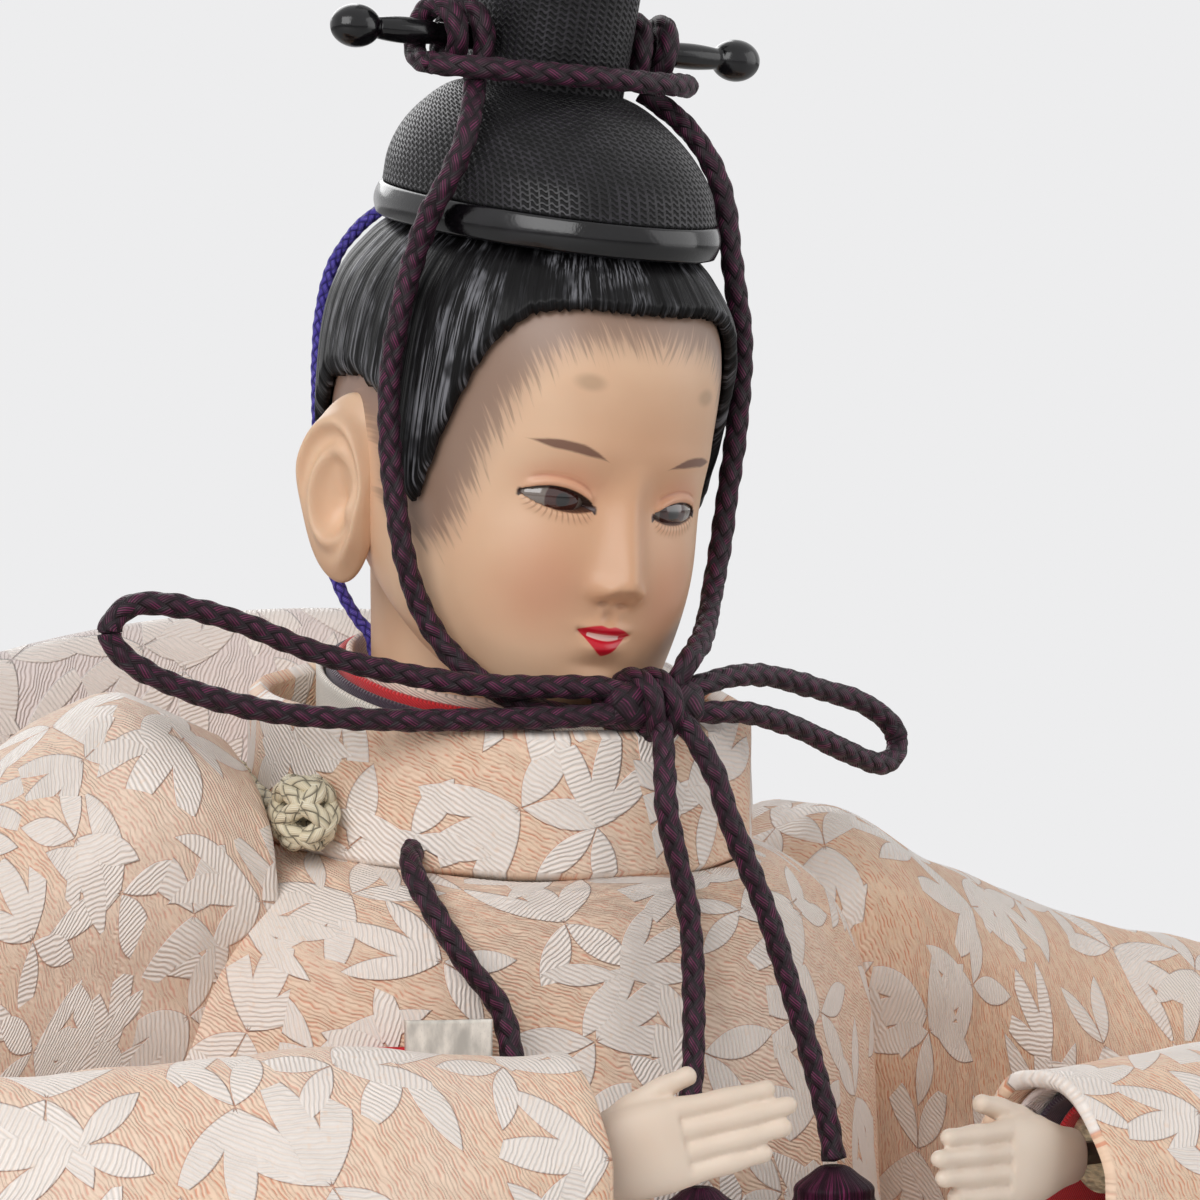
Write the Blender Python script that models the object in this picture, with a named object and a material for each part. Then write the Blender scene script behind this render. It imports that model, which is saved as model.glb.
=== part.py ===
"""A seated emperor hina doll, built as the real one is: a straw body on a board, a wire through both
arms, paddings, robe pieces, a head on a neck peg, and a crown tied on with a cord.

Metres, +Z up. The doll faces -Y and its right hand is on the -X side. The origin is the middle of the
underside of the seat board, and the neck stands on the Z axis.
"""

import math

import bmesh
import bpy
import numpy as np
from mathutils import Matrix, Vector

# Clearances and wall sizes shared by several pieces
FIT_GAP = 0.0003
CLOTH_THICKNESS = 0.0016
LINING_THICKNESS = 0.0006
CUT_OVERRUN = 0.004

# Seat board
BOARD_THICKNESS = 0.007
BOARD_HALF_WIDTH = 0.088
BOARD_FRONT = 0.074
BOARD_BACK = 0.044
BOARD_CORNER_POWER = 2.6

# Straw core
CORE_TOP = 0.1117
CORE_WAIST_SHARE = 0.775
CORE_TOP_SHARE = 0.82
NECK_HOLE_DEPTH = 0.030
PEG_SIDES = 12

# Chest part of the robe
BODICE_TOP = 0.1165
BODICE_BOTTOM = 0.0600
BODICE_HALF_WIDTH = 0.0455
BODICE_FRONT = 0.0365
BODICE_BACK = 0.0365
BODICE_FOLD_DEPTH = 0.0007
BODICE_FOLDS = 6
BODICE_FOLD_START = 0.15
BODICE_FOLD_FADE = 0.7
BODICE_FOLD_PHASE = 0.6
BODICE_RINGS = 8
BODICE_SIDES = 30
NECK_EDGE_SLOPE = 0.09
NECK_EDGE_FRONT = 0.008

# Lower robe
SKIRT_TOP = 0.0700
SKIRT_BOTTOM = 0.0012
SKIRT_HALF_WIDTH = 0.1060
SKIRT_FRONT = 0.0940
SKIRT_BACK = 0.0570
SKIRT_WAIST_SHARE = 0.84
SKIRT_POWER = 2.3
SKIRT_FOLD_DEPTH = 0.0014
SKIRT_FOLDS = 7
SKIRT_FOLD_AT_HEM = 1.15
SKIRT_FOLD_FADE = 1.5
SKIRT_FOLD_PHASE = 0.3
SKIRT_RINGS = 10
SKIRT_SIDES = 32
HEM_BAND_HEIGHT = 0.0105
HEM_BAND_THICKNESS = 0.0012
HEM_ARCH_HALF_WIDTH = 0.0460
HEM_ARCH_HEIGHT = 0.0150
HEM_ARCH_DEPTH_SHARE = 0.60

# Trouser legs and leg paddings
HAKAMA_THICKNESS = 0.0011
HAKAMA_RINGS = 6
LEG_SPLIT_GAP = 0.0006
LEG_RADIUS = 0.0135
LEG_POINTS = 11
# The middle line of a leg padding from the hip by the knee inward, as shares of the lower robe's half
# width and front
LEG_SHARES = (
    (0.5000, -0.1277),
    (0.6604, -0.0106),
    (0.7217, 0.2128),
    (0.6226, 0.4681),
    (0.4057, 0.6277),
    (0.1792, 0.6915),
)

# Belt
BELT_BOTTOM = 0.0614
BELT_HEIGHT = 0.0060
BELT_THICKNESS = 0.0013

# Shared shape numbers: how square the sections are, and the sides of small round pieces
OVAL_POWER = 2.15
BLUNT_POWER = 0.8
ROUND_SIDES = 12
SECOND_WAVE_SHARE = 0.45
BALL_ROWS = 5

# Arm wire, paddings and wrists. The arm's heights are counted down from the core's top
WIRE_RADIUS = 0.0012
WIRE_SIDES = 6
WIRE_BEND_POINTS = 42
WIRE_BARE_AT_WRIST = 0.0260
PADDING_RADIUS = 0.0042
PADDING_START_SHARE = 0.8835
ARM_HOLE_RADIUS = 0.0070
CORE_BORE_SHARE = 1.5
WIRE_IN_HAND = 0.0050
WRIST_STRAIGHT = 0.0060
RIGHT_WRIST = (-0.0275, -0.0625, 0.0915)
RIGHT_FINGERTIPS = (-0.0095, -0.0740, 0.0965)
LEFT_WRIST = (0.0290, -0.0636, 0.0890)
LEFT_FINGERTIPS = (0.0078, -0.0730, 0.0902)
FOREARM_OUT = 0.0640
FOREARM_FRONT = 0.0575
FOREARM_DOWN = 0.0235
BELOW_ELBOW_OUT = 0.0865
BELOW_ELBOW_FRONT = 0.0460
ELBOW_OUT = 0.0965
ELBOW_FRONT = 0.0240
ELBOW_DOWN = 0.0277
UPPER_ARM_OUT = 0.0620
UPPER_ARM_DOWN = 0.0187
SHOULDER_OUT = 0.0360
SHOULDER_DOWN = 0.0117
WIRE_BEHIND_NECK = 0.0055

# Hands
HAND_LENGTH = 0.0228
PALM_LENGTH = 0.0112
PALM_WIDTH = 0.0086
PALM_THICKNESS = 0.0046
FINGER_RADIUS = 0.0012
FINGERTIP_RADIUS = 0.0008
THUMB_LENGTH = 0.0095
FINGER_ROOT_SHARE = 0.85
FINGER_CURL = 0.0012
FINGER_GATHER_SHARE = 0.90
FINGER_SIDES = 6
# Along the palm, half width and half thickness, as shares of the palm's sizes
PALM_SHARES = (
    (0.00, 0.62, 0.95),
    (0.25, 0.72, 1.00),
    (0.60, 0.97, 1.00),
    (0.90, 1.00, 0.85),
    (1.08, 0.93, 0.60),
)
# A finger's joint along its length, and its blunt end as a share of the tip's radius
FINGER_JOINT_SHARE = 0.85
FINGER_END_SHARE = 0.55
# The thumb's root and tip as shares of the palm's length, thickness and width, and its thickness in fingers
THUMB_ROOT_SHARES = (0.45, 0.25, 0.30)
THUMB_TIP_SHARES = (0.75, 0.66)
THUMB_GIRTH_SHARE = 1.1
# Each finger's height on the palm and its reach, as shares of the palm's width and the hand's length
FINGER_SHARES = ((0.36, 0.93), (0.12, 1.00), (-0.12, 0.96), (-0.36, 0.86))

# Sleeves
SLEEVE_REACH = 0.1010
SLEEVE_HALF_THICKNESS = 0.0180
RIGHT_SLEEVE_TOP = 0.1310
LEFT_SLEEVE_TOP = 0.1180
RIGHT_CUFF_TOP = 0.1030
LEFT_CUFF_TOP = 0.0975
CUFF_BOTTOM = 0.0540
SLEEVE_LOW = 0.0180
SLEEVE_FRONT = 0.0625
LEFT_SLEEVE_SLOPE_POWER = 1.7
SLEEVE_FOLD_DEPTH = 0.0009
SLEEVE_FOLDS = 5
SLEEVE_RINGS = 13
SLEEVE_SIDES = 14
SLEEVE_SIDE_POWER = 0.9
LINING_LENGTH_SHARE = 0.13
SECOND_HEM_RECESS_SHARE = 0.010
PURPLE_RECESS_SHARE = 0.022
RED_RECESS_SHARE = 0.034

# Raised fold behind the neck
BACK_FOLD_TOP = 0.1370
BACK_FOLD_BOTTOM = 0.0860
BACK_FOLD_HALF_WIDTH = 0.0500
BACK_FOLD_THICKNESS = 0.0100
BACK_FOLD_PLACE = 0.0361
BACK_FOLD_DROOP = 0.0080
BACK_FOLD_SECTIONS = 9

# Collars
COLLAR_RADIUS = 0.0250
COLLAR_CENTRE_FRONT = 0.0078
COLLAR_HEIGHT = 0.0128
COLLAR_THICKNESS = 0.0020
COLLAR_TAPER = 0.0003
COLLAR_SEGMENTS = 24
INNER_COLLAR_RADIUS = 0.0144
INNER_COLLAR_THICKNESS = 0.0007
INNER_COLLAR_TOP = 0.1310
INNER_COLLAR_SLOPE = 0.28
INNER_COLLAR_STEP = 0.0007

# Frog knot, chest cord and papers
FROG_RADIUS = 0.0042
FROG_DEPTH = 0.0024
FROG_LOOP_GAP_ANGLE = math.radians(3.0)
FROG_LOOP_ANGLE = math.radians(22.0)
FROG_LOOP_RISE = 0.0030
FROG_ANGLE = math.radians(74.0)
FROG_HEIGHT = 0.0040
FROG_LOOP_RADIUS = 0.0011
PAPER_WIDTH = 0.0075
PAPER_HEIGHT = 0.0095
PAPER_THICKNESS = 0.0007
PAPER_GAP = 0.0003
PAPER_PLACE = (-0.0213, 0.0925)
RED_PAPER_OUT = 0.0026
PAPER_COLUMNS = (-0.5, -0.25, 0.0, 0.25, 0.5)
PAPER_ROWS = (0.0, 0.5, 1.0)

# Head frame: chin level on the head's own axis, bowed and leaning
HEAD_ORIGIN = (-0.0010, -0.0075, 0.1315)
HEAD_BOW = math.radians(7.5)
HEAD_ROLL = math.radians(3.5)
HEAD_HEIGHT = 0.0488
HEAD_HALF_WIDTH = 0.0165
HEAD_FRONT = 0.0232
HEAD_BACK = 0.0238
SKULL_RINGS = 14
SKULL_SIDES = 26
NECK_RADIUS = 0.0090
NECK_INSIDE_HEAD = 0.0180
NECK_SIDES = 20
NECK_GIRTH_SHARES = (1.08, 1.01, 0.98)
PEG_RADIUS = 0.0027
PEG_IN_HEAD = 0.0100
PEG_IN_CORE = 0.0270
PEG_POINT_SHARE = 0.70
EAR_HEIGHT = 0.0172
EAR_LENGTH = 0.0104
EAR_THICKNESS = 0.0040
EAR_MIDDLE_HEIGHT = 0.0175
EAR_MIDDLE_BACK = 0.0052
EAR_FLARE = math.radians(18.0)
EAR_ROWS = 6
EAR_SIDES = 10
NOSE_ROOT_HEIGHT = 0.0250
NOSE_TIP_HEIGHT = 0.0139
NOSE_BASE_HEIGHT = 0.0118
NOSE_HALF_WIDTH = 0.0028
NOSE_DEPTH = 0.0032
NOSE_FOOT_SHARE = 0.80
NOSE_ROOT_ROW = 6
EYE_HEIGHT = 0.0214
EYE_SPREAD = 0.0067
EYE_HALF_LENGTH = 0.0034
EYE_HALF_HEIGHT = 0.0012
EYE_HALF_DEPTH = 0.0016
EYE_TURN = math.radians(19.0)
EYE_SINK_SHARE = 0.55
EYE_SEARCH_GRID = (60, 120)

# Hair
HAIR_HEIGHT = 0.0520
HAIR_HALF_WIDTH = 0.0181
HAIR_FRONT = 0.0247
HAIR_BACK = 0.0256
HAIRLINE_TOP = 0.0403
HAIR_RINGS = 12

# Crown
RIM_BOTTOM = 0.0449
RIM_HEIGHT = 0.0031
RIM_HALF_WIDTH = 0.0151
RIM_HALF_DEPTH = 0.0198
RIM_THICKNESS = 0.0009
RIM_BULGE = 0.0004
DOME_HEIGHT = 0.0113
DOME_THICKNESS = 0.0008
DOME_RINGS = 6
CROWN_SIDES = 24
CROWN_POWER = 2.1
KOJI_BACK = 0.0034
KOJI_HALF_WIDTH = 0.0070
KOJI_HALF_DEPTH = 0.0085
KOJI_TOP = 0.0820
KOJI_SINK = 0.0030
KOJI_THICKNESS = 0.0008
KOJI_FLARE_SHARE = 1.16
KOJI_RINGS = 3
KOJI_SIDES = 20
KOJI_POWER = 2.3
PIN_LENGTH = 0.0490
PIN_RADIUS = 0.0013
PIN_KNOB_RADIUS = 0.0021
PIN_KNOB_LENGTH = 0.0050
PIN_HEIGHT = 0.0634
PIN_BEADS = 6
PIN_WAIST_SHARE = 0.80
PIN_SIDES = 8
# Along a knob from its end and its girth there, as shares of its length and radius
PIN_KNOB_SHARES = ((0.0, 0.55), (0.147, 0.92), (0.45, 1.0), (0.896, 0.774))
SOCKET_BOTTOM = 0.0602
SOCKET_TOP = 0.0652
SOCKET_WALL = 0.0008
TONGUE_WIDTH = 0.0064
TONGUE_THICKNESS = 0.0014
TAIL_FLARE_HEIGHT = 0.0110
TAIL_HALF_WIDTH = 0.0130
TAIL_TOP = 0.1230
TAIL_THICKNESS = 0.0008
TAIL_FRAME_WIDTH = 0.0011
TAIL_THREAD_WIDTH = 0.0007
TAIL_COLUMNS = 4
TAIL_ROWS = 11
TAIL_LEAN = 0.0040

# Crown cord and its tassels
CORD_RADIUS = 0.00115
NAPE_CORD_RADIUS = 0.00065
WINDING_TURNS = 1.75
WINDING_PITCH = 0.00300
WINDING_POINTS = 8
WINDING_START = 0.0090
KNOT_MIDDLE = (0.0026, -0.0310, 0.1307)
KNOT_HALF_WIDTH = 0.0054
KNOT_HALF_DEPTH = 0.0026
KNOT_HALF_HEIGHT = 0.0023
KNOT_POWER = 2.6
# Along the knot and its girth there, as shares of its half sizes
KNOT_SHARES = ((-1.00, 0.60), (-0.90, 0.86), (-0.55, 1.00), (0.55, 1.00), (0.90, 0.86), (1.00, 0.60))
TASSEL_HEAD_RADIUS = 0.0043
TASSEL_LENGTH = 0.0230
# Height up a tassel, from its top, and radius, as shares of its length and its head's radius
TASSEL_SHARES = (
    (-1.00, 0.78),
    (-0.90, 0.84),
    (-0.50, 0.74),
    (-0.36, 0.62),
    (-0.32, 0.70),
    (-0.27, 0.93),
    (-0.19, 1.00),
    (-0.10, 0.90),
    (-0.03, 0.55),
    (0.00, 0.28),
)
# The cord across the topknot housing, as shares of the housing's half width and half depth and of the
# cord's radius below the pin
FRONT_PASS_SHARES = (
    (-2.035, -0.36, -2.39),
    (-1.98, -0.50, -2.36),
    (-1.60, -0.82, -2.20),
    (-1.05, -1.07, -2.10),
    (0.00, -1.22, -2.00),
    (1.05, -1.07, -2.10),
    (1.60, -0.82, -2.20),
    (1.98, -0.50, -2.36),
    (2.035, -0.36, -2.39),
)
# Routes of the free cords, chosen by hand
CORD_ROUTES = {
    "bow_loop_right": (
        (-0.0036, -0.0320, 0.1300),
        (-0.0120, -0.0294, 0.1298),
        (-0.0220, -0.0250, 0.1298),
        (-0.0315, -0.0208, 0.1305),
        (-0.0389, -0.0174, 0.1324),
        (-0.0445, -0.0148, 0.1352),
        (-0.0466, -0.0136, 0.1382),
        (-0.0448, -0.0144, 0.1408),
        (-0.0408, -0.0162, 0.1408),
        (-0.0352, -0.0182, 0.1392),
        (-0.0287, -0.0206, 0.1364),
        (-0.0220, -0.0238, 0.1344),
        (-0.0140, -0.0276, 0.1330),
        (-0.0036, -0.0312, 0.1326),
    ),
    "bow_loop_left": (
        (0.0088, -0.0320, 0.1298),
        (0.0140, -0.0310, 0.1295),
        (0.0210, -0.0286, 0.1278),
        (0.0290, -0.0258, 0.1249),
        (0.0350, -0.0232, 0.1232),
        (0.0384, -0.0212, 0.1242),
        (0.0382, -0.0206, 0.1267),
        (0.0340, -0.0216, 0.1292),
        (0.0280, -0.0234, 0.1308),
        (0.0200, -0.0262, 0.1326),
        (0.0140, -0.0288, 0.1330),
        (0.0088, -0.0308, 0.1324),
    ),
    "cord_tail_right": (
        (0.0022, -0.0341, 0.1283),
        (0.0012, -0.0362, 0.1245),
        (0.0009, -0.0372, 0.1205),
        (0.0028, -0.0380, 0.1110),
        (0.0028, -0.0388, 0.1040),
        (0.0020, -0.0400, 0.0970),
        (0.0009, -0.0410, 0.0910),
        (0.0016, -0.0419, 0.0860),
    ),
    "cord_tail_left": (
        (0.0054, -0.0341, 0.1283),
        (0.0070, -0.0362, 0.1240),
        (0.0080, -0.0370, 0.1200),
        (0.0114, -0.0383, 0.1110),
        (0.0134, -0.0393, 0.1040),
        (0.0152, -0.0404, 0.0970),
        (0.0163, -0.0416, 0.0910),
        (0.0166, -0.0424, 0.0870),
    ),
    "side_cord_right": (
        (-0.0071, -0.0148, 0.1912),
        (-0.0089, -0.0178, 0.1899),
        (-0.0115, -0.0208, 0.1858),
        (-0.0129, -0.0211, 0.1828),
        (-0.0141, -0.0206, 0.1802),
        (-0.0149, -0.0194, 0.1778),
        (-0.0160, -0.0180, 0.1730),
        (-0.0175, -0.0182, 0.1682),
        (-0.0182, -0.0179, 0.1639),
        (-0.0185, -0.0178, 0.1599),
        (-0.0185, -0.0181, 0.1547),
        (-0.0183, -0.0187, 0.1502),
        (-0.0177, -0.0194, 0.1449),
        (-0.0162, -0.0198, 0.1402),
        (-0.0144, -0.0216, 0.1362),
        (-0.0120, -0.0246, 0.1330),
        (-0.0085, -0.0274, 0.1308),
        (-0.0041, -0.0289, 0.1298),
    ),
    "side_cord_left": (
        (0.0123, -0.0148, 0.1900),
        (0.0150, -0.0176, 0.1870),
        (0.0164, -0.0204, 0.1834),
        (0.0171, -0.0220, 0.1794),
        (0.0170, -0.0232, 0.1752),
        (0.0174, -0.0237, 0.1706),
        (0.0186, -0.0230, 0.1654),
        (0.0189, -0.0222, 0.1604),
        (0.0187, -0.0216, 0.1554),
        (0.0181, -0.0212, 0.1504),
        (0.0172, -0.0214, 0.1456),
        (0.0154, -0.0228, 0.1414),
        (0.0129, -0.0256, 0.1384),
        (0.0099, -0.0290, 0.1364),
        (0.0066, -0.0318, 0.1347),
    ),
    "nape_cord": (
        (-0.0086, 0.0054, 0.1766),
        (-0.0094, 0.0086, 0.1734),
        (-0.0097, 0.0108, 0.1686),
        (-0.0098, 0.0114, 0.1638),
        (-0.0100, 0.0111, 0.1586),
        (-0.0101, 0.0104, 0.1536),
        (-0.0097, 0.0100, 0.1486),
        (-0.0093, 0.0100, 0.1440),
        (-0.0083, 0.0095, 0.1404),
        (-0.0070, 0.0083, 0.1374),
        (-0.0062, 0.0073, 0.1360),
    ),
    "chest_cord": (
        (-0.0212, -0.0267, 0.1156),
        (-0.0211, -0.0308, 0.1118),
        (-0.0193, -0.0336, 0.1072),
        (-0.0162, -0.0346, 0.1028),
        (-0.0156, -0.0360, 0.0978),
        (-0.0150, -0.0370, 0.0920),
        (-0.0150, -0.0380, 0.0840),
        (-0.0150, -0.0388, 0.0750),
        (-0.0150, -0.0390, 0.0660),
    ),
}

NECK_AXIS = Vector((0.0, 0.0, CORE_TOP))
HEAD_MATRIX = (
    Matrix.Translation(HEAD_ORIGIN)
    @ Matrix.Rotation(HEAD_ROLL, 4, "Y")
    @ Matrix.Rotation(HEAD_BOW, 4, "X")
)

# Section tables: height, half width, front and back, each a share of the named size it follows
SKULL_SHARES = (
    (0.000, 0.16, 0.754, -0.48),
    (0.020, 0.41, 0.845, -0.25),
    (0.061, 0.61, 0.888, 0.00),
    (0.123, 0.75, 0.900, 0.25),
    (0.205, 0.86, 0.918, 0.50),
    (0.307, 0.935, 0.940, 0.735),
    (0.430, 0.984, 0.931, 0.903),
    (0.553, 1.000, 0.966, 0.975),
    (0.697, 0.989, 0.987, 0.990),
    (0.800, 0.924, 0.927, 0.924),
    (0.881, 0.760, 0.776, 0.773),
    (0.943, 0.533, 0.552, 0.546),
    (1.000, 0.163, 0.170, 0.170),
)
HAIR_SHARES = (
    (0.230, 0.90, 0.940, 0.67),
    (0.308, 0.95, 0.955, 0.78),
    (0.404, 0.985, 0.955, 0.91),
    (0.519, 1.000, 0.980, 0.975),
    (0.654, 0.990, 1.000, 0.996),
    (0.750, 0.935, 0.947, 0.938),
    (0.820, 0.820, 0.835, 0.825),
    (0.858, 0.718, 0.750, 0.740),
    (0.904, 0.574, 0.615, 0.610),
    (0.962, 0.346, 0.380, 0.380),
    (1.000, 0.124, 0.140, 0.140),
)
# Side view of what the hair leaves free: back and height as shares of HAIR_BACK and HAIRLINE_TOP
FACE_WINDOW_SHARES = (
    (-1.60, 1.00),
    (-0.80, 1.00),
    (-0.70, 0.975),
    (-0.60, 0.88),
    (-0.45, 0.66),
    (-0.34, 0.47),
    (-0.26, 0.475),
    (-0.18, 0.60),
    (-0.08, 0.70),
    (0.12, 0.735),
    (0.42, 0.715),
    (0.56, 0.62),
    (0.60, 0.48),
    (0.66, 0.40),
    (0.80, 0.36),
    (1.40, 0.36),
    (1.40, -1.00),
    (-1.60, -1.00),
)
BODICE_SHARES = (
    (0.000, 0.985, 0.985, 0.985),
    (0.060, 1.000, 1.000, 1.000),
    (0.180, 0.990, 0.985, 0.985),
    (0.330, 0.965, 0.975, 0.945),
    (0.520, 0.950, 0.965, 0.905),
    (0.690, 0.925, 0.955, 0.865),
    (0.820, 0.865, 0.950, 0.810),
    (0.910, 0.770, 0.940, 0.730),
    (0.970, 0.640, 0.920, 0.600),
    (1.000, 0.530, 0.885, 0.460),
)
# Height, and how far the lower robe spreads from its waist to its hem at the sides, front and back
SKIRT_SHARES = (
    (0.000, 1.000, 1.000, 1.000),
    (0.160, 0.956, 0.970, 0.892),
    (0.360, 0.866, 0.905, 0.742),
    (0.535, 0.732, 0.778, 0.548),
    (0.650, 0.550, 0.588, 0.398),
    (0.740, 0.306, 0.311, 0.226),
    (0.810, 0.109, 0.089, 0.075),
    (0.860, 0.003, 0.003, 0.002),
    (0.930, 0.000, 0.000, 0.000),
    (1.000, 0.000, 0.000, 0.000),
)
DOME_SHARES = (
    (0.00, 0.985, 0.985, 0.985),
    (0.25, 0.955, 0.930, 0.985),
    (0.50, 0.865, 0.800, 0.940),
    (0.72, 0.730, 0.620, 0.840),
    (0.90, 0.560, 0.400, 0.700),
    (1.00, 0.330, 0.180, 0.480),
)
# Sleeve stations: out, front, thickness, top and bottom as shares of the sleeve's reach, front,
# half thickness, shoulder top above the cuff top, and cuff bottom above the sleeve's lowest edge
SLEEVE_SHARES = (
    (0.300, 0.015, 0.90, 0.86, 1.83),
    (0.406, 0.015, 0.95, 1.00, 1.67),
    (0.545, 0.015, 0.93, 0.79, 1.33),
    (0.713, 0.050, 0.90, 0.52, 0.83),
    (0.880, 0.140, 0.86, 0.30, 0.39),
    (0.985, 0.340, 0.82, 0.14, 0.17),
    (0.975, 0.600, 0.78, 0.05, 0.06),
    (0.845, 0.810, 0.74, 0.01, 0.11),
    (0.650, 0.925, 0.70, 0.00, 0.45),
    (0.450, 0.975, 0.68, 0.00, 0.74),
    (0.267, 1.000, 0.66, 0.00, 0.97),
)
# Half thickness of a sleeve's cross-section up its height, from the low edge to the top
SLEEVE_TAPER_SHARES = ((0.0, 0.52), (0.25, 0.64), (0.55, 0.84), (0.80, 1.00), (1.0, 1.00))


def clear_scene():
    """Empty the file of all that it opened with."""
    for item in list(bpy.data.objects):
        bpy.data.objects.remove(item, do_unlink=True)


def material(name, colour, roughness, metallic=0.0):
    """A plain material of one colour."""
    made = bpy.data.materials.new(name)
    made.use_nodes = True
    shader = made.node_tree.nodes["Principled BSDF"]
    shader.inputs["Base Color"].default_value = (*colour, 1.0)
    shader.inputs["Roughness"].default_value = roughness
    shader.inputs["Metallic"].default_value = metallic
    made.diffuse_color = (*colour, 1.0)
    return made


FINISHES = {
    "wood": ((0.62, 0.45, 0.28), 0.65, 0.0),
    "straw": ((0.72, 0.60, 0.34), 0.85, 0.0),
    "wire": ((0.42, 0.40, 0.38), 0.45, 1.0),
    "padding": ((0.80, 0.72, 0.56), 0.95, 0.0),
    "trousers": ((0.86, 0.84, 0.88), 0.80, 0.0),
    "brocade": ((0.93, 0.76, 0.62), 0.70, 0.0),
    "pale_brocade": ((0.93, 0.87, 0.85), 0.75, 0.0),
    "cream": ((0.90, 0.84, 0.72), 0.80, 0.0),
    "purple": ((0.10, 0.05, 0.10), 0.70, 0.0),
    "red": ((0.70, 0.04, 0.06), 0.70, 0.0),
    "white": ((0.90, 0.88, 0.85), 0.75, 0.0),
    "belt": ((0.03, 0.03, 0.03), 0.40, 0.0),
    "skin": ((0.86, 0.71, 0.60), 0.45, 0.0),
    "hand": ((0.87, 0.84, 0.76), 0.50, 0.0),
    "glass": ((0.06, 0.03, 0.02), 0.05, 0.0),
    "hair": ((0.01, 0.01, 0.012), 0.35, 0.0),
    "lacquer": ((0.008, 0.008, 0.009), 0.18, 0.0),
    "net": ((0.02, 0.02, 0.022), 0.50, 0.0),
    "cord": ((0.06, 0.02, 0.05), 0.60, 0.0),
    "violet": ((0.08, 0.06, 0.28), 0.60, 0.0),
}


def smooth_rows(rows, count):
    """Catmull-Rom curve through the rows, read at count evenly spaced places."""
    rows = np.asarray(rows, float)
    last = len(rows) - 1
    ends = np.vstack([2 * rows[0] - rows[1], rows, 2 * rows[-1] - rows[-2]])
    places = np.linspace(0, last, count)
    first = np.minimum(places.astype(int), last - 1)
    t = (places - first)[:, None]
    a, b, c, d = (ends[first + k] for k in range(4))
    return 0.5 * (
        2 * b + (c - a) * t + (2 * a - 5 * b + 4 * c - d) * t**2 + (3 * b - a - 3 * c + d) * t**3
    )


def even_points(points, spacing):
    """The same line with points at even distances of about the spacing."""
    points = np.asarray(points, float)
    steps = np.linalg.norm(np.diff(points, axis=0), axis=1)
    run = np.concatenate([[0.0], np.cumsum(steps)])
    count = max(2, int(round(run[-1] / spacing)) + 1)
    places = np.linspace(0, run[-1], count)
    return np.column_stack([np.interp(places, run, points[:, k]) for k in range(3)])


def oval(half_width, front, back, height, count, power=2.0):
    """A level section, given by where it reaches in front of and behind the Z axis."""
    angle = np.arange(count) * 2 * math.pi / count
    across = np.sign(np.cos(angle)) * np.abs(np.cos(angle)) ** (2 / power)
    along = np.sign(np.sin(angle)) * np.abs(np.sin(angle)) ** (2 / power)
    middle, half_depth = (back - front) / 2, (back + front) / 2
    return np.column_stack([half_width * across, middle + half_depth * along, np.full(count, height)])


def oval_grid(shares, rows, count, sizes, power=2.0):
    """Level sections from a table of shares. Sizes are bottom, height, half width, front, back."""
    bottom, height, half_width, front, back = sizes
    return np.array(
        [
            oval(half_width * w, front * f, back * b, bottom + height * h, count, power)
            for h, w, f, b in smooth_rows(shares, rows)
        ]
    )


def grid_normals(grid):
    """Outward normals of stacked rings."""
    around = np.roll(grid, -1, axis=1) - np.roll(grid, 1, axis=1)
    along = np.gradient(grid, axis=0)
    normals = np.cross(around, along)
    normals /= np.linalg.norm(normals, axis=2, keepdims=True)
    middle = grid.mean(axis=1, keepdims=True)
    return normals * np.sign(((grid - middle) * normals).sum(axis=2).mean())


def grown(grid, distance):
    """The surface moved out, or in where the distance is negative."""
    return grid + grid_normals(grid) * distance


def quads(rows, count, start, flip):
    faces = []
    for k in range(rows - 1):
        for n in range(count):
            m = (n + 1) % count
            face = [start + k * count + n, start + k * count + m]
            face += [start + (k + 1) * count + m, start + (k + 1) * count + n]
            faces.append(face[::-1] if flip else face)
    return faces


def fan(ring, centre, flip):
    faces = [[ring[n], ring[(n + 1) % len(ring)], centre] for n in range(len(ring))]
    return [f[::-1] for f in faces] if flip else faces


def solid_parts(grid):
    """A closed body from a stack of rings."""
    rows, count, _ = grid.shape
    vertices = np.vstack([grid.reshape(-1, 3), grid[0].mean(axis=0), grid[-1].mean(axis=0)])
    faces = quads(rows, count, 0, False)
    faces += fan(list(range(count)), rows * count, True)
    faces += fan(list(range((rows - 1) * count, rows * count)), rows * count + 1, False)
    return vertices, faces


def shell_parts(outer, inner, closed_top=False):
    """A closed body between two stacks of rings, open at the first ring, and at the last unless it is
    closed there."""
    rows, count, _ = outer.shape
    size = rows * count
    vertices = np.vstack([outer.reshape(-1, 3), inner.reshape(-1, 3)])
    faces = quads(rows, count, 0, False) + quads(rows, count, size, True)
    for n in range(count):
        m = (n + 1) % count
        faces.append([m, n, size + n, size + m])
        if not closed_top:
            top = size - count
            faces.append([top + n, top + m, size + top + m, size + top + n])
    if closed_top:
        vertices = np.vstack([vertices, outer[-1].mean(axis=0), inner[-1].mean(axis=0)])
        faces += fan(list(range(size - count, size)), 2 * size, False)
        faces += fan(list(range(2 * size - count, 2 * size)), 2 * size + 1, True)
    return vertices, faces


def signed_volume(vertices, faces):
    """The volume inside the faces, below zero where they face inwards."""
    total = 0.0
    for face in faces:
        a = vertices[face[0]]
        for k in range(1, len(face) - 1):
            total += float(np.dot(a, np.cross(vertices[face[k]], vertices[face[k + 1]])))
    return total


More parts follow.
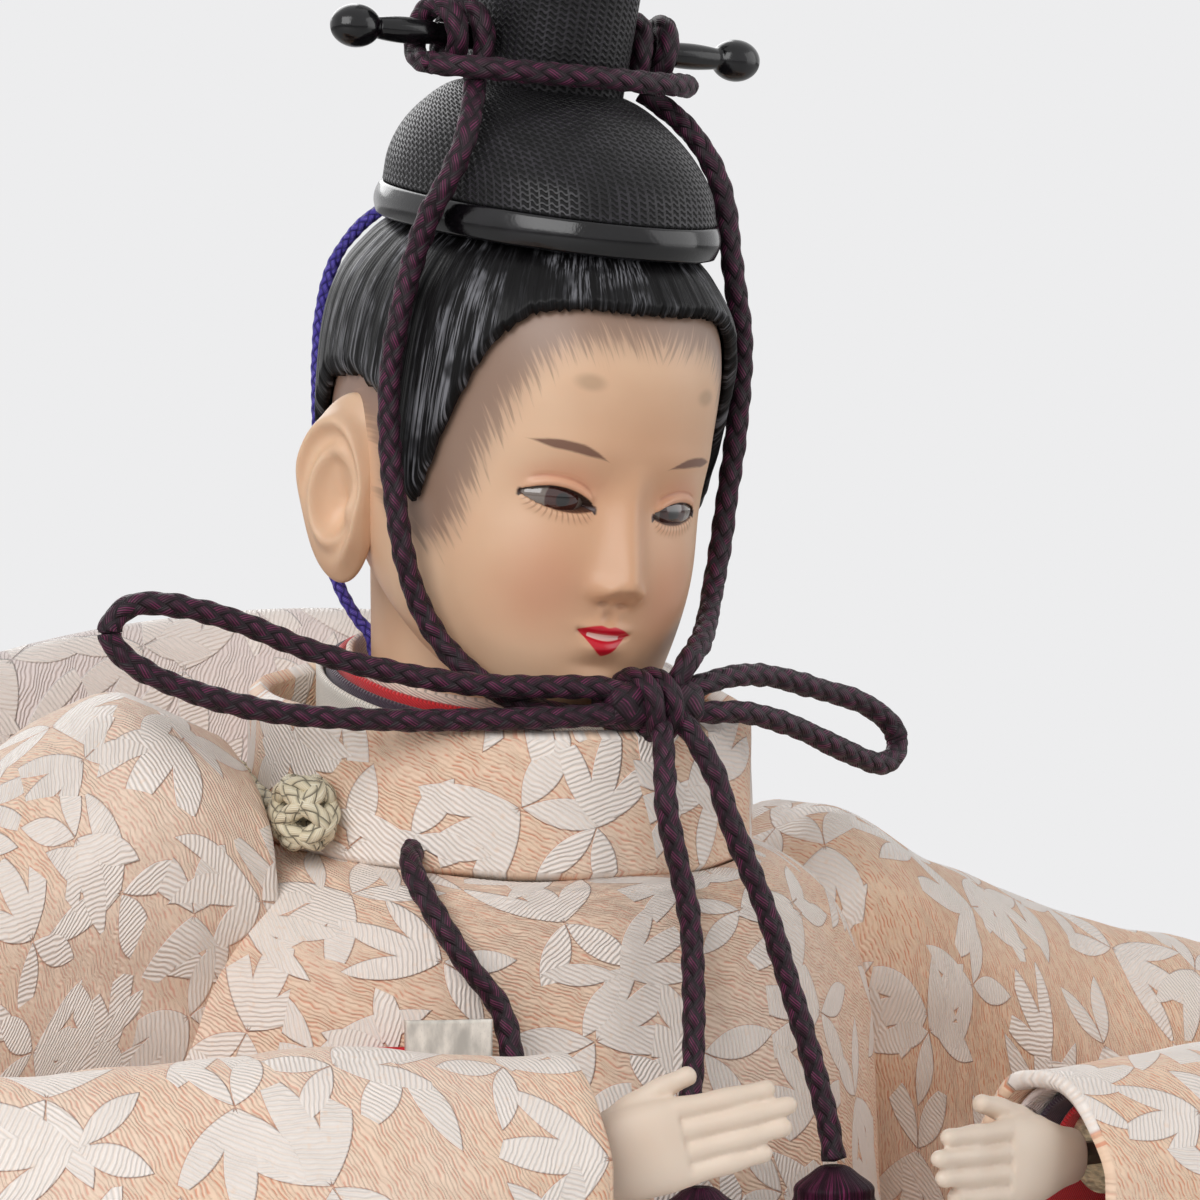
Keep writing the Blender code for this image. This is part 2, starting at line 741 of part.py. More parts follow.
class Doll:
    """Keeps the empties that carry the bodies, and makes the objects on them."""

    def __init__(self):
        self.finishes = {k: material(k, *v) for k, v in FINISHES.items()}
        self.carriers = {}

    def carrier(self, name, place, parent=None):
        empty = bpy.data.objects.new(name, None)
        bpy.context.collection.objects.link(empty)
        empty.location = Vector(place)
        if parent:
            empty.parent = self.carriers[parent]
            empty.location = Vector(place) - self.carriers[parent].matrix_world.translation
        self.carriers[name] = empty
        bpy.context.view_layer.update()
        return empty

    def attach(self, item, name, carrier, finish):
        bpy.context.collection.objects.link(item)
        item.parent = self.carriers[carrier]
        own = self.finishes[finish].copy()
        own.name = name + "_finish"
        item.data.materials.append(own)
        return item

    def mesh(self, name, parts, carrier, finish):
        """An object whose vertices are given in the doll's frame and kept from its carrier's place."""
        vertices, faces = parts
        vertices = np.asarray(vertices, float)
        if signed_volume(vertices - vertices.mean(axis=0), faces) < 0:
            faces = [face[::-1] for face in faces]
        origin = np.array(self.carriers[carrier].matrix_world.translation)
        data = bpy.data.meshes.new(name)
        data.from_pydata((vertices - origin).tolist(), [], faces)
        data.validate()
        data.shade_smooth()
        return self.attach(bpy.data.objects.new(name, data), name, carrier, finish)

    def cutter(self, name, parts):
        item = self.mesh(name, parts, "trunk", "wood")
        item.hide_render = True
        item.display_type = "WIRE"
        return item

    def combine(self, item, other, operation):
        step = item.modifiers.new(operation.lower() + "_" + other.name, "BOOLEAN")
        step.operation = operation
        step.solver = "EXACT"
        step.object = other

    def cut(self, item, *cutters):
        for other in cutters:
            self.combine(item, other, "DIFFERENCE")

    def cord(self, name, route, radius, carrier, finish, spacing_share=5.0, sides=2):
        """A round tube on a poly line read from the smooth curve through the route's points."""
        route = np.asarray(route, float)
        dense = smooth_rows(route, 12 * len(route))
        points = even_points(dense, spacing_share * radius)
        return self.tube(name, points, radius, carrier, finish, sides)

    def tube(self, name, points, radius, carrier, finish, sides):
        origin = np.array(self.carriers[carrier].matrix_world.translation)
        curve = bpy.data.curves.new(name, "CURVE")
        curve.dimensions = "3D"
        curve.bevel_depth = radius
        curve.bevel_resolution = sides
        curve.use_fill_caps = True
        spline = curve.splines.new("POLY")
        spline.points.add(len(points) - 1)
        for point, place in zip(spline.points, np.asarray(points) - origin, strict=True):
            point.co = (*place, 1.0)
        return self.attach(bpy.data.objects.new(name, curve), name, carrier, finish)


def in_world(points):
    """Points of the head's frame, moved to the doll's frame."""
    points = np.asarray(points, float)
    turn = np.array(HEAD_MATRIX.to_3x3())
    return points @ turn.T + np.array(HEAD_MATRIX.translation)


def in_head(points):
    """Points of the doll's frame, moved to the head's frame."""
    points = np.asarray(points, float)
    turn = np.array(HEAD_MATRIX.to_3x3())
    return (points - np.array(HEAD_MATRIX.translation)) @ turn


def tube_grid(route, radius, sides):
    """Rings of one radius, or of one for each point, along a line."""
    route = np.asarray(route, float)
    radii = np.broadcast_to(radius, len(route))
    rings = []
    up = np.array([0.0, 0.0, 1.0])
    for k, (point, r) in enumerate(zip(route, radii, strict=True)):
        ahead = route[min(k + 1, len(route) - 1)] - route[max(k - 1, 0)]
        ahead /= np.linalg.norm(ahead)
        side = np.cross(up, ahead)
        side /= np.linalg.norm(side)
        over = np.cross(ahead, side)
        angle = np.arange(sides) * 2 * math.pi / sides
        ring = np.outer(np.cos(angle), side) + np.outer(np.sin(angle), over)
        rings.append(point + r * ring)
    return np.array(rings)


def turned_grid(profile, sides):
    """Rings around the Z axis from pairs of height and radius."""
    angle = np.arange(sides) * 2 * math.pi / sides
    circle = np.column_stack([np.cos(angle), np.sin(angle), np.zeros(sides)])
    return np.array([circle * r + np.array([0.0, 0.0, h]) for h, r in profile])


def box_parts(low, high):
    """A box between two corners."""
    corners = np.array([[x, y, z] for x in (0, 1) for y in (0, 1) for z in (0, 1)], float)
    vertices = np.asarray(low) + corners * (np.asarray(high) - np.asarray(low))
    faces = [[0, 1, 3, 2], [4, 6, 7, 5], [0, 4, 5, 1], [2, 3, 7, 6], [0, 2, 6, 4], [1, 5, 7, 3]]
    return vertices, faces


def prism_parts(outline, half_width):
    """A side-view outline, pairs of y and z, carried across the whole width."""
    count = len(outline)
    vertices = [[x, y, z] for x in (-half_width, half_width) for y, z in outline]
    faces = [list(range(count)), list(range(2 * count - 1, count - 1, -1))]
    for n in range(count):
        m = (n + 1) % count
        faces.append([m, n, count + n, count + m])
    return np.array(vertices), faces


def ball_parts(middle, half_sizes, rows, count, turn=0.0):
    """An ellipsoid, turned about the vertical through its middle."""
    lift = np.linspace(-1, 1, rows + 2)[1:-1] * math.pi / 2
    rings = []
    for a in lift:
        ring = oval(math.cos(a) * half_sizes[0], math.cos(a) * half_sizes[1],
                    math.cos(a) * half_sizes[1], math.sin(a) * half_sizes[2], count)
        rings.append(ring)
    vertices, faces = solid_parts(np.array(rings))
    vertices[-2] = (0.0, 0.0, -half_sizes[2])
    vertices[-1] = (0.0, 0.0, half_sizes[2])
    spin = np.array(Matrix.Rotation(turn, 3, "Z"))
    return vertices @ spin.T + np.asarray(middle), faces


def tilted(grid, slope, front):
    """The rings raised towards the back, about a line in front of the neck."""
    out = grid.copy()
    out[..., 2] += slope * (grid[..., 1] + front)
    return out


def folded(grid, depth, folds, fade, phase=0.0):
    """The rings with folds pressed in, which fade along the stack."""
    rows, count, _ = grid.shape
    angle = np.arange(count) * 2 * math.pi / count
    wave = np.cos(folds * angle + phase) + SECOND_WAVE_SHARE * np.cos((2 * folds + 1) * angle + 2 * phase)
    fades = np.asarray(fade)[:, None]
    middle = grid.mean(axis=1, keepdims=True)
    away = grid - middle
    away[..., 2] = 0.0
    away /= np.linalg.norm(away, axis=2, keepdims=True)
    return grid + away * (depth / (1 + SECOND_WAVE_SHARE) * fades * wave[None, :])[..., None]


def bodice_grid(rows=BODICE_RINGS, count=BODICE_SIDES):
    """Sections of the robe's chest part, sloped along the neck edge."""
    height = BODICE_TOP - BODICE_BOTTOM
    sizes = (BODICE_BOTTOM, height, BODICE_HALF_WIDTH, BODICE_FRONT, BODICE_BACK)
    grid = oval_grid(BODICE_SHARES, rows, count, sizes, OVAL_POWER)
    share = np.linspace(0, 1, rows)[:, None]
    grid[..., 2] += share**3 * NECK_EDGE_SLOPE * (grid[..., 1] + NECK_EDGE_FRONT)
    return grid


def bodice_folded(rows=BODICE_RINGS, count=BODICE_SIDES):
    """The chest part with its folds."""
    fade = np.sin(np.linspace(BODICE_FOLD_START, 1, rows) * math.pi) ** BODICE_FOLD_FADE
    return folded(bodice_grid(rows, count), BODICE_FOLD_DEPTH, BODICE_FOLDS, fade, BODICE_FOLD_PHASE)


def skirt_grid(rows=SKIRT_RINGS, count=SKIRT_SIDES):
    """The lower robe, from the hem up to the waist, which follows the chest part's size."""
    waist = SKIRT_WAIST_SHARE * np.array([BODICE_HALF_WIDTH, BODICE_FRONT, BODICE_BACK])
    spread = np.array([SKIRT_HALF_WIDTH, SKIRT_FRONT, SKIRT_BACK]) - waist
    rings = []
    for share, *out in smooth_rows(SKIRT_SHARES, rows):
        height = SKIRT_BOTTOM + (SKIRT_TOP - SKIRT_BOTTOM) * share
        rings.append(oval(*(waist + spread * np.array(out)), height, count, SKIRT_POWER))
    return np.array(rings)


def skirt_folded(rows=SKIRT_RINGS, count=SKIRT_SIDES):
    """The lower robe with its folds."""
    fade = np.clip(SKIRT_FOLD_AT_HEM - SKIRT_FOLD_FADE * np.linspace(0, 1, rows), 0, 1)
    return folded(skirt_grid(rows, count), SKIRT_FOLD_DEPTH, SKIRT_FOLDS, fade, SKIRT_FOLD_PHASE)


def lower_hull(distance):
    """The lower robe's space, drawn in by a distance, from its hem up to the trousers' top."""
    grid = grown(skirt_grid(), -distance)[:HAKAMA_RINGS]
    grid[0, :, 2] = SKIRT_BOTTOM
    return grid


def add_trunk(doll):
    """The seat board and the straw core with its neck hole and its bore for the arm wire."""
    board = oval(BOARD_HALF_WIDTH, BOARD_FRONT, BOARD_BACK, 0.0, SKIRT_SIDES, BOARD_CORNER_POWER)
    lift = np.array([0.0, 0.0, BOARD_THICKNESS])
    doll.mesh("seat_board", solid_parts(np.array([board, board + lift])), "trunk", "wood")

    core = doll.mesh("straw_core", solid_parts(core_grid()), "trunk", "straw")
    hole_radius = PEG_RADIUS + FIT_GAP
    neck_hole = turned_grid(
        [(CORE_TOP - NECK_HOLE_DEPTH, hole_radius), (CORE_TOP + CUT_OVERRUN, hole_radius)], PEG_SIDES
    )
    bored = wire_line(-SHOULDER_OUT * CORE_BORE_SHARE, SHOULDER_OUT * CORE_BORE_SHARE)
    wire_bore = tube_grid(bored, WIRE_RADIUS + FIT_GAP, WIRE_SIDES)
    doll.cut(core, doll.cutter("neck_hole_cutter", solid_parts(neck_hole)))
    doll.cut(core, doll.cutter("wire_bore_cutter", solid_parts(wire_bore)))


def core_grid():
    """The straw body: a plain column up to the waist, then the chest's shape less the robe."""
    chest = grown(bodice_grid(), -(CLOTH_THICKNESS + 2 * BODICE_FOLD_DEPTH + FIT_GAP))
    count = chest.shape[1]
    waist = [CORE_WAIST_SHARE * size for size in (BODICE_HALF_WIDTH, BODICE_FRONT, BODICE_BACK)]
    heights = (BOARD_THICKNESS + FIT_GAP, SKIRT_TOP / 2, SKIRT_TOP)
    low = [oval(*waist, z, count, OVAL_POWER) for z in heights]
    above = [ring for ring in chest if SKIRT_TOP + CUT_OVERRUN < ring[:, 2].mean() < CORE_TOP - CUT_OVERRUN]
    top = above[-1].copy()
    middle = top.mean(axis=0)
    top = middle + (top - middle) * CORE_TOP_SHARE
    top[:, 2] = CORE_TOP
    return np.array(low + above + [top])


def wrist_line(wrist, tips):
    """The straight end of the wire: inside the hand, at the wrist, and the run before it."""
    wrist, tips = np.array(wrist), np.array(tips)
    ahead = (tips - wrist) / np.linalg.norm(tips - wrist)
    return [wrist + ahead * WIRE_IN_HAND, wrist, wrist - ahead * WRIST_STRAIGHT]


def wire_points():
    """The wire from the right hand through the core to the left hand."""
    right = wrist_line(RIGHT_WRIST, RIGHT_FINGERTIPS)
    left = wrist_line(LEFT_WRIST, LEFT_FINGERTIPS)
    arm = [
        (FOREARM_OUT, -FOREARM_FRONT, CORE_TOP - FOREARM_DOWN),
        (BELOW_ELBOW_OUT, -BELOW_ELBOW_FRONT, CORE_TOP - ELBOW_DOWN),
        (ELBOW_OUT, -ELBOW_FRONT, CORE_TOP - ELBOW_DOWN),
        (UPPER_ARM_OUT, 0.0, CORE_TOP - UPPER_ARM_DOWN),
        (SHOULDER_OUT, WIRE_BEHIND_NECK, CORE_TOP - SHOULDER_DOWN),
    ]
    behind_neck = (0.0, WIRE_BEHIND_NECK, CORE_TOP - SHOULDER_DOWN)
    across = [(-x, y, z) for x, y, z in arm] + [behind_neck] + arm[::-1]
    return right, across, left


def wire_route():
    """Even points along the whole wire, straight where it enters the hands."""
    right, across, left = wire_points()
    bend = smooth_rows([right[1], right[2], *across, left[2], left[1]], WIRE_BEND_POINTS)
    bend = bend[np.linalg.norm(bend - right[1], axis=1) > WRIST_STRAIGHT]
    bend = bend[np.linalg.norm(bend - left[1], axis=1) > WRIST_STRAIGHT]
    return np.vstack([right[:2], bend, left[1::-1]])


def wire_line(low, high):
    """The part of the wire between two distances to the side of the neck."""
    route = wire_route()
    return route[(route[:, 0] > low) & (route[:, 0] < high) & (route[:, 1] > -ELBOW_FRONT)]


def add_arms(doll):
    """The one wire through both arms and the padding on each."""
    route = wire_route()
    doll.mesh("arm_wire", solid_parts(tube_grid(route, WIRE_RADIUS, WIRE_SIDES)), "trunk", "wire")
    bare = WIRE_BARE_AT_WRIST
    for side, sign, wrist in (("right", -1, RIGHT_WRIST), ("left", 1, LEFT_WRIST)):
        arm = route[sign * route[:, 0] > 0]
        outside = (sign * arm[:, 0] > BODICE_HALF_WIDTH * PADDING_START_SHARE) | (arm[:, 1] < -ELBOW_FRONT)
        arm = arm[outside & (np.linalg.norm(arm - np.array(wrist), axis=1) > bare)]
        outer = tube_grid(arm, PADDING_RADIUS, WIRE_SIDES)
        inner = tube_grid(arm, WIRE_RADIUS + FIT_GAP, WIRE_SIDES)
        doll.mesh("arm_padding_" + side, shell_parts(outer, inner), "trunk", "padding")


def add_legs(doll):
    """Leg paddings on the board and the trouser legs over them, each pair parted in the middle."""
    under = 2 * SKIRT_FOLD_DEPTH + CLOTH_THICKNESS + FIT_GAP
    hakama_outer = lower_hull(under)
    hakama_inner = lower_hull(under + HAKAMA_THICKNESS)
    height = BOARD_THICKNESS + FIT_GAP + LEG_RADIUS
    reach = SKIRT_HALF_WIDTH + CUT_OVERRUN
    for side, sign in (("right", -1), ("left", 1)):
        places = [(sign * SKIRT_HALF_WIDTH * x, -SKIRT_FRONT * y, height) for x, y in LEG_SHARES]
        line = smooth_rows(places, LEG_POINTS)
        leg = solid_parts(tube_grid(line, LEG_RADIUS, ROUND_SIDES))
        doll.mesh("leg_padding_" + side, leg, "trunk", "padding")
        low = sorted([-sign * reach, sign * LEG_SPLIT_GAP / 2])
        half = doll.cutter(
            "half_cutter_" + side,
            box_parts((low[0], -reach, -CUT_OVERRUN), (low[1], reach, SKIRT_TOP + CUT_OVERRUN)),
        )
        trouser = doll.mesh("hakama_" + side, shell_parts(hakama_outer, hakama_inner), "trunk", "trousers")
        doll.cut(trouser, half)


def band_rings():
    """Rings on the lower robe's own surface, from its hem up to the hem band's top."""
    skirt = skirt_folded()
    heights = skirt[:, :, 2].mean(axis=1)
    rings = [skirt[0]]
    for height in (HEM_BAND_HEIGHT / 2, HEM_BAND_HEIGHT):
        above = int(np.argmax(heights > height))
        share = (height - heights[above - 1]) / (heights[above] - heights[above - 1])
        rings.append(skirt[above - 1] * (1 - share) + skirt[above] * share)
    return np.array(rings)


def add_robe(doll):
    """The robe's chest part, the lower robe, its hem band and the belt."""
    skirt_outer = skirt_folded()
    skirt = doll.mesh(
        "robe_skirt", shell_parts(skirt_outer, grown(skirt_outer, -CLOTH_THICKNESS)), "trunk", "brocade"
    )
    arch_outline = [
        (HEM_ARCH_HALF_WIDTH * math.cos(a), HEM_ARCH_HEIGHT * math.sin(a))
        for a in np.linspace(0, math.pi, 13)
    ]
    arch_outline += [(-HEM_ARCH_HALF_WIDTH, -CUT_OVERRUN), (HEM_ARCH_HALF_WIDTH, -CUT_OVERRUN)]
    low, high = -SKIRT_FRONT - 2 * CUT_OVERRUN, -SKIRT_FRONT * HEM_ARCH_DEPTH_SHARE
    count = len(arch_outline)
    vertices = [[x, y, z] for y in (low, high) for x, z in arch_outline]
    faces = [list(range(count)), list(range(2 * count - 1, count - 1, -1))]
    faces += [[(n + 1) % count, n, count + n, count + (n + 1) % count] for n in range(count)]
    arch = doll.cutter("hem_arch_cutter", (np.array(vertices), faces))
    doll.cut(skirt, arch)

    band_inner = grown(band_rings(), FIT_GAP)
    band_outer = grown(band_inner, HEM_BAND_THICKNESS)
    band = doll.mesh("robe_hem_band", shell_parts(band_outer, band_inner), "trunk", "brocade")
    doll.cut(band, arch)

    waist = [SKIRT_WAIST_SHARE * size for size in (BODICE_HALF_WIDTH, BODICE_FRONT, BODICE_BACK)]
    belt = oval(*waist, BELT_BOTTOM, SKIRT_SIDES, SKIRT_POWER)
    belt = np.array([belt, belt + np.array([0.0, 0.0, BELT_HEIGHT])])
    inner = grown(belt, 2 * FIT_GAP)
    doll.mesh("waist_belt", shell_parts(grown(inner, BELT_THICKNESS), inner), "trunk", "belt")

    bodice_outer = bodice_folded()
    bodice = doll.mesh(
        "robe_bodice", shell_parts(bodice_outer, grown(bodice_outer, -CLOTH_THICKNESS)), "trunk", "brocade"
    )
    for side, sign in (("right", -1), ("left", 1)):
        low, high = sorted([sign * SHOULDER_OUT / 2, sign * UPPER_ARM_OUT])
        hole = tube_grid(wire_line(low, high), ARM_HOLE_RADIUS, ROUND_SIDES)
        doll.cut(bodice, doll.cutter("arm_hole_cutter_" + side, solid_parts(hole)))


def add_back_fold(doll):
    """The raised fold of pale brocade behind the neck, round along its top edge."""
    angle = np.arange(ROUND_SIDES) * 2 * math.pi / ROUND_SIDES
    across = np.sign(np.cos(angle)) * np.abs(np.cos(angle)) ** BLUNT_POWER * BACK_FOLD_THICKNESS / 2
    upward = np.sign(np.sin(angle)) * np.abs(np.sin(angle)) ** BLUNT_POWER
    rings = []
    for s in np.linspace(-1, 1, BACK_FOLD_SECTIONS):
        top, low = BACK_FOLD_TOP - BACK_FOLD_DROOP * s * s, BACK_FOLD_BOTTOM
        middle = np.array([BACK_FOLD_HALF_WIDTH * s, BACK_FOLD_PLACE, (top + low) / 2])
        rings.append(middle + np.column_stack([np.zeros(ROUND_SIDES), across, upward * (top - low) / 2]))
    doll.mesh("robe_back_fold", solid_parts(np.array(rings)), "trunk", "pale_brocade")


def sleeve_stations(side, count):
    """Where each upright section of a sleeve stands, how thick it is, and its top and bottom."""
    top = RIGHT_SLEEVE_TOP if side == "right" else LEFT_SLEEVE_TOP
    cuff_top = RIGHT_CUFF_TOP if side == "right" else LEFT_CUFF_TOP
    sign = -1 if side == "right" else 1
    rows = []
    for out, front, thick, high, low in smooth_rows(SLEEVE_SHARES, count):
        if side == "left":
            high = max(high, 0.0) ** LEFT_SLEEVE_SLOPE_POWER
        rows.append(
            (
                sign * SLEEVE_REACH * out,
                -SLEEVE_FRONT * front,
                SLEEVE_HALF_THICKNESS * thick,
                cuff_top + (top - cuff_top) * high,
                SLEEVE_LOW + (CUFF_BOTTOM - SLEEVE_LOW) * low,
            )
        )
    return np.array(rows)


def sleeve_grid(side, inset=0.0, rows=SLEEVE_RINGS, count=SLEEVE_SIDES):
    """Upright sections along the arm, thick at the arm and thin at the hanging edge, drawn in alike."""
    stations = sleeve_stations(side, rows)
    heights, widths = np.array(SLEEVE_TAPER_SHARES).T
    angle = np.arange(count) * 2 * math.pi / count
    across = np.sign(np.cos(angle)) * np.abs(np.cos(angle)) ** SLEEVE_SIDE_POWER
    upward = np.sign(np.sin(angle)) * np.abs(np.sin(angle)) ** BLUNT_POWER
    taper = np.interp((upward + 1) / 2, heights, widths)
    rings = []
    for k, (x, y, thick, top, low) in enumerate(stations):
        ahead = stations[min(k + 1, rows - 1), :2] - stations[max(k - 1, 0), :2]
        ahead /= np.linalg.norm(ahead)
        side_way = np.array([ahead[1], -ahead[0]])
        wave = SLEEVE_FOLD_DEPTH * math.sin(SLEEVE_FOLDS * math.pi * k / (rows - 1))
        offset = across * (taper * (thick + wave) - inset)
        height = (top + low) / 2 + upward * ((top - low) / 2 - inset)
        rings.append(np.column_stack([x + side_way[0] * offset, y + side_way[1] * offset, height]))
    return np.array(rings)


def add_sleeves(doll):
    """Both sleeves, each with its second hem and its two linings."""
    bodice_space = doll.cutter("bodice_space_cutter", solid_parts(grown(bodice_folded(), FIT_GAP)))
    skirt_space = doll.cutter("skirt_space_cutter", solid_parts(grown(skirt_folded(), FIT_GAP)))
    band_space = doll.cutter(
        "band_space_cutter", solid_parts(grown(band_rings(), 2 * FIT_GAP + HEM_BAND_THICKNESS))
    )
    for side in ("right", "left"):
        outer = sleeve_grid(side)
        inner = sleeve_grid(side, CLOTH_THICKNESS)
        sleeve = doll.mesh("sleeve_" + side, shell_parts(outer, inner), "trunk", "brocade")
        doll.cut(sleeve, bodice_space, skirt_space, band_space)
        depth = CLOTH_THICKNESS + FIT_GAP
        for name, recess, finish in (
            ("sleeve_second_hem_", SECOND_HEM_RECESS_SHARE, "pale_brocade"),
            ("sleeve_purple_lining_", PURPLE_RECESS_SHARE, "purple"),
            ("sleeve_red_lining_", RED_RECESS_SHARE, "red"),
        ):
            shell_outer = mouth_rings(sleeve_grid(side, depth), recess)
            shell_inner = mouth_rings(sleeve_grid(side, depth + LINING_THICKNESS), recess)
            lining = doll.mesh(name + side, shell_parts(shell_outer, shell_inner), "trunk", finish)
            doll.cut(lining, skirt_space)
            depth += LINING_THICKNESS + FIT_GAP


def mouth_rings(grid, recess):
    """The sleeve surface's rings by the mouth, read on the same straight run between its own rings."""
    last = len(grid) - 1
    first, end = (1 - LINING_LENGTH_SHARE) * last, (1 - recess) * last
    places = [first, *range(math.ceil(first), math.floor(end) + 1), end]
    rings = []
    for place in places:
        below = min(int(place), last - 1)
        rings.append(grid[below] * (1 - place + below) + grid[below + 1] * (place - below))
    return np.array(rings)


def collar_grid(radius, bottom_gap, height, rows, taper=0.0):
    """A band round the neck, parallel to the robe's sloping neck edge."""
    rings = []
    for share in np.linspace(0, 1, rows):
        r = radius - taper * share
        ring = oval(r, r, r, BODICE_TOP + bottom_gap + height * share, COLLAR_SEGMENTS)
        ring[:, 1] -= COLLAR_CENTRE_FRONT
        rings.append(ring)
    return tilted(np.array(rings), NECK_EDGE_SLOPE, NECK_EDGE_FRONT)


def add_collars(doll):
    """The stand collar and the four collar edges inside it."""
    outer = collar_grid(COLLAR_RADIUS, 2 * FIT_GAP, COLLAR_HEIGHT, 3, COLLAR_TAPER)
    inner = collar_grid(COLLAR_RADIUS - COLLAR_THICKNESS, 2 * FIT_GAP, COLLAR_HEIGHT, 3, COLLAR_TAPER)
    doll.mesh("collar_band", shell_parts(outer, inner), "trunk", "brocade")

    radius = INNER_COLLAR_RADIUS
    for name, step, finish in (
        ("inner_collar_white", 0, "white"),
        ("inner_collar_purple", 1, "purple"),
        ("inner_collar_red", 2, "red"),
        ("inner_collar_lining", 3, "cream"),
    ):
        top = INNER_COLLAR_TOP + step * INNER_COLLAR_STEP
        rings = []
        for r in (radius, radius - INNER_COLLAR_THICKNESS):
            low = oval(r, r, r, CORE_TOP + FIT_GAP, COLLAR_SEGMENTS)
            high = oval(r, r, r, top, COLLAR_SEGMENTS)
            high[:, 2] += INNER_COLLAR_SLOPE * high[:, 1]
            rings.append(np.array([low, high]))
        doll.mesh(name, shell_parts(*rings), "trunk", finish)
        radius -= INNER_COLLAR_THICKNESS + FIT_GAP


def on_collar(angle, height, away):
    """A place outside the collar band, by its angle from the front towards the doll's right."""
    r = COLLAR_RADIUS + away
    return np.array([-r * math.sin(angle), -COLLAR_CENTRE_FRONT - r * math.cos(angle), height])


def add_frog(doll):
    """The collar's round knot and the loop that takes it."""
    height = BODICE_TOP + FROG_HEIGHT
    middle = on_collar(FROG_ANGLE, height, FIT_GAP + FROG_DEPTH)
    knot = ball_parts(middle, (FROG_RADIUS, FROG_DEPTH, FROG_RADIUS), BALL_ROWS, ROUND_SIDES, -FROG_ANGLE)
    doll.mesh("frog_knot", knot, "trunk", "cream")
    away = FIT_GAP + FROG_LOOP_RADIUS
    start = FROG_ANGLE + FROG_RADIUS / COLLAR_RADIUS + FROG_LOOP_GAP_ANGLE
    route = [
        on_collar(start + FROG_LOOP_ANGLE * s, height + FROG_LOOP_RISE * s, away)
        for s in np.linspace(0, 1, 6)
    ]
    doll.tube("frog_loop", route, FROG_LOOP_RADIUS, "trunk", "cream", 2)


def chest_surface(x, z, away):
    """A place in front of the chest part, read between its own rings."""
    heights, depths = [], []
    for ring in bodice_folded():
        front = ring[ring[:, 1] < 0]
        order = np.argsort(front[:, 0])
        heights.append(np.interp(x, front[order, 0], front[order, 2]))
        depths.append(np.interp(x, front[order, 0], front[order, 1]))
    return np.array([x, np.interp(z, heights, depths) - away, z])


def add_papers(doll):
    """The two folded papers tucked in at the chest."""
    x, z = PAPER_PLACE
    for name, shift, layer, finish in (
        ("bosom_paper_white", 0.0, 1, "white"),
        ("bosom_paper_red", RED_PAPER_OUT, 0, "red"),
    ):
        away = FIT_GAP + BODICE_FOLD_DEPTH + layer * (PAPER_THICKNESS + PAPER_GAP)
        back = np.array(
            [
                [chest_surface(x - shift + PAPER_WIDTH * across, z - shift + PAPER_HEIGHT * up, away)
                 for across in PAPER_COLUMNS]
                for up in PAPER_ROWS
            ]
        )
        front = back - np.array([0.0, PAPER_THICKNESS, 0.0])
        doll.mesh(name, sheet_parts(back, front), "trunk", finish)


def sheet_parts(back, front):
    """A closed sheet between two grids of the same places."""
    rows, count, _ = back.shape
    size = rows * count
    faces = []
    for k in range(rows - 1):
        for n in range(count - 1):
            ring = [k * count + n, k * count + n + 1, (k + 1) * count + n + 1, (k + 1) * count + n]
            faces.append(ring)
            faces.append([size + v for v in ring[::-1]])
    rim = [n for n in range(count)]
    rim += [(k + 1) * count - 1 for k in range(1, rows)]
    rim += [size - 1 - n for n in range(1, count)]
    rim += [k * count for k in range(rows - 2, 0, -1)]
    for a, b in zip(rim, rim[1:] + rim[:1], strict=True):
        faces.append([b, a, size + a, size + b])
    return np.vstack([back.reshape(-1, 3), front.reshape(-1, 3)]), faces


def skull_grid(rows=SKULL_RINGS, count=SKULL_SIDES):
    """Level sections of the head, from the chin up."""
    sizes = (0.0, HEAD_HEIGHT, HEAD_HALF_WIDTH, HEAD_FRONT, HEAD_BACK)
    return oval_grid(SKULL_SHARES, rows, count, sizes, OVAL_POWER)


def neck_grid(distance=0.0):
    """The neck, upright on the Z axis, in the head's frame, and flared at its foot."""
    top = HEAD_ORIGIN[2] + NECK_INSIDE_HEAD + distance
    foot, low, waist = (NECK_RADIUS * share + distance for share in NECK_GIRTH_SHARES)
    profile = [
        (CORE_TOP + FIT_GAP, foot),
        (CORE_TOP + FIT_GAP + NECK_RADIUS / 3, low),
        (CORE_TOP + NECK_RADIUS, waist),
        (top, NECK_RADIUS + distance),
    ]
    return turned_grid(profile, NECK_SIDES)


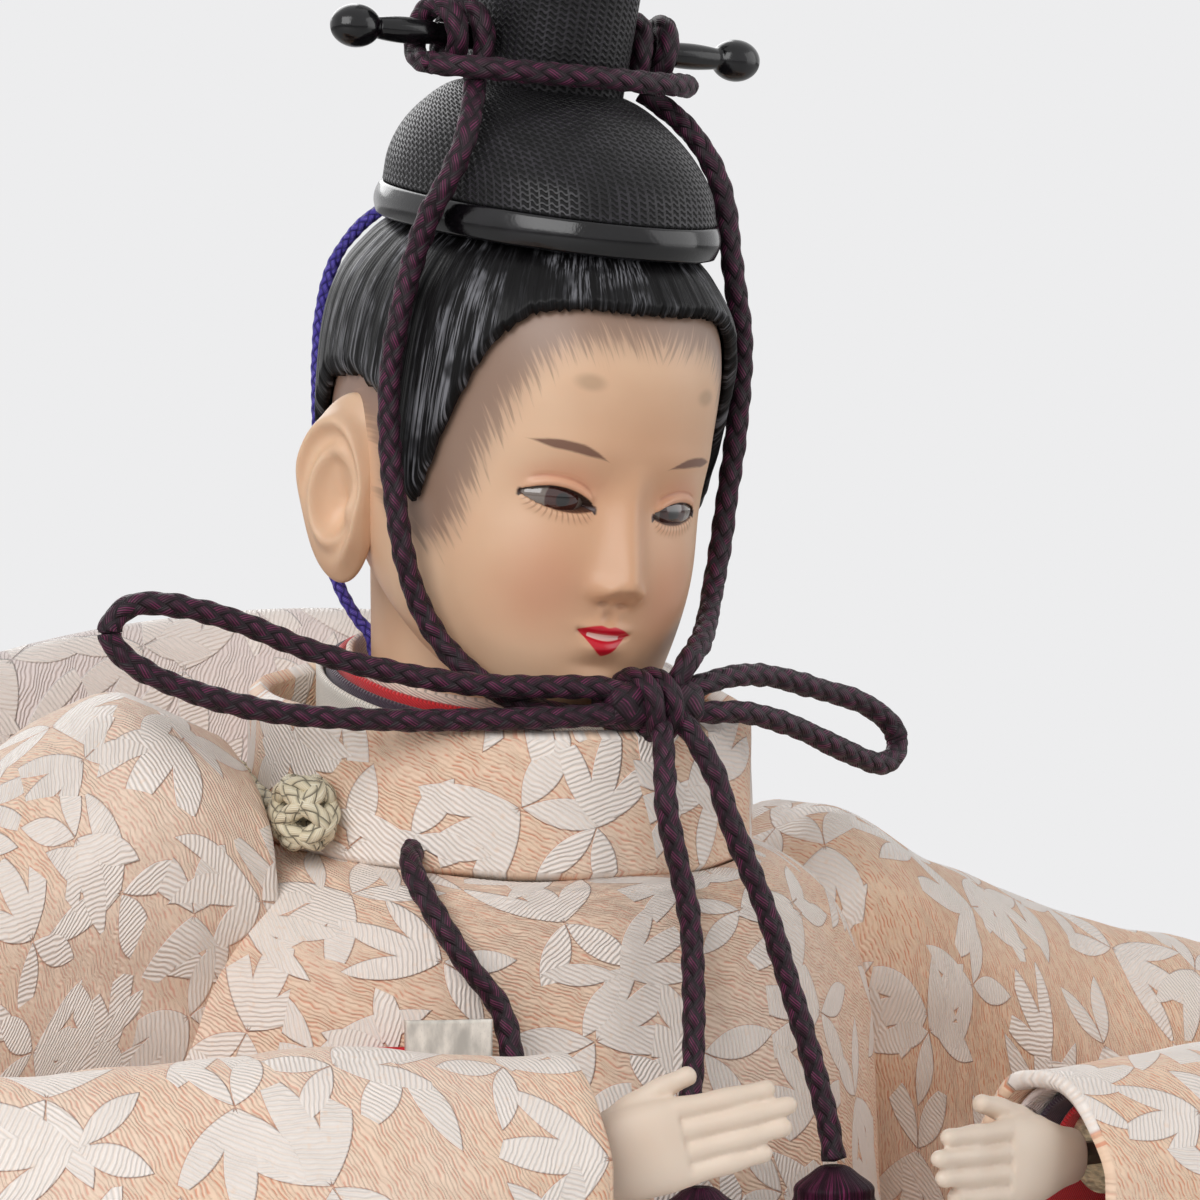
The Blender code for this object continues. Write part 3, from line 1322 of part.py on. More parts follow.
def add_head(doll):
    """The head with neck, ears and nose, its two eyes, and the peg that it turns on."""
    head = doll.mesh("head", solid_parts(in_world(skull_grid())), "head_turn_axis", "skin")
    neck = doll.cutter("neck_form", solid_parts(neck_grid()))
    doll.combine(head, neck, "UNION")
    for side, sign in (("right", -1), ("left", 1)):
        middle = (sign * HEAD_HALF_WIDTH, EAR_MIDDLE_BACK, EAR_MIDDLE_HEIGHT)
        sizes = (EAR_THICKNESS / 2, EAR_LENGTH / 2, EAR_HEIGHT / 2)
        vertices, faces = ball_parts(middle, sizes, EAR_ROWS, EAR_SIDES, -sign * EAR_FLARE)
        doll.combine(head, doll.cutter("ear_form_" + side, (in_world(vertices), faces)), "UNION")
    doll.combine(head, doll.cutter("nose_form", nose_parts()), "UNION")

    for side, sign in (("right", -1), ("left", 1)):
        front = eye_front(sign)
        sizes = (EYE_HALF_LENGTH, EYE_HALF_DEPTH, EYE_HALF_HEIGHT)
        eye = ball_parts(front, sizes, BALL_ROWS, ROUND_SIDES, sign * EYE_TURN)
        doll.mesh("eye_" + side, (in_world(eye[0]), eye[1]), "head_turn_axis", "glass")
        room = tuple(s + FIT_GAP for s in sizes)
        hole = ball_parts(front, room, BALL_ROWS, ROUND_SIDES, sign * EYE_TURN)
        doll.cut(head, doll.cutter("eye_space_" + side, (in_world(hole[0]), hole[1])))

    bore_radius = PEG_RADIUS + FIT_GAP
    bore = turned_grid(
        [(CORE_TOP - CUT_OVERRUN, bore_radius), (CORE_TOP + PEG_IN_HEAD, bore_radius)], PEG_SIDES
    )
    doll.cut(head, doll.cutter("peg_bore_cutter", solid_parts(bore)))
    peg = turned_grid(
        [(CORE_TOP - PEG_IN_CORE, PEG_RADIUS * PEG_POINT_SHARE),
         (CORE_TOP - PEG_IN_CORE + PEG_RADIUS, PEG_RADIUS),
         (CORE_TOP + PEG_IN_HEAD - FIT_GAP, PEG_RADIUS)],
        PEG_SIDES,
    )
    doll.mesh("neck_peg", solid_parts(peg), "head_turn_axis", "wood")


def eye_front(sign):
    """The middle of an eye, a little behind the face's surface."""
    grid = skull_grid(*EYE_SEARCH_GRID)
    ring = grid[np.argmin(np.abs(grid[:, 0, 2] - EYE_HEIGHT))]
    front = ring[ring[:, 1] < 0]
    order = np.argsort(front[:, 0])
    y = np.interp(sign * EYE_SPREAD, front[order, 0], front[order, 1])
    return np.array([sign * EYE_SPREAD, y + EYE_HALF_DEPTH * EYE_SINK_SHARE, EYE_HEIGHT])


def nose_parts():
    """A low wedge from the nose's root to its tip and wings."""
    skin = HEAD_FRONT * NOSE_FOOT_SHARE
    bridge = HEAD_FRONT * SKULL_SHARES[NOSE_ROOT_ROW][2]
    tip = bridge + NOSE_DEPTH
    vertices = np.array(
        [
            (0.0, -bridge, NOSE_ROOT_HEIGHT),
            (-NOSE_HALF_WIDTH / 3, -tip, NOSE_TIP_HEIGHT),
            (NOSE_HALF_WIDTH / 3, -tip, NOSE_TIP_HEIGHT),
            (-NOSE_HALF_WIDTH, -skin, NOSE_BASE_HEIGHT),
            (NOSE_HALF_WIDTH, -skin, NOSE_BASE_HEIGHT),
            (0.0, -skin, NOSE_ROOT_HEIGHT),
        ]
    )
    faces = [[0, 1, 2], [1, 3, 4, 2], [0, 5, 3, 1], [0, 2, 4, 5], [5, 4, 3]]
    return in_world(vertices), faces


def add_hair(doll):
    """The combed hair, cut free of the face, the head and the neck."""
    sizes = (0.0, HAIR_HEIGHT, HAIR_HALF_WIDTH, HAIR_FRONT, HAIR_BACK)
    grid = oval_grid(HAIR_SHARES, HAIR_RINGS, SKULL_SIDES, sizes, OVAL_POWER)
    hair = doll.mesh("hair", solid_parts(in_world(grid)), "head_turn_axis", "hair")
    skull = doll.cutter("skull_space_cutter", solid_parts(in_world(grown(skull_grid(), FIT_GAP))))
    neck = doll.cutter("neck_space_cutter", solid_parts(neck_grid(FIT_GAP)))
    outline = [(HAIR_BACK * y, HAIRLINE_TOP * z) for y, z in FACE_WINDOW_SHARES]
    vertices, faces = prism_parts(outline, HAIR_HALF_WIDTH + CUT_OVERRUN)
    window = doll.cutter("face_window_cutter", (in_world(vertices), faces))
    doll.cut(hair, skull, neck, window)


def crown_grid(shares, bottom, height, distance, rows, count=CROWN_SIDES):
    """Level sections of the crown, moved out by a distance."""
    sizes = (bottom, height, RIM_HALF_WIDTH, RIM_HALF_DEPTH, RIM_HALF_DEPTH)
    return grown(oval_grid(shares, rows, count, sizes, CROWN_POWER), distance)


def add_crown(doll):
    """The lacquered rim, the woven dome, the topknot housing, its pin and the net tail."""
    rim = []
    for share, bulge in ((0.0, 0.0), (0.5, RIM_BULGE), (1.0, 0.0)):
        depth = RIM_HALF_DEPTH + bulge
        height = RIM_BOTTOM + RIM_HEIGHT * share
        rim.append(oval(RIM_HALF_WIDTH + bulge, depth, depth, height, CROWN_SIDES, CROWN_POWER))
    rim = np.array(rim)
    doll.mesh("crown_rim", shell_parts(in_world(rim), in_world(grown(rim, -RIM_THICKNESS))),
              "head_turn_axis", "lacquer")

    bottom = RIM_BOTTOM + RIM_HEIGHT + FIT_GAP
    outer = crown_grid(DOME_SHARES, bottom, DOME_HEIGHT, 0.0, DOME_RINGS)
    inner = grown(outer, -DOME_THICKNESS)
    doll.mesh("crown_dome", shell_parts(in_world(outer), in_world(inner), True), "head_turn_axis", "net")

    koji_bottom = bottom + DOME_HEIGHT - KOJI_SINK
    rings = []
    for share in np.linspace(0, 1, KOJI_RINGS):
        flare = 1 + (KOJI_FLARE_SHARE - 1) * share
        depth = KOJI_HALF_DEPTH * flare
        height = koji_bottom + (KOJI_TOP - koji_bottom) * share
        rings.append(oval(KOJI_HALF_WIDTH * flare, depth, depth, height, KOJI_SIDES, KOJI_POWER))
    koji_outer = np.array(rings)
    koji_outer[..., 1] += KOJI_BACK
    koji_inner = grown(koji_outer, -KOJI_THICKNESS)
    koji_inner[-1, :, 2] -= KOJI_THICKNESS
    koji = doll.mesh("crown_koji", shell_parts(in_world(koji_outer), in_world(koji_inner), True),
                     "head_turn_axis", "net")
    dome_space = crown_grid(DOME_SHARES, bottom, DOME_HEIGHT, FIT_GAP, DOME_RINGS)
    doll.cut(koji, doll.cutter("dome_space_cutter", solid_parts(in_world(dome_space))))
    reach = KOJI_HALF_WIDTH * KOJI_FLARE_SHARE + CUT_OVERRUN
    hole = turned_grid([(-reach, PIN_RADIUS + FIT_GAP), (reach, PIN_RADIUS + FIT_GAP)], ROUND_SIDES)
    doll.cut(koji, doll.cutter("pin_hole_cutter", solid_parts(in_world(pin_place(hole)))))
    add_pin(doll)
    add_tail(doll)


def pin_place(grid):
    """Rings around Z, laid along X at the pin's height in the head's frame."""
    laid = np.stack([grid[..., 2], grid[..., 1], grid[..., 0]], axis=-1)
    return laid + np.array([0.0, KOJI_BACK, PIN_HEIGHT])


def add_pin(doll):
    """The turned pin, the same towards both knobs."""
    half = PIN_LENGTH / 2
    neck = half - PIN_KNOB_LENGTH
    profile = [(-half + PIN_KNOB_LENGTH * along, PIN_KNOB_RADIUS * girth) for along, girth in PIN_KNOB_SHARES]
    for k in range(2 * PIN_BEADS + 1):
        share = k / (2 * PIN_BEADS)
        profile.append((-neck + 2 * neck * share, PIN_RADIUS * (PIN_WAIST_SHARE if k % 2 == 0 else 1.0)))
    profile += [(-h, r) for h, r in profile[len(PIN_KNOB_SHARES) - 1 :: -1]]
    pin = turned_grid(profile, PIN_SIDES)
    doll.mesh("crown_pin", solid_parts(in_world(pin_place(pin))), "head_turn_axis", "lacquer")


def add_tail(doll):
    """The net tail, its tongue, and the socket behind the topknot housing."""
    wall = KOJI_BACK + KOJI_HALF_DEPTH * KOJI_FLARE_SHARE
    depth = TONGUE_THICKNESS / 2 + FIT_GAP
    middle = wall + FIT_GAP + SOCKET_WALL + depth
    half = TONGUE_WIDTH / 2 + FIT_GAP + SOCKET_WALL
    koji_foot = RIM_BOTTOM + RIM_HEIGHT + FIT_GAP + DOME_HEIGHT - KOJI_SINK
    risen = (SOCKET_TOP - koji_foot) / (KOJI_TOP - koji_foot)
    seat = KOJI_BACK + KOJI_HALF_DEPTH * (1 + (KOJI_FLARE_SHARE - 1) * risen) + FIT_GAP
    low = np.array((-half, seat, SOCKET_BOTTOM))
    high = np.array((half, middle + depth + SOCKET_WALL, SOCKET_TOP))
    vertices, faces = box_parts(low, high)
    socket = doll.mesh("tail_socket", (in_world(vertices), faces), "head_turn_axis", "lacquer")
    slot_low = (-TONGUE_WIDTH / 2 - FIT_GAP, middle - depth, SOCKET_BOTTOM + SOCKET_WALL)
    slot_high = (TONGUE_WIDTH / 2 + FIT_GAP, middle + depth, SOCKET_TOP + CUT_OVERRUN)
    vertices, faces = box_parts(slot_low, slot_high)
    doll.cut(socket, doll.cutter("tail_slot_cutter", (in_world(vertices), faces)))

    tongue_low = SOCKET_BOTTOM + SOCKET_WALL + FIT_GAP
    vertices, faces = box_parts(
        (-TONGUE_WIDTH / 2, middle - TONGUE_THICKNESS / 2, tongue_low),
        (TONGUE_WIDTH / 2, middle + TONGUE_THICKNESS / 2, SOCKET_TOP + 3 * FIT_GAP + TAIL_FRAME_WIDTH),
    )
    tail = doll.mesh("crown_tail", net_parts(middle), "tail_slide_axis", "net")
    doll.combine(tail, doll.cutter("tongue_form", (in_world(vertices), faces)), "UNION")


def bar_edges(count, frame, thread, length):
    """Edges of bars and gaps across a net: frame, gap, thread, gap ... frame, as shares of its length."""
    gap = (length - 2 * frame - (count - 1) * thread) / count
    widths = [frame] + [gap, thread] * (count - 1) + [gap, frame]
    return np.concatenate([[0.0], np.cumsum(widths)]) / length


def net_parts(middle):
    """A flat net in a frame: narrow at its foot, flaring out, then straight to its top."""
    bottom = SOCKET_TOP + 2 * FIT_GAP
    length = TAIL_TOP - bottom
    across = bar_edges(TAIL_COLUMNS, TAIL_FRAME_WIDTH, TAIL_THREAD_WIDTH, 2 * TAIL_HALF_WIDTH)
    up = bar_edges(TAIL_ROWS, TAIL_FRAME_WIDTH, TAIL_THREAD_WIDTH, length)
    vertices, index = [], {}

    def vertex(i, j, face):
        key = (i, j, face)
        if key not in index:
            height = up[j] * length
            flare = min(1.0, height / TAIL_FLARE_HEIGHT)
            half = TONGUE_WIDTH / 2 + (TAIL_HALF_WIDTH - TONGUE_WIDTH / 2) * math.sin(flare * math.pi / 2)
            x = half * (2 * across[i] - 1)
            y = middle + TAIL_LEAN * up[j] ** 2 + (face - 0.5) * TAIL_THICKNESS
            index[key] = len(vertices)
            vertices.append((x, y, bottom + height))
        return index[key]

    wide, tall = len(across) - 1, len(up) - 1
    full = {(i, j) for i in range(wide) for j in range(tall) if not (i % 2 and j % 2)}
    faces = []
    for i, j in sorted(full):
        ring = [(i, j), (i + 1, j), (i + 1, j + 1), (i, j + 1)]
        faces.append([vertex(*c, 0) for c in ring])
        faces.append([vertex(*c, 1) for c in ring[::-1]])
        for (a, b), (di, dj) in zip(
            zip(ring, ring[1:] + ring[:1], strict=True), ((0, -1), (1, 0), (0, 1), (-1, 0)), strict=True
        ):
            if (i + di, j + dj) not in full:
                faces.append([vertex(*b, 0), vertex(*a, 0), vertex(*a, 1), vertex(*b, 1)])
    return in_world(np.array(vertices)), faces


def winding_route(sign):
    """Turns round the pin on one side, straight at both ends."""
    radius = PIN_RADIUS + FIT_GAP + CORD_RADIUS
    straight = 2 * CORD_RADIUS
    points = [(sign * WINDING_START, KOJI_BACK - radius, PIN_HEIGHT - straight)]
    for k in range(int(WINDING_TURNS * WINDING_POINTS) + 1):
        turn = k / WINDING_POINTS
        angle = math.pi - 2 * math.pi * turn
        points.append(
            (
                sign * (WINDING_START + WINDING_PITCH * turn),
                KOJI_BACK + radius * math.cos(angle),
                PIN_HEIGHT + radius * math.sin(angle),
            )
        )
    x, y, z = points[-1]
    points.append((x, y - straight, z))
    return in_world(points)


def least_gap(points, radius, apart):
    """The smallest room between stretches of one round tube that are more than some points apart."""
    gaps = [
        np.linalg.norm(points[k] - points[n]) - 2 * radius
        for k in range(len(points))
        for n in range(k + apart, len(points))
    ]
    return min(gaps)


def add_windings(doll):
    """The cord wound round the pin on both sides, and its pass across the housing's front."""
    for side, sign in (("right", -1), ("left", 1)):
        route = winding_route(sign)
        doll.tube("cord_winding_" + side, route, CORD_RADIUS, "head_turn_axis", "cord", 1)
        gap = least_gap(route, CORD_RADIUS, WINDING_POINTS // 2)
        print(f"cord_winding_{side}: least gap to itself {gap * 1000:.2f} mm")
    front = [(x * KOJI_HALF_WIDTH, KOJI_BACK + y * KOJI_HALF_DEPTH, PIN_HEIGHT + z * CORD_RADIUS)
             for x, y, z in FRONT_PASS_SHARES]
    doll.cord("cord_across_front", in_world(front), CORD_RADIUS, "head_turn_axis", "cord", 2.5)


def add_cords(doll):
    """The free cords, the bow's knot and the two tassels."""
    for name, route in CORD_ROUTES.items():
        radius, finish, carrier = CORD_RADIUS, "cord", "head_turn_axis"
        if name == "nape_cord":
            radius, finish = NAPE_CORD_RADIUS, "violet"
        if name == "chest_cord":
            carrier = "trunk"
        doll.cord(name, route, radius, carrier, finish)
    rings = []
    for along, girth in KNOT_SHARES:
        depth = KNOT_HALF_DEPTH * girth
        ring = oval(KNOT_HALF_HEIGHT * girth, depth, depth, along * KNOT_HALF_WIDTH, ROUND_SIDES, KNOT_POWER)
        rings.append(np.stack([ring[:, 2], ring[:, 1], ring[:, 0]], axis=-1) + np.array(KNOT_MIDDLE))
    doll.mesh("bow_knot", solid_parts(np.array(rings)), "head_turn_axis", "cord")
    for side in ("right", "left"):
        end = np.array(CORD_ROUTES["cord_tail_" + side][-1])
        top = end - np.array([0.0, 0.0, 2 * FIT_GAP])
        profile = [(h * TASSEL_LENGTH, r * TASSEL_HEAD_RADIUS) for h, r in TASSEL_SHARES]
        tassel = solid_parts(turned_grid(profile, ROUND_SIDES) + top)
        doll.mesh("tassel_" + side, tassel, "head_turn_axis", "cord")


def hand_frame(wrist, tips):
    """Axes of a hand: along the fingers, across the palm's thickness, and up over the knuckles."""
    ahead = Vector(tips) - Vector(wrist)
    ahead.normalize()
    side = Vector((0, 0, 1)).cross(ahead)
    side.normalize()
    up = ahead.cross(side)
    return Matrix((ahead, side, up)).transposed(), Vector(wrist)


def in_hand(points, wrist, tips):
    """Points of a hand's own frame, in the part's frame."""
    turn, origin = hand_frame(wrist, tips)
    return np.asarray(points, float) @ np.array(turn).T + np.array(origin)


def palm_grid():
    """Sections of the palm, from the wrist to the fingers' roots."""
    rings = []
    angle = np.arange(ROUND_SIDES) * 2 * math.pi / ROUND_SIDES
    across = np.sign(np.cos(angle)) * np.abs(np.cos(angle)) ** BLUNT_POWER
    upward = np.sign(np.sin(angle)) * np.abs(np.sin(angle)) ** BLUNT_POWER
    for along, half_wide, half_thick in PALM_SHARES:
        y = half_thick * PALM_THICKNESS / 2 * across
        z = half_wide * PALM_WIDTH / 2 * upward
        rings.append(np.column_stack([np.full(ROUND_SIDES, along * PALM_LENGTH), y, z]))
    return np.array(rings)


def finger_grid(start, end, radius, tip):
    """A finger of three rings, thinner to its tip."""
    line = [np.array(start) + (np.array(end) - np.array(start)) * s for s in (0.0, FINGER_JOINT_SHARE, 1.0)]
    return tube_grid(line, [radius, (radius + tip) / 2, tip * FINGER_END_SHARE], FINGER_SIDES)


def add_hands(doll):
    """Both hands, each with its bore for the arm wire."""
    for side, wrist, tips in (
        ("right", RIGHT_WRIST, RIGHT_FINGERTIPS),
        ("left", LEFT_WRIST, LEFT_FINGERTIPS),
    ):
        name = "hand_" + side
        carrier = side + "_hand_axis"
        palm = solid_parts(in_hand(palm_grid(), wrist, tips))
        hand = doll.mesh(name, palm, carrier, "hand")
        curl = 1 if side == "right" else -1
        for k, (height, reach) in enumerate(FINGER_SHARES):
            start = (PALM_LENGTH * FINGER_ROOT_SHARE, 0.0, height * PALM_WIDTH)
            end = (HAND_LENGTH * reach, curl * FINGER_CURL, height * PALM_WIDTH * FINGER_GATHER_SHARE)
            grid = in_hand(finger_grid(start, end, FINGER_RADIUS, FINGERTIP_RADIUS), wrist, tips)
            doll.combine(hand, doll.cutter(f"{name}_finger_{k + 1}", solid_parts(grid)), "UNION")
        along, thick, high = THUMB_ROOT_SHARES
        start = (PALM_LENGTH * along, curl * PALM_THICKNESS * thick, PALM_WIDTH * high)
        thick, high = THUMB_TIP_SHARES
        end = (start[0] + THUMB_LENGTH, curl * PALM_THICKNESS * thick, PALM_WIDTH * high)
        girth = FINGER_RADIUS * THUMB_GIRTH_SHARE
        grid = in_hand(finger_grid(start, end, girth, FINGERTIP_RADIUS), wrist, tips)
        doll.combine(hand, doll.cutter(name + "_thumb", solid_parts(grid)), "UNION")
        bore_line = [(-CUT_OVERRUN, 0.0, 0.0), (WIRE_IN_HAND + FIT_GAP, 0.0, 0.0)]
        bore = in_hand(tube_grid(bore_line, WIRE_RADIUS + FIT_GAP, WIRE_SIDES), wrist, tips)
        doll.cut(hand, doll.cutter(name + "_wire_bore", solid_parts(bore)))


def main():
    clear_scene()
    doll = Doll()
    doll.carrier("trunk", (0.0, 0.0, 0.0))
    doll.carrier("head_turn_axis", NECK_AXIS, "trunk")
    doll.carrier("tail_slide_axis", in_world([0.0, KOJI_BACK, SOCKET_TOP]), "head_turn_axis")
    doll.carrier("right_hand_axis", RIGHT_WRIST, "trunk")
    doll.carrier("left_hand_axis", LEFT_WRIST, "trunk")
    add_trunk(doll)
    add_arms(doll)
    add_legs(doll)
    add_robe(doll)
    add_back_fold(doll)
    add_sleeves(doll)
    add_collars(doll)
    add_frog(doll)
    add_papers(doll)
    add_head(doll)
    add_hair(doll)
    add_crown(doll)
    add_windings(doll)
    add_cords(doll)
    add_hands(doll)


main()
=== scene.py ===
"""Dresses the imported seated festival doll: brocade robe, coated face, silk hair, gauze crown, braided cords.

Metres. The doll faces -Y, its right hand is on the -X side and +Z is up. Every new piece is a surface
worked out with numpy: a stack of closed sections, or a profile carried along a path.
"""

import math

import bmesh
import bpy
import numpy as np
from mathutils import Matrix, Vector


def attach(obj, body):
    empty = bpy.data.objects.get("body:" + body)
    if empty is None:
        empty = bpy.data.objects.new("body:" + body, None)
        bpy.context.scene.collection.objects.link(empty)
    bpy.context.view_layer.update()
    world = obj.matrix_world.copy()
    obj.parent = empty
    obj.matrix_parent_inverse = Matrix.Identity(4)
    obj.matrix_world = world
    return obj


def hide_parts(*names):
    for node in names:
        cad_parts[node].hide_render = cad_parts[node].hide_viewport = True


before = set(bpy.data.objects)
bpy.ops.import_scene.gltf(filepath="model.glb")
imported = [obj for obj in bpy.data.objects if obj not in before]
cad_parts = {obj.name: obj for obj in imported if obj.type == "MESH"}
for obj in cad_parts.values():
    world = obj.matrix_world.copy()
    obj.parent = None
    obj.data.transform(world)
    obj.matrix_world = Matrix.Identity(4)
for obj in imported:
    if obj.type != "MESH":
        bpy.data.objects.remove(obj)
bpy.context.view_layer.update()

bl_info = {
    "name": "Seated festival doll",
    "version": (1, 0, 0),
    "blender": (4, 5, 0),
    "location": "3D View > Sidebar > Doll",
    "description": "Makes the looks of a seated festival doll around its packed model",
    "category": "Object",
}


def tone(red, green, blue):
    """A colour read on the 0 to 255 scale of a screen, as linear values."""
    share = np.array([red, green, blue]) / 255
    return tuple(np.where(share > 0.04045, ((share + 0.055) / 1.055) ** 2.4, share / 12.92))


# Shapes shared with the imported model, in metres. Tables hold height, half width, front and back as
# shares of a piece's named sizes.

BODICE_SHARES = (
    (0.000, 0.985, 0.985, 0.985),
    (0.060, 1.000, 1.000, 1.000),
    (0.180, 0.990, 0.985, 0.985),
    (0.330, 0.965, 0.975, 0.945),
    (0.520, 0.950, 0.965, 0.905),
    (0.690, 0.925, 0.955, 0.865),
    (0.820, 0.865, 0.950, 0.810),
    (0.910, 0.770, 0.940, 0.730),
    (0.970, 0.640, 0.920, 0.600),
    (1.000, 0.530, 0.885, 0.460),
)
SKIRT_SHARES = (
    (0.000, 1.000, 1.000, 1.000),
    (0.160, 0.956, 0.970, 0.892),
    (0.360, 0.866, 0.905, 0.742),
    (0.535, 0.732, 0.778, 0.548),
    (0.650, 0.550, 0.588, 0.398),
    (0.740, 0.306, 0.311, 0.226),
    (0.810, 0.109, 0.089, 0.075),
    (0.860, 0.003, 0.003, 0.002),
    (0.930, 0.000, 0.000, 0.000),
    (1.000, 0.000, 0.000, 0.000),
)
SKULL_SHARES = (
    (0.000, 0.16, 0.754, -0.48),
    (0.020, 0.41, 0.845, -0.25),
    (0.061, 0.61, 0.888, 0.00),
    (0.123, 0.75, 0.900, 0.25),
    (0.205, 0.86, 0.918, 0.50),
    (0.307, 0.935, 0.940, 0.735),
    (0.430, 0.984, 0.931, 0.903),
    (0.553, 1.000, 0.966, 0.975),
    (0.697, 0.989, 0.987, 0.990),
    (0.800, 0.924, 0.927, 0.924),
    (0.881, 0.760, 0.776, 0.773),
    (0.943, 0.533, 0.552, 0.546),
    (1.000, 0.163, 0.170, 0.170),
)
HAIR_SHARES = (
    (0.230, 0.90, 0.940, 0.67),
    (0.308, 0.95, 0.955, 0.78),
    (0.404, 0.985, 0.955, 0.91),
    (0.519, 1.000, 0.980, 0.975),
    (0.654, 0.990, 1.000, 0.996),
    (0.750, 0.935, 0.947, 0.938),
    (0.820, 0.820, 0.835, 0.825),
    (0.858, 0.718, 0.750, 0.740),
    (0.904, 0.574, 0.615, 0.610),
    (0.962, 0.346, 0.380, 0.380),
    (1.000, 0.124, 0.140, 0.140),
)
DOME_SHARES = (
    (0.00, 0.985, 0.985, 0.985),
    (0.25, 0.955, 0.930, 0.985),
    (0.50, 0.865, 0.800, 0.940),
    (0.72, 0.730, 0.620, 0.840),
    (0.90, 0.560, 0.400, 0.700),
    (1.00, 0.330, 0.180, 0.480),
)
# Out, front, thickness, top and bottom of a sleeve along the arm
SLEEVE_SHARES = (
    (0.300, 0.015, 0.90, 0.86, 1.83),
    (0.406, 0.015, 0.95, 1.00, 1.67),
    (0.545, 0.015, 0.93, 0.79, 1.33),
    (0.713, 0.050, 0.90, 0.52, 0.83),
    (0.880, 0.140, 0.86, 0.30, 0.39),
    (0.985, 0.340, 0.82, 0.14, 0.17),
    (0.975, 0.600, 0.78, 0.05, 0.06),
    (0.845, 0.810, 0.74, 0.01, 0.11),
    (0.650, 0.925, 0.70, 0.00, 0.45),
    (0.450, 0.975, 0.68, 0.00, 0.74),
    (0.267, 1.000, 0.66, 0.00, 0.97),
)
SLEEVE_TAPER = ((0.0, 0.52), (0.25, 0.64), (0.55, 0.84), (0.80, 1.00), (1.0, 1.00))
# Lower edge of the hair seen from the side: how far back, and how high
HAIR_EDGE = (
    (-0.0250, 0.0403),
    (-0.0205, 0.0403),
    (-0.0179, 0.0393),
    (-0.0154, 0.0355),
    (-0.0115, 0.0266),
    (-0.0087, 0.0190),
    (-0.0066, 0.0192),
    (-0.0046, 0.0242),
    (-0.0020, 0.0282),
    (0.0031, 0.0296),
    (0.0107, 0.0288),
    (0.0143, 0.0250),
    (0.0154, 0.0194),
    (0.0169, 0.0162),
    (0.0205, 0.0146),
    (0.0260, 0.0143),
)
HEAD_MATRIX = (
    Matrix.Translation((-0.0010, -0.0075, 0.1315))
    @ Matrix.Rotation(math.radians(3.5), 4, "Y")
    @ Matrix.Rotation(math.radians(7.5), 4, "X")
)
# Bottom, height, half width, front and back of what the tables above describe
BODICE = (0.0600, 0.0565, 0.0455, 0.0365, 0.0365)
SKULL = (0.0, 0.0488, 0.0165, 0.0232, 0.0238)
HAIR = (0.0, 0.0520, 0.0181, 0.0247, 0.0256)
DOME = (0.0483, 0.0113, 0.0151, 0.0198, 0.0198)
SKIRT_BOTTOM, SKIRT_HEIGHT = 0.0012, 0.0688
SKIRT_REACH = (0.1060, 0.0940, 0.0570)
WAIST = 0.84 * np.array(BODICE[2:])
# The topknot housing's half width, front and back, and the pin's place in the head's frame
HOUSING = (0.0070, 0.0085, 0.0085)
PIN_DEPTH, PIN_HEIGHT = 0.0034, 0.0634
CORE_TOP = 0.1117
CLOTH = 0.0016
# An eye's middle in the head's frame, and its half length in millimetres
EYE_PLACE = (0.0067, 0.0214)
EYE_HALF_LENGTH = 3.32
# Braids of the nape cord and of the small knots
NAPE_PITCH, FINE_PITCH = 0.0014, 0.0022
HANDS = {
    "right": ((-0.0275, -0.0625, 0.0915), (-0.0095, -0.0740, 0.0965)),
    "left": ((0.0290, -0.0636, 0.0890), (0.0078, -0.0730, 0.0902)),
}
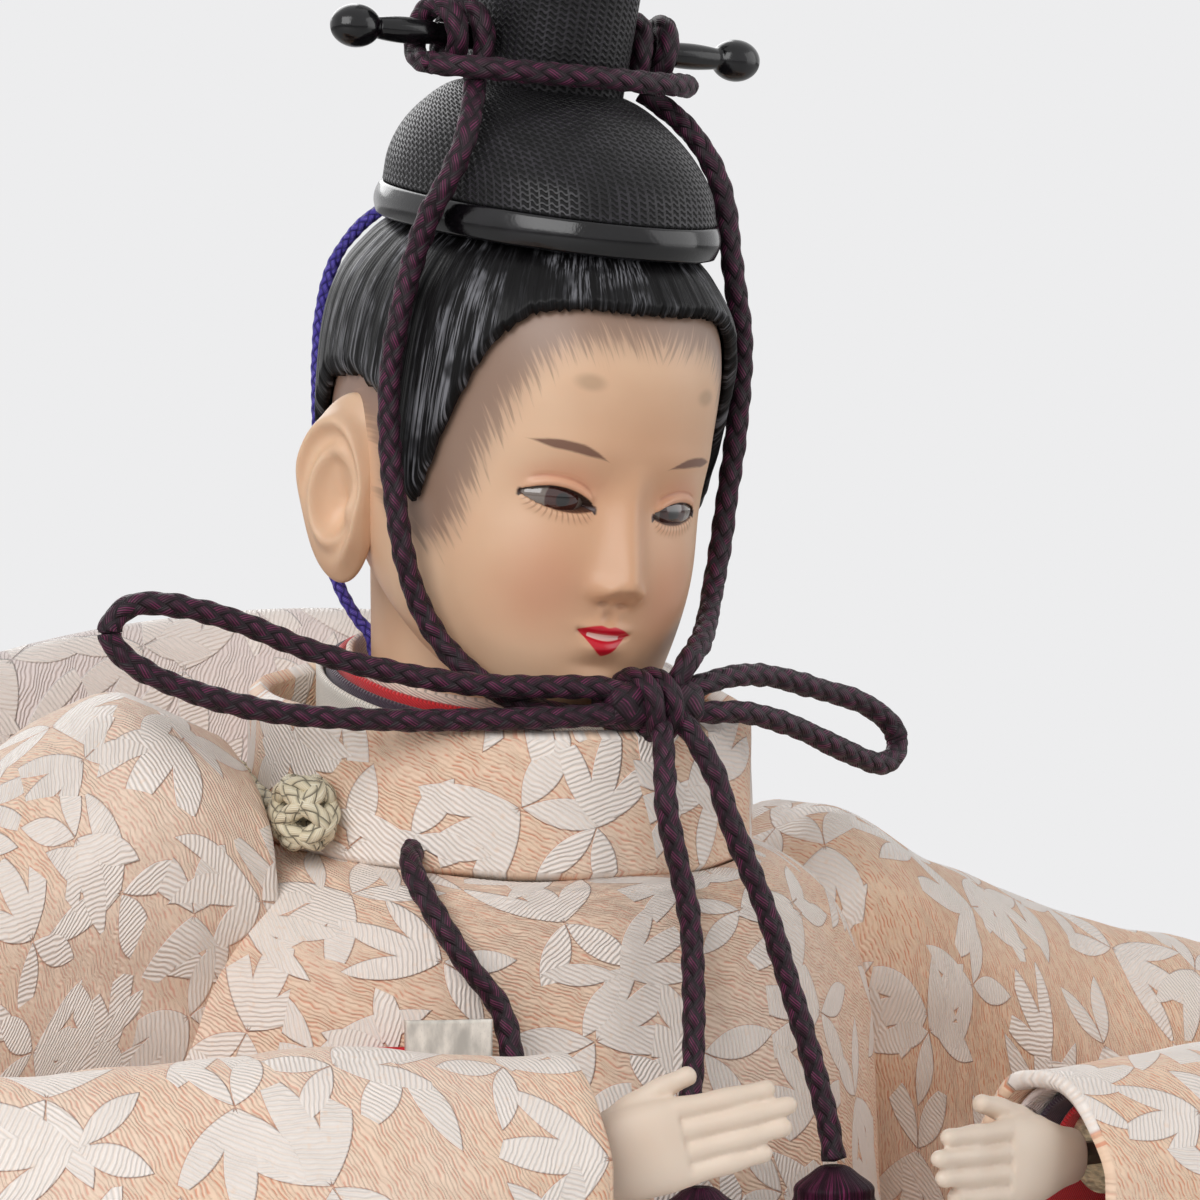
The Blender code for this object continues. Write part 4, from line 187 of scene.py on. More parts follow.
# The free cords' routes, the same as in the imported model
CORD_ROUTES = {
    "bow_loop_right": (
        (-0.0036, -0.0320, 0.1300), (-0.0120, -0.0294, 0.1298), (-0.0220, -0.0250, 0.1298),
        (-0.0315, -0.0208, 0.1305), (-0.0389, -0.0174, 0.1324), (-0.0445, -0.0148, 0.1352),
        (-0.0466, -0.0136, 0.1382), (-0.0448, -0.0144, 0.1408), (-0.0408, -0.0162, 0.1408),
        (-0.0352, -0.0182, 0.1392), (-0.0287, -0.0206, 0.1364), (-0.0220, -0.0238, 0.1344),
        (-0.0140, -0.0276, 0.1330), (-0.0036, -0.0312, 0.1326),
    ),
    "bow_loop_left": (
        (0.0088, -0.0320, 0.1298), (0.0140, -0.0310, 0.1295), (0.0210, -0.0286, 0.1278),
        (0.0290, -0.0258, 0.1249), (0.0350, -0.0232, 0.1232), (0.0384, -0.0212, 0.1242),
        (0.0382, -0.0206, 0.1267), (0.0340, -0.0216, 0.1292), (0.0280, -0.0234, 0.1308),
        (0.0200, -0.0262, 0.1326), (0.0140, -0.0288, 0.1330), (0.0088, -0.0308, 0.1324),
    ),
    "cord_tail_right": (
        (0.0022, -0.0341, 0.1283), (0.0012, -0.0362, 0.1245), (0.0009, -0.0372, 0.1205),
        (0.0028, -0.0380, 0.1110), (0.0028, -0.0388, 0.1040), (0.0020, -0.0400, 0.0970),
        (0.0009, -0.0410, 0.0910), (0.0016, -0.0419, 0.0860),
    ),
    "cord_tail_left": (
        (0.0054, -0.0341, 0.1283), (0.0070, -0.0362, 0.1240), (0.0080, -0.0370, 0.1200),
        (0.0114, -0.0383, 0.1110), (0.0134, -0.0393, 0.1040), (0.0152, -0.0404, 0.0970),
        (0.0163, -0.0416, 0.0910), (0.0166, -0.0424, 0.0870),
    ),
    "side_cord_right": (
        (-0.0071, -0.0148, 0.1912), (-0.0089, -0.0178, 0.1899), (-0.0115, -0.0208, 0.1858),
        (-0.0129, -0.0211, 0.1828), (-0.0141, -0.0206, 0.1802), (-0.0149, -0.0194, 0.1778),
        (-0.0160, -0.0180, 0.1730), (-0.0175, -0.0182, 0.1682), (-0.0182, -0.0179, 0.1639),
        (-0.0185, -0.0178, 0.1599), (-0.0185, -0.0181, 0.1547), (-0.0183, -0.0187, 0.1502),
        (-0.0177, -0.0194, 0.1449), (-0.0162, -0.0198, 0.1402), (-0.0144, -0.0216, 0.1362),
        (-0.0120, -0.0246, 0.1330), (-0.0085, -0.0274, 0.1308), (-0.0041, -0.0289, 0.1298),
    ),
    "side_cord_left": (
        (0.0123, -0.0148, 0.1900), (0.0150, -0.0176, 0.1870), (0.0164, -0.0204, 0.1834),
        (0.0171, -0.0220, 0.1794), (0.0170, -0.0232, 0.1752), (0.0174, -0.0237, 0.1706),
        (0.0186, -0.0230, 0.1654), (0.0189, -0.0222, 0.1604), (0.0187, -0.0216, 0.1554),
        (0.0181, -0.0212, 0.1504), (0.0172, -0.0214, 0.1456), (0.0154, -0.0228, 0.1414),
        (0.0129, -0.0256, 0.1384), (0.0099, -0.0290, 0.1364), (0.0066, -0.0318, 0.1347),
    ),
    "nape_cord": (
        (-0.0086, 0.0054, 0.1766), (-0.0094, 0.0086, 0.1734), (-0.0097, 0.0108, 0.1686),
        (-0.0098, 0.0114, 0.1638), (-0.0100, 0.0111, 0.1586), (-0.0101, 0.0104, 0.1536),
        (-0.0097, 0.0100, 0.1486), (-0.0093, 0.0100, 0.1440), (-0.0083, 0.0095, 0.1404),
        (-0.0070, 0.0083, 0.1374), (-0.0062, 0.0073, 0.1360),
    ),
    "chest_cord": (
        (-0.0212, -0.0267, 0.1156), (-0.0211, -0.0308, 0.1118), (-0.0193, -0.0336, 0.1072),
        (-0.0162, -0.0346, 0.1028), (-0.0156, -0.0360, 0.0978), (-0.0150, -0.0370, 0.0920),
        (-0.0150, -0.0380, 0.0840), (-0.0150, -0.0388, 0.0750), (-0.0150, -0.0390, 0.0660),
    ),
}


# Sizes and colours that a user would change


def length(name, text, default):
    return bpy.props.FloatProperty(
        name=name, description=text, default=default, min=0.0, unit="LENGTH", precision=5
    )


def colour(name, text, default):
    return bpy.props.FloatVectorProperty(
        name=name, description=text, default=default, size=3, min=0.0, max=1.0, subtype="COLOR"
    )


class DollSizes(bpy.types.PropertyGroup):
    cord_diameter: length("Cord", "Diameter of the crown cord", 0.0023)
    nape_cord_diameter: length("Nape cord", "Diameter of the thin violet cord", 0.0013)
    braid_pitch: length("Braid pitch", "Length of one full crossing in the crown cord's braid", 0.0026)
    gauze_across: length("Gauze, across", "Distance between the gauze's upright threads", 0.00098)
    gauze_up: length("Gauze, up", "Distance between the gauze's level threads", 0.00062)
    leaf_length: length("Leaf", "Length of one woven leaf on the robe", 0.0135)
    rib_pitch: length("Rib", "Distance between the ribs of the robe's ground", 0.00042)


class DollColours(bpy.types.PropertyGroup):
    ground: colour("Robe ground", "Peach threads of the brocade's ground", tone(249, 213, 182))
    ground_deep: colour("Ground lines", "Orange threads between the ribs", tone(224, 138, 98))
    leaf: colour("Leaves", "White satin threads of the leaves", tone(250, 240, 232))
    pale: colour("Pale brocade", "Threads of the pale fold and second hem", tone(240, 226, 222))
    cord: colour("Crown cord", "Dark threads of the braided cord", tone(34, 9, 24))
    # The highlight colour is painted highlight on the backs of the braid's strands and on the tassels' tufts
    cord_painted_highlight: colour("Cord highlight", "Lighter threads of the braided cord", tone(112, 40, 80))
    violet: colour("Nape cord", "Threads of the thin cord", tone(70, 58, 160))
    skin: colour("Skin", "The face's polished coat", tone(232, 196, 164))
    # The warm tone of the coat's clouds, and the painted shade over the middle of the face
    skin_warmth_and_shade: colour("Skin shade", "Warm shade in the face's coat", tone(200, 144, 106))
    hand: colour("Hands", "The hands' polished coat", tone(234, 216, 198))
    lips: colour("Lips", "Painted lips", tone(200, 20, 42))
    hair: colour("Hair", "Silk hair", tone(9, 8, 9))
    lacquer: colour("Lacquer", "Black lacquer of the crown", tone(9, 8, 10))
    cream: colour("Frog knot", "Cream cord of the collar's knot", tone(232, 220, 190))
    red: colour("Red silk", "Red lining and paper", tone(214, 22, 34))
    purple: colour("Purple silk", "Purple lining", tone(52, 28, 52))
    paper: colour("Paper", "White paper at the chest", tone(238, 232, 222))


def sizes():
    return bpy.context.scene.doll_sizes


def colours():
    return bpy.context.scene.doll_colours


# Shapes


def curve_through(rows, places):
    """A Catmull-Rom curve through the rows: four neighbours weighted by cubic polynomials of the share
    between the middle two, read at places counted in rows."""
    rows = np.asarray(rows, float)
    last = len(rows) - 1
    ends = np.vstack([2 * rows[0] - rows[1], rows, 2 * rows[-1] - rows[-2]])
    first = np.clip(np.asarray(places, float).astype(int), 0, last - 1)
    t = (places - first)[..., None]
    a, b, c, d = (ends[first + k] for k in range(4))
    return 0.5 * (2 * b + (c - a) * t + (2 * a - 5 * b + 4 * c - d) * t**2 + (3 * b - a - 3 * c + d) * t**3)


def even_path(rows, spacing):
    """The curve through the rows, read again at even distances."""
    dense = curve_through(rows, np.linspace(0, len(rows) - 1, 60 * len(rows)))
    run = run_of(dense)
    places = np.linspace(0, run[-1], max(3, int(round(run[-1] / spacing)) + 1))
    return np.column_stack([np.interp(places, run, dense[:, k]) for k in range(3)])


def run_of(path):
    """The distance from the path's start to each of its points."""
    return np.concatenate([[0.0], np.cumsum(np.linalg.norm(np.diff(path, axis=0), axis=1))])


def turns(count, start=math.pi / 2):
    """Angles once round, from the back of the doll."""
    return start + np.arange(count) * 2 * math.pi / count


def bent(values, power):
    """The values' size raised to a power, with their sign kept."""
    return np.sign(values) * np.abs(values) ** power


def oval(half_width, front, back, height, angle, power=2.0):
    """A level superellipse: x and y follow the angle's cosine and sine, each raised to 2 / power, and y
    reaches from the front to the back distance. Sizes are columns, angles are a row."""
    x = half_width * bent(np.cos(angle), 2 / power)
    y = (back - front) / 2 + (back + front) / 2 * bent(np.sin(angle), 2 / power)
    return np.stack(np.broadcast_arrays(x, y, height), axis=-1).astype(float)


def stack(shares, measures, share, angle, power):
    """Ovals up a table of shares. Measures are bottom, height, half width, front and back, and share
    runs from 0 to 1 along the table, one for each row or one for each place."""
    share = share if share.ndim == 2 else share[:, None]
    table = curve_through(shares, share * (len(shares) - 1))
    bottom, height, half_width, front, back = measures
    return oval(
        half_width * table[..., 1],
        front * table[..., 2],
        back * table[..., 3],
        bottom + height * table[..., 0],
        angle[None, :],
        power,
    )


def normals(grid, around=True):
    """Cross product of the grid's two directions, turned away from the middle of each ring."""
    across = np.roll(grid, -1, 1) - np.roll(grid, 1, 1) if around else np.gradient(grid, axis=1)
    facing = np.cross(across, np.gradient(grid, axis=0))
    facing /= np.maximum(np.linalg.norm(facing, axis=2, keepdims=True), 1e-12)
    middle = grid.mean(axis=1 if around else (0, 1), keepdims=True)
    return facing * np.sign(((grid - middle) * facing).sum(axis=2).mean())


def pushed(grid, distance, around=True):
    """The surface moved along its normals by a distance, or by one for each place."""
    return grid + normals(grid, around) * np.asarray(distance)[..., None]


def crumple(points, size, seed, waves=16):
    """Soft unevenness of about unit height: sine waves of one size in seeded directions, added up."""
    numbers = np.random.default_rng(seed)
    ways = numbers.normal(size=(waves, 3))
    ways /= np.linalg.norm(ways, axis=1, keepdims=True)
    ways *= (2 * math.pi / size * numbers.uniform(0.6, 1.5, waves))[:, None]
    return np.sin(points @ ways.T + numbers.uniform(0, 6.28, waves)).sum(axis=-1) / math.sqrt(waves)


def bump_at(x, z, middle_x, middle_z, wide, high):
    """A round hump of unit height: exp of minus the squared distance in widths."""
    return np.exp(-(((x - middle_x) / wide) ** 2) - ((z - middle_z) / high) ** 2)


def step(value, low, high):
    """Smooth step from 0 at low to 1 at high: 3 t squared less 2 t cubed."""
    t = np.clip((value - low) / (high - low), 0, 1)
    return t * t * (3 - 2 * t)


def in_world(points):
    """Points of the head's own frame, moved to the doll's."""
    return np.asarray(points) @ np.array(HEAD_MATRIX.to_3x3()).T + np.array(HEAD_MATRIX.translation)


def along_path(path, reference, angle):
    """Directions round a path: side is the reference crossed with the way ahead, over is the way ahead
    crossed with the side, and a direction is side times cosine plus over times sine of the angle."""
    ahead = np.gradient(path, axis=0)
    ahead /= np.linalg.norm(ahead, axis=1, keepdims=True)
    side = np.cross(np.asarray(reference, float), ahead)
    side /= np.linalg.norm(side, axis=1, keepdims=True)
    over = np.cross(ahead, side)
    return side[:, None] * np.cos(angle)[None, :, None] + over[:, None] * np.sin(angle)[None, :, None]


def tube(path, radius, reference, angle):
    """Circles of the radius, or of one for each point and angle, carried along a path."""
    round_it = along_path(path, reference, angle)
    radius = np.broadcast_to(np.asarray(radius, float), round_it.shape[:2])
    return path[:, None] + round_it * radius[..., None]


def capped(grid, depth=0.0):
    """The stack with its ends drawn together in a point, each a little beyond the end."""
    low, high = grid[0].mean(axis=0), grid[-1].mean(axis=0)
    ahead = (grid[-1].mean(axis=0) - grid[-2].mean(axis=0), grid[0].mean(axis=0) - grid[1].mean(axis=0))
    ahead = [way / max(np.linalg.norm(way), 1e-9) * depth for way in ahead]
    first = np.broadcast_to(low + ahead[1], grid[:1].shape)
    last = np.broadcast_to(high + ahead[0], grid[:1].shape)
    return np.concatenate([first, grid, last])


def walled(outer, thickness, around=True):
    """A wall whose inner side is the outer one pushed in, with a half-round rim at both ends: the rows
    run up the outer side, over the rim, down the inner side and back."""
    inner = pushed(outer, -np.broadcast_to(thickness, outer.shape[:2]), around)
    over = []
    for end, before in ((-1, -2), (0, 1)):
        way = outer[end] - outer[before]
        way /= np.maximum(np.linalg.norm(way, axis=1, keepdims=True), 1e-9)
        wall = np.linalg.norm(outer[end] - inner[end], axis=1, keepdims=True)
        over.append((outer[end] + inner[end]) / 2 + way * wall * 0.42)
    return np.concatenate([outer, over[0][None], inner[::-1], over[1][None]])


def cloth_uv(outer, around=True):
    """Millimetres along the cloth: the arc length along each row both ways from its middle, and the
    mean arc length up the rows."""
    closed = np.concatenate([outer, outer[:, :1]], axis=1) if around else outer
    steps = np.linalg.norm(np.diff(closed, axis=1), axis=2)
    u = np.concatenate([np.zeros((len(outer), 1)), np.cumsum(steps, axis=1)], axis=1)
    u -= u[:, -1:] / 2
    up = np.linalg.norm(np.diff(outer, axis=0), axis=2).mean(axis=1)
    v = np.concatenate([[0.0], np.cumsum(up)])[:, None] + 0 * u
    return np.stack([u, v], axis=-1) * 1000


def wall_rows(values):
    """A surface's rows repeated for its wall: the outer side, the rim, the inner side and back."""
    return np.concatenate([values, values[-1:], values[::-1], values[:1], values[:1]])


def cap_rows(values):
    """A stack's rows with the first and the last one doubled, for its two caps."""
    return np.concatenate([values[:1], values, values[-1:]])


def make(name, grid, body, material, along=False, uv=None, weld=False, values=None):
    """A mesh piece from a grid of points, closed round its columns, and round its rows for a wall. uv
    and values hold a number pair or a number for each place of the grid, one more where it is closed."""
    count, rows, cols = grid.shape[:3] if grid.ndim == 4 else (1, *grid.shape[:2])
    r = np.arange(rows if along else rows - 1)[:, None]
    c = np.arange(cols)[None, :]
    corners = [(r, c), (r, c + 1), (r + 1, c + 1), (r + 1, c)]
    faces = np.stack([((i % rows) * cols + j % cols + 0 * r + 0 * c) for i, j in corners], axis=-1)
    faces = (faces.reshape(1, -1, 4) + np.arange(count)[:, None, None] * rows * cols).reshape(-1, 4)
    points = grid.reshape(-1, 3)
    a, b, d = (points[faces[:, k]] for k in (0, 1, 3))
    crossed = np.cross(b - a, d - a)
    if along or weld:
        size = ((a - points.mean(axis=0)) * crossed).sum()
    else:
        middle = grid.mean(axis=-2, keepdims=True)
        middle = np.broadcast_to(middle, grid.shape).reshape(-1, 3)[faces[:, 0]]
        size = ((a - middle) * crossed).sum()
    order = [0, 1, 2, 3] if size > 0 else [3, 2, 1, 0]
    mesh = bpy.data.meshes.new(name)
    mesh.from_pydata(points.tolist(), [], faces[:, order].tolist())
    if uv is not None:
        layer = mesh.uv_layers.new(name="plan")
        flat = np.stack([uv[i + 0 * c, j + 0 * r] for i, j in corners], axis=-2)
        layer.data.foreach_set("uv", flat.reshape(-1, 4, 2)[:, order].astype(np.float32).ravel())
    for key, value in (values or {}).items():
        made = mesh.attributes.new(key, "FLOAT", "POINT")
        made.data.foreach_set("value", np.asarray(value, np.float32).ravel())
    if weld:
        work = bmesh.new()
        work.from_mesh(mesh)
        bmesh.ops.remove_doubles(work, verts=work.verts, dist=2e-6)
        bmesh.ops.dissolve_degenerate(work, edges=work.edges, dist=1e-7)
        work.to_mesh(mesh)
        work.free()
    mesh.shade_smooth()
    mesh.materials.append(material)
    item = linked(name, mesh)
    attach(item, body)
    return item


def linked(name, data):
    """A new object of the scene that holds the data."""
    item = bpy.data.objects.new(name, data)
    bpy.context.collection.objects.link(item)
    return item


def stand_for(item, *nodes):
    """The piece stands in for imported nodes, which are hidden."""
    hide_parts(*nodes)
    return item


# Materials


class Value:
    """A node's output that formulas can be written with: each sign adds one Math node."""

    def __init__(self, socket):
        self.socket, self.tree = socket, socket.id_data

    def maths(self, operation, *others):
        return put(self.tree, "Math", enumerate((self, *others)), operation=operation)[0]

    def __add__(self, other):
        return self.maths("ADD", other)

    def __sub__(self, other):
        return self.maths("SUBTRACT", other)

    def __rsub__(self, other):
        return put(self.tree, "Math", {0: other, 1: self}, operation="SUBTRACT")[0]

    def __mul__(self, other):
        return self.maths("MULTIPLY", other)

    def __truediv__(self, other):
        return self.maths("DIVIDE", other)

    def __rtruediv__(self, other):
        return put(self.tree, "Math", {0: other, 1: self}, operation="DIVIDE")[0]

    def __pow__(self, other):
        return self.maths("POWER", other)

    def __abs__(self):
        return self.maths("ABSOLUTE")


class Outputs:
    """A node's outputs as values, by name or number."""

    def __init__(self, node):
        self.sockets = node.outputs

    def __getitem__(self, key):
        return Value(self.sockets[key])


def join(socket, value):
    """Links a value to the socket, or sets a plain number or colour on it."""
    if isinstance(value, Value):
        socket.id_data.links.new(value.socket, socket)
    else:
        socket.default_value = value


def put(tree, kind, inputs=(), **settings):
    """A node with its settings, and a value or a plain number in each named or numbered socket."""
    node = tree.nodes.new("ShaderNode" + kind)
    for key, value in settings.items():
        setattr(node, key, value)
    for key, value in dict(inputs).items():
        join(node.inputs[key], value)
    return Outputs(node)


def times(shade, share, more=0.0):
    """The colour made darker or lighter."""
    return tuple(min(1.0, share * part + more) for part in shade)


def blended(factor, a, b):
    """From colour a to colour b by the factor."""
    a, b = (c if isinstance(c, Value) else (*c, 1.0) for c in (a, b))
    return put(factor.tree, "Mix", {0: factor, 6: a, 7: b}, data_type="RGBA")[2]


def mixed(factor, a, b):
    """From number a to number b by the factor."""
    return put(factor.tree, "Mix", {0: factor, 2: a, 3: b}, data_type="FLOAT")[0]


def rise(value, low, high, to_low=0.0, to_high=1.0):
    """The value's way from low to high, smoothed and held at the ends."""
    inputs = {"Value": value, "From Min": low, "From Max": high, "To Min": to_low, "To Max": to_high}
    return put(value.tree, "MapRange", inputs, interpolation_type="SMOOTHSTEP")[0]


def wave(value, times_round=1.0):
    """The sine of the value, which goes round so many times while the value grows by one."""
    return (value * (2 * math.pi * times_round)).maths("SINE")


def noise(vector, scale, detail=2.0, roughness=0.5):
    inputs = {"Vector": vector, "Scale": scale, "Detail": detail, "Roughness": roughness}
    return put(vector.tree, "TexNoise", inputs)[0]


def stretched(vector, scale):
    return put(vector.tree, "Mapping", {"Vector": vector, "Scale": scale})[0]


def parts_of(vector):
    return put(vector.tree, "SeparateXYZ", {0: vector})


def flat_place(x, y):
    return put(x.tree, "CombineXYZ", {0: x, 1: y})[0]


def spun(vector, angle):
    return put(vector.tree, "VectorRotate", {"Vector": vector, "Angle": angle}, rotation_type="Z_AXIS")[0]


def relief(height, depth):
    """A bump of that depth in metres."""
    return put(height.tree, "Bump", {"Height": height, "Strength": 1.0, "Distance": depth})[0]


def plan(tree):
    """The piece's own map, in millimetres."""
    return put(tree, "UVMap", uv_map="plan")[0]


def object_place(tree):
    return put(tree, "TexCoord")["Object"]


def group(name, numbers, outputs):
    """An empty shader group that takes a place and named numbers with their defaults, and gives numbers."""
    tree = bpy.data.node_groups.new(name, "ShaderNodeTree")
    tree.interface.new_socket("Vector", in_out="INPUT", socket_type="NodeSocketVector")
    for key, default in numbers.items():
        socket = tree.interface.new_socket(key, in_out="INPUT", socket_type="NodeSocketFloat")
        socket.default_value = default
    for key in outputs:
        tree.interface.new_socket(key, in_out="OUTPUT", socket_type="NodeSocketFloat")
    return tree, Outputs(tree.nodes.new("NodeGroupInput")), tree.nodes.new("NodeGroupOutput").inputs


def use(tree, name, inputs):
    """A copy of a shared group with its own values."""
    return put(tree, "Group", inputs, node_tree=bpy.data.node_groups[name])


def grain(tree, size, place=None):
    """Clouds and a speckle of that size in metres, on the piece's own place or on a stretched one."""
    place = object_place(tree) if place is None else place
    return use(tree, "grain", {"Vector": place, "Size": size})


# Turn, length and width of the five leaves of a spray, as shares of its length
SPRAY = ((0.0, 1.0, 0.135), (0.62, 0.86, 0.12), (-0.58, 0.90, 0.12), (2.7, 0.66, 0.13), (-2.5, 0.72, 0.12))


def make_groups():
    """The effects that several finishes share."""
    # Ribs of thread: a sine across the run, wavering, broken along the run by a finer noise
    tree, given, out = group("thread_ribs", {"Pitch": 0.5, "Turn": 0.0, "Waver": 0.4}, ("Height", "Strand"))
    vector = spun(given["Vector"], given["Turn"])
    parts = parts_of(vector)
    phase = (parts[1] + (noise(vector, 0.35) - 0.5) * given["Waver"]) / given["Pitch"]
    join(out["Height"], wave(phase) * 0.5 + 0.5)
    place = flat_place(parts[0] * 0.9, phase.maths("FLOOR") * 7.3)
    join(out["Strand"], noise(place, 1.0, 1.0))

    # One pointed leaf: a lens whose half width falls with the square of the place along it
    tree, given, out = group("leaf_blade", {"Turn": 0.0, "Length": 10.0, "Width": 1.6}, ("Mask",))
    parts = parts_of(spun(given["Vector"], given["Turn"]))
    share = parts[0] / given["Length"]
    half = share * (1.0 - share) * 4.0 * given["Width"]
    join(out["Mask"], rise(half - abs(parts[1]), -0.02, 0.22))

    # A spray of leaves in each cell of a cell pattern, turned as the cell's own number says
    tree, given, out = group("leaf_spray", {"Length": 13.0, "Shift": 0.0}, ("Mask", "Turn"))
    moved = put(tree, "VectorMath", {0: given["Vector"], 1: given["Shift"]}, operation="ADD")[0]
    inputs = {"Vector": moved, "Scale": 0.80 / given["Length"], "Randomness": 0.75}
    cells = put(tree, "TexVoronoi", inputs, voronoi_dimensions="2D")
    local = put(tree, "VectorMath", {0: moved, 1: cells["Position"]}, operation="SUBTRACT")[0]
    turn = put(tree, "SeparateColor", {0: cells["Color"]})[0] * 6.28
    mask = 0.0
    for offset, reach, wide in SPRAY:
        inputs = {
            "Vector": local,
            "Turn": turn + offset,
            "Length": given["Length"] * reach,
            "Width": given["Length"] * wide,
        }
        mask = use(tree, "leaf_blade", inputs)["Mask"].maths("MAXIMUM", mask)
    join(out["Mask"], mask)
    join(out["Turn"], turn)

    # Two families of strands on a lattice round a cord, the upper one changing from cell to cell
    tree, given, out = group("braid", {"Pitch": 2.6, "Strands": 4.0}, ("Height", "Threads"))
    parts = parts_of(given["Vector"])
    rising, round_it = parts[1] / given["Pitch"], parts[0] * given["Strands"]
    families = (round_it + rising, round_it - rising)
    parity = (families[0].maths("FLOOR") + families[1].maths("FLOOR")).maths("PINGPONG", 1.0)
    shares = [phase.maths("FRACT") for phase in families]
    join(out["Height"], mixed(parity, *(wave(share, 0.5) ** 0.6 for share in shares)))
    join(out["Threads"], mixed(parity, *(wave(share, 6) for share in shares)))

    # Fine strands drawn out along the map's second direction
    tree, given, out = group("combed", {"Fineness": 6.0, "Stretch": 0.03}, ("Height", "Tone"))
    parts = parts_of(given["Vector"])
    place = flat_place(parts[0] * given["Fineness"], parts[1] * (given["Stretch"] * given["Fineness"]))
    join(out["Height"], noise(place, 1.0, 3.0, 0.65))
    join(out["Tone"], noise(place, 0.22))

    # Gauze: upright and level threads, each a rounded ridge, over and under in turn
    tree, given, out = group("gauze", {"Across": 0.98, "Up": 0.62}, ("Height",))
    parts = parts_of(given["Vector"])
    u = parts[0] / given["Across"]
    v = parts[1] / given["Up"] + (noise(given["Vector"], 0.55) - 0.5) * 0.9
    upright = rise(abs(wave(u, 0.5)), 0.80, 0.98)
    level = rise(abs(wave(v + wave(u) * 0.22, 0.5)), 0.45, 0.95)
    join(out["Height"], (upright * 0.85).maths("MAXIMUM", level))

    # Grain: soft clouds of wear and a fine speckle
    tree, given, out = group("grain", {"Size": 0.004}, ("Cloud", "Speckle"))
    scale = 1.0 / given["Size"]
    join(out["Cloud"], noise(given["Vector"], scale, 3.0))
    join(out["Speckle"], noise(given["Vector"], scale * 14.0))


def new_finish(name):
    """A new material. Its name begins with "look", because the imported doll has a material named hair."""
    made = bpy.data.materials.new("look_" + name)
    made.use_nodes = True
    return made, made.node_tree


def filled(made, colour, roughness, normal=None, more=()):
    """The material, its shader given a colour, a roughness, a bump and more sockets by their names."""
    shader = made.node_tree.nodes["Principled BSDF"].inputs
    given = {"Base Color": colour, "Roughness": roughness, "Normal": normal, **dict(more)}
    for key, value in given.items():
        if value is not None:
            join(shader[key], value)
    return made


def brocade_finish(name, ground, deep, leaf, contrast):
    """Ribbed ground with orange threads between the ribs, and raised satin leaves stitched across."""
    made, tree = new_finish(name)
    vector = plan(tree)
    reach, rib = sizes().leaf_length * 1000, sizes().rib_pitch * 1000
    first = use(tree, "leaf_spray", {"Vector": vector, "Length": reach, "Shift": 0.0})
    second = use(tree, "leaf_spray", {"Vector": vector, "Length": reach * 0.85, "Shift": 41.3})
    mask = first["Mask"].maths("MAXIMUM", second["Mask"])
    turn = mixed(second["Mask"].maths("GREATER_THAN", 0.5), first["Turn"], second["Turn"])
    stitched = {"Vector": vector, "Pitch": rib * 1.15, "Turn": turn + 1.1, "Waver": 0.9}
    stitches = use(tree, "thread_ribs", stitched)
    ribs = use(tree, "thread_ribs", {"Vector": vector, "Pitch": rib, "Turn": 0.45, "Waver": 1.6})
    flecks = rise(ribs["Strand"], 0.42, 0.60) * (0.85 * contrast)
    base = blended(rise(ribs["Height"], 0.42, 0.10) * flecks, ground, deep)
    satin_dark = tuple(0.80 * a + 0.20 * b for a, b in zip(leaf, ground))
    satin = blended(rise(stitches["Height"], 0.05, 0.45), satin_dark, leaf)
    satin = blended(rise(stitches["Strand"], 0.62, 0.78, 0.0, 0.35), satin, ground)
    base = blended(rise(grain(tree, 0.03)["Cloud"], 0.35, 0.70, 0.0, 0.35), base, leaf)
    edge = rise(mask, 0.02, 0.35) * rise(mask, 0.75, 0.45)
    both = blended(rise(mask, 0.35, 0.65), base, satin)
    both = blended(edge * (0.55 * contrast), both, deep)
    weave = mixed(mask, ribs["Height"], stitches["Height"])
    bump = relief(weave * 0.45 + mask, 0.00022)
    more = {"Sheen Weight": 0.25, "Sheen Roughness": 0.4}
    return filled(made, both, mixed(mask, 0.62, 0.40), bump, more)


def silk_finish(name, shade, pitch=0.25, turn=0.6):
    """Plain silk: fine diagonal ribs with painted shade between them, and a slow change of tone."""
    made, tree = new_finish(name)
    ribs = use(tree, "thread_ribs", {"Vector": plan(tree), "Pitch": pitch, "Turn": turn, "Waver": 0.2})
    body = blended(rise(grain(tree, 0.008)["Cloud"], 0.3, 0.7), shade, times(shade, 1.18, 0.01))
    # Painted shade in the grooves between the ribs
    body = blended(rise(ribs["Height"], 0.35, 0.0), body, times(shade, 0.62))
    rough = rise(ribs["Strand"], 0.3, 0.7, 0.55, 0.70)
    return filled(made, body, rough, relief(ribs["Height"], 0.00006), {"Sheen Weight": 0.3})


def cord_finish(name, dark, light, pitch):
    """Braided silk: painted shade between the strands, a painted highlight on their backs, with the single
    threads.
    """
    made, tree = new_finish(name)
    weave = use(tree, "braid", {"Vector": plan(tree), "Pitch": pitch, "Strands": 4.0})
    # Painted highlight on the strands' backs
    painted_highlight = rise(weave["Height"], 0.78, 1.0) * rise(weave["Threads"], -0.4, 0.9)
    painted_highlight = painted_highlight * rise(grain(tree, 0.0016)["Cloud"], 0.38, 0.62, 0.25, 1.0)
    # Painted shade between the strands
    body = blended(rise(weave["Height"], 0.2, 0.9), times(dark, 0.25), dark)
    rough = rise(weave["Threads"], -1.0, 1.0, 0.62, 0.42)
    bump = relief(weave["Threads"] * 0.12 + weave["Height"], 0.00014)
    more = {"Sheen Weight": 0.04, "Specular IOR Level": 0.3}
    return filled(made, blended(painted_highlight, body, light), rough, bump, more)


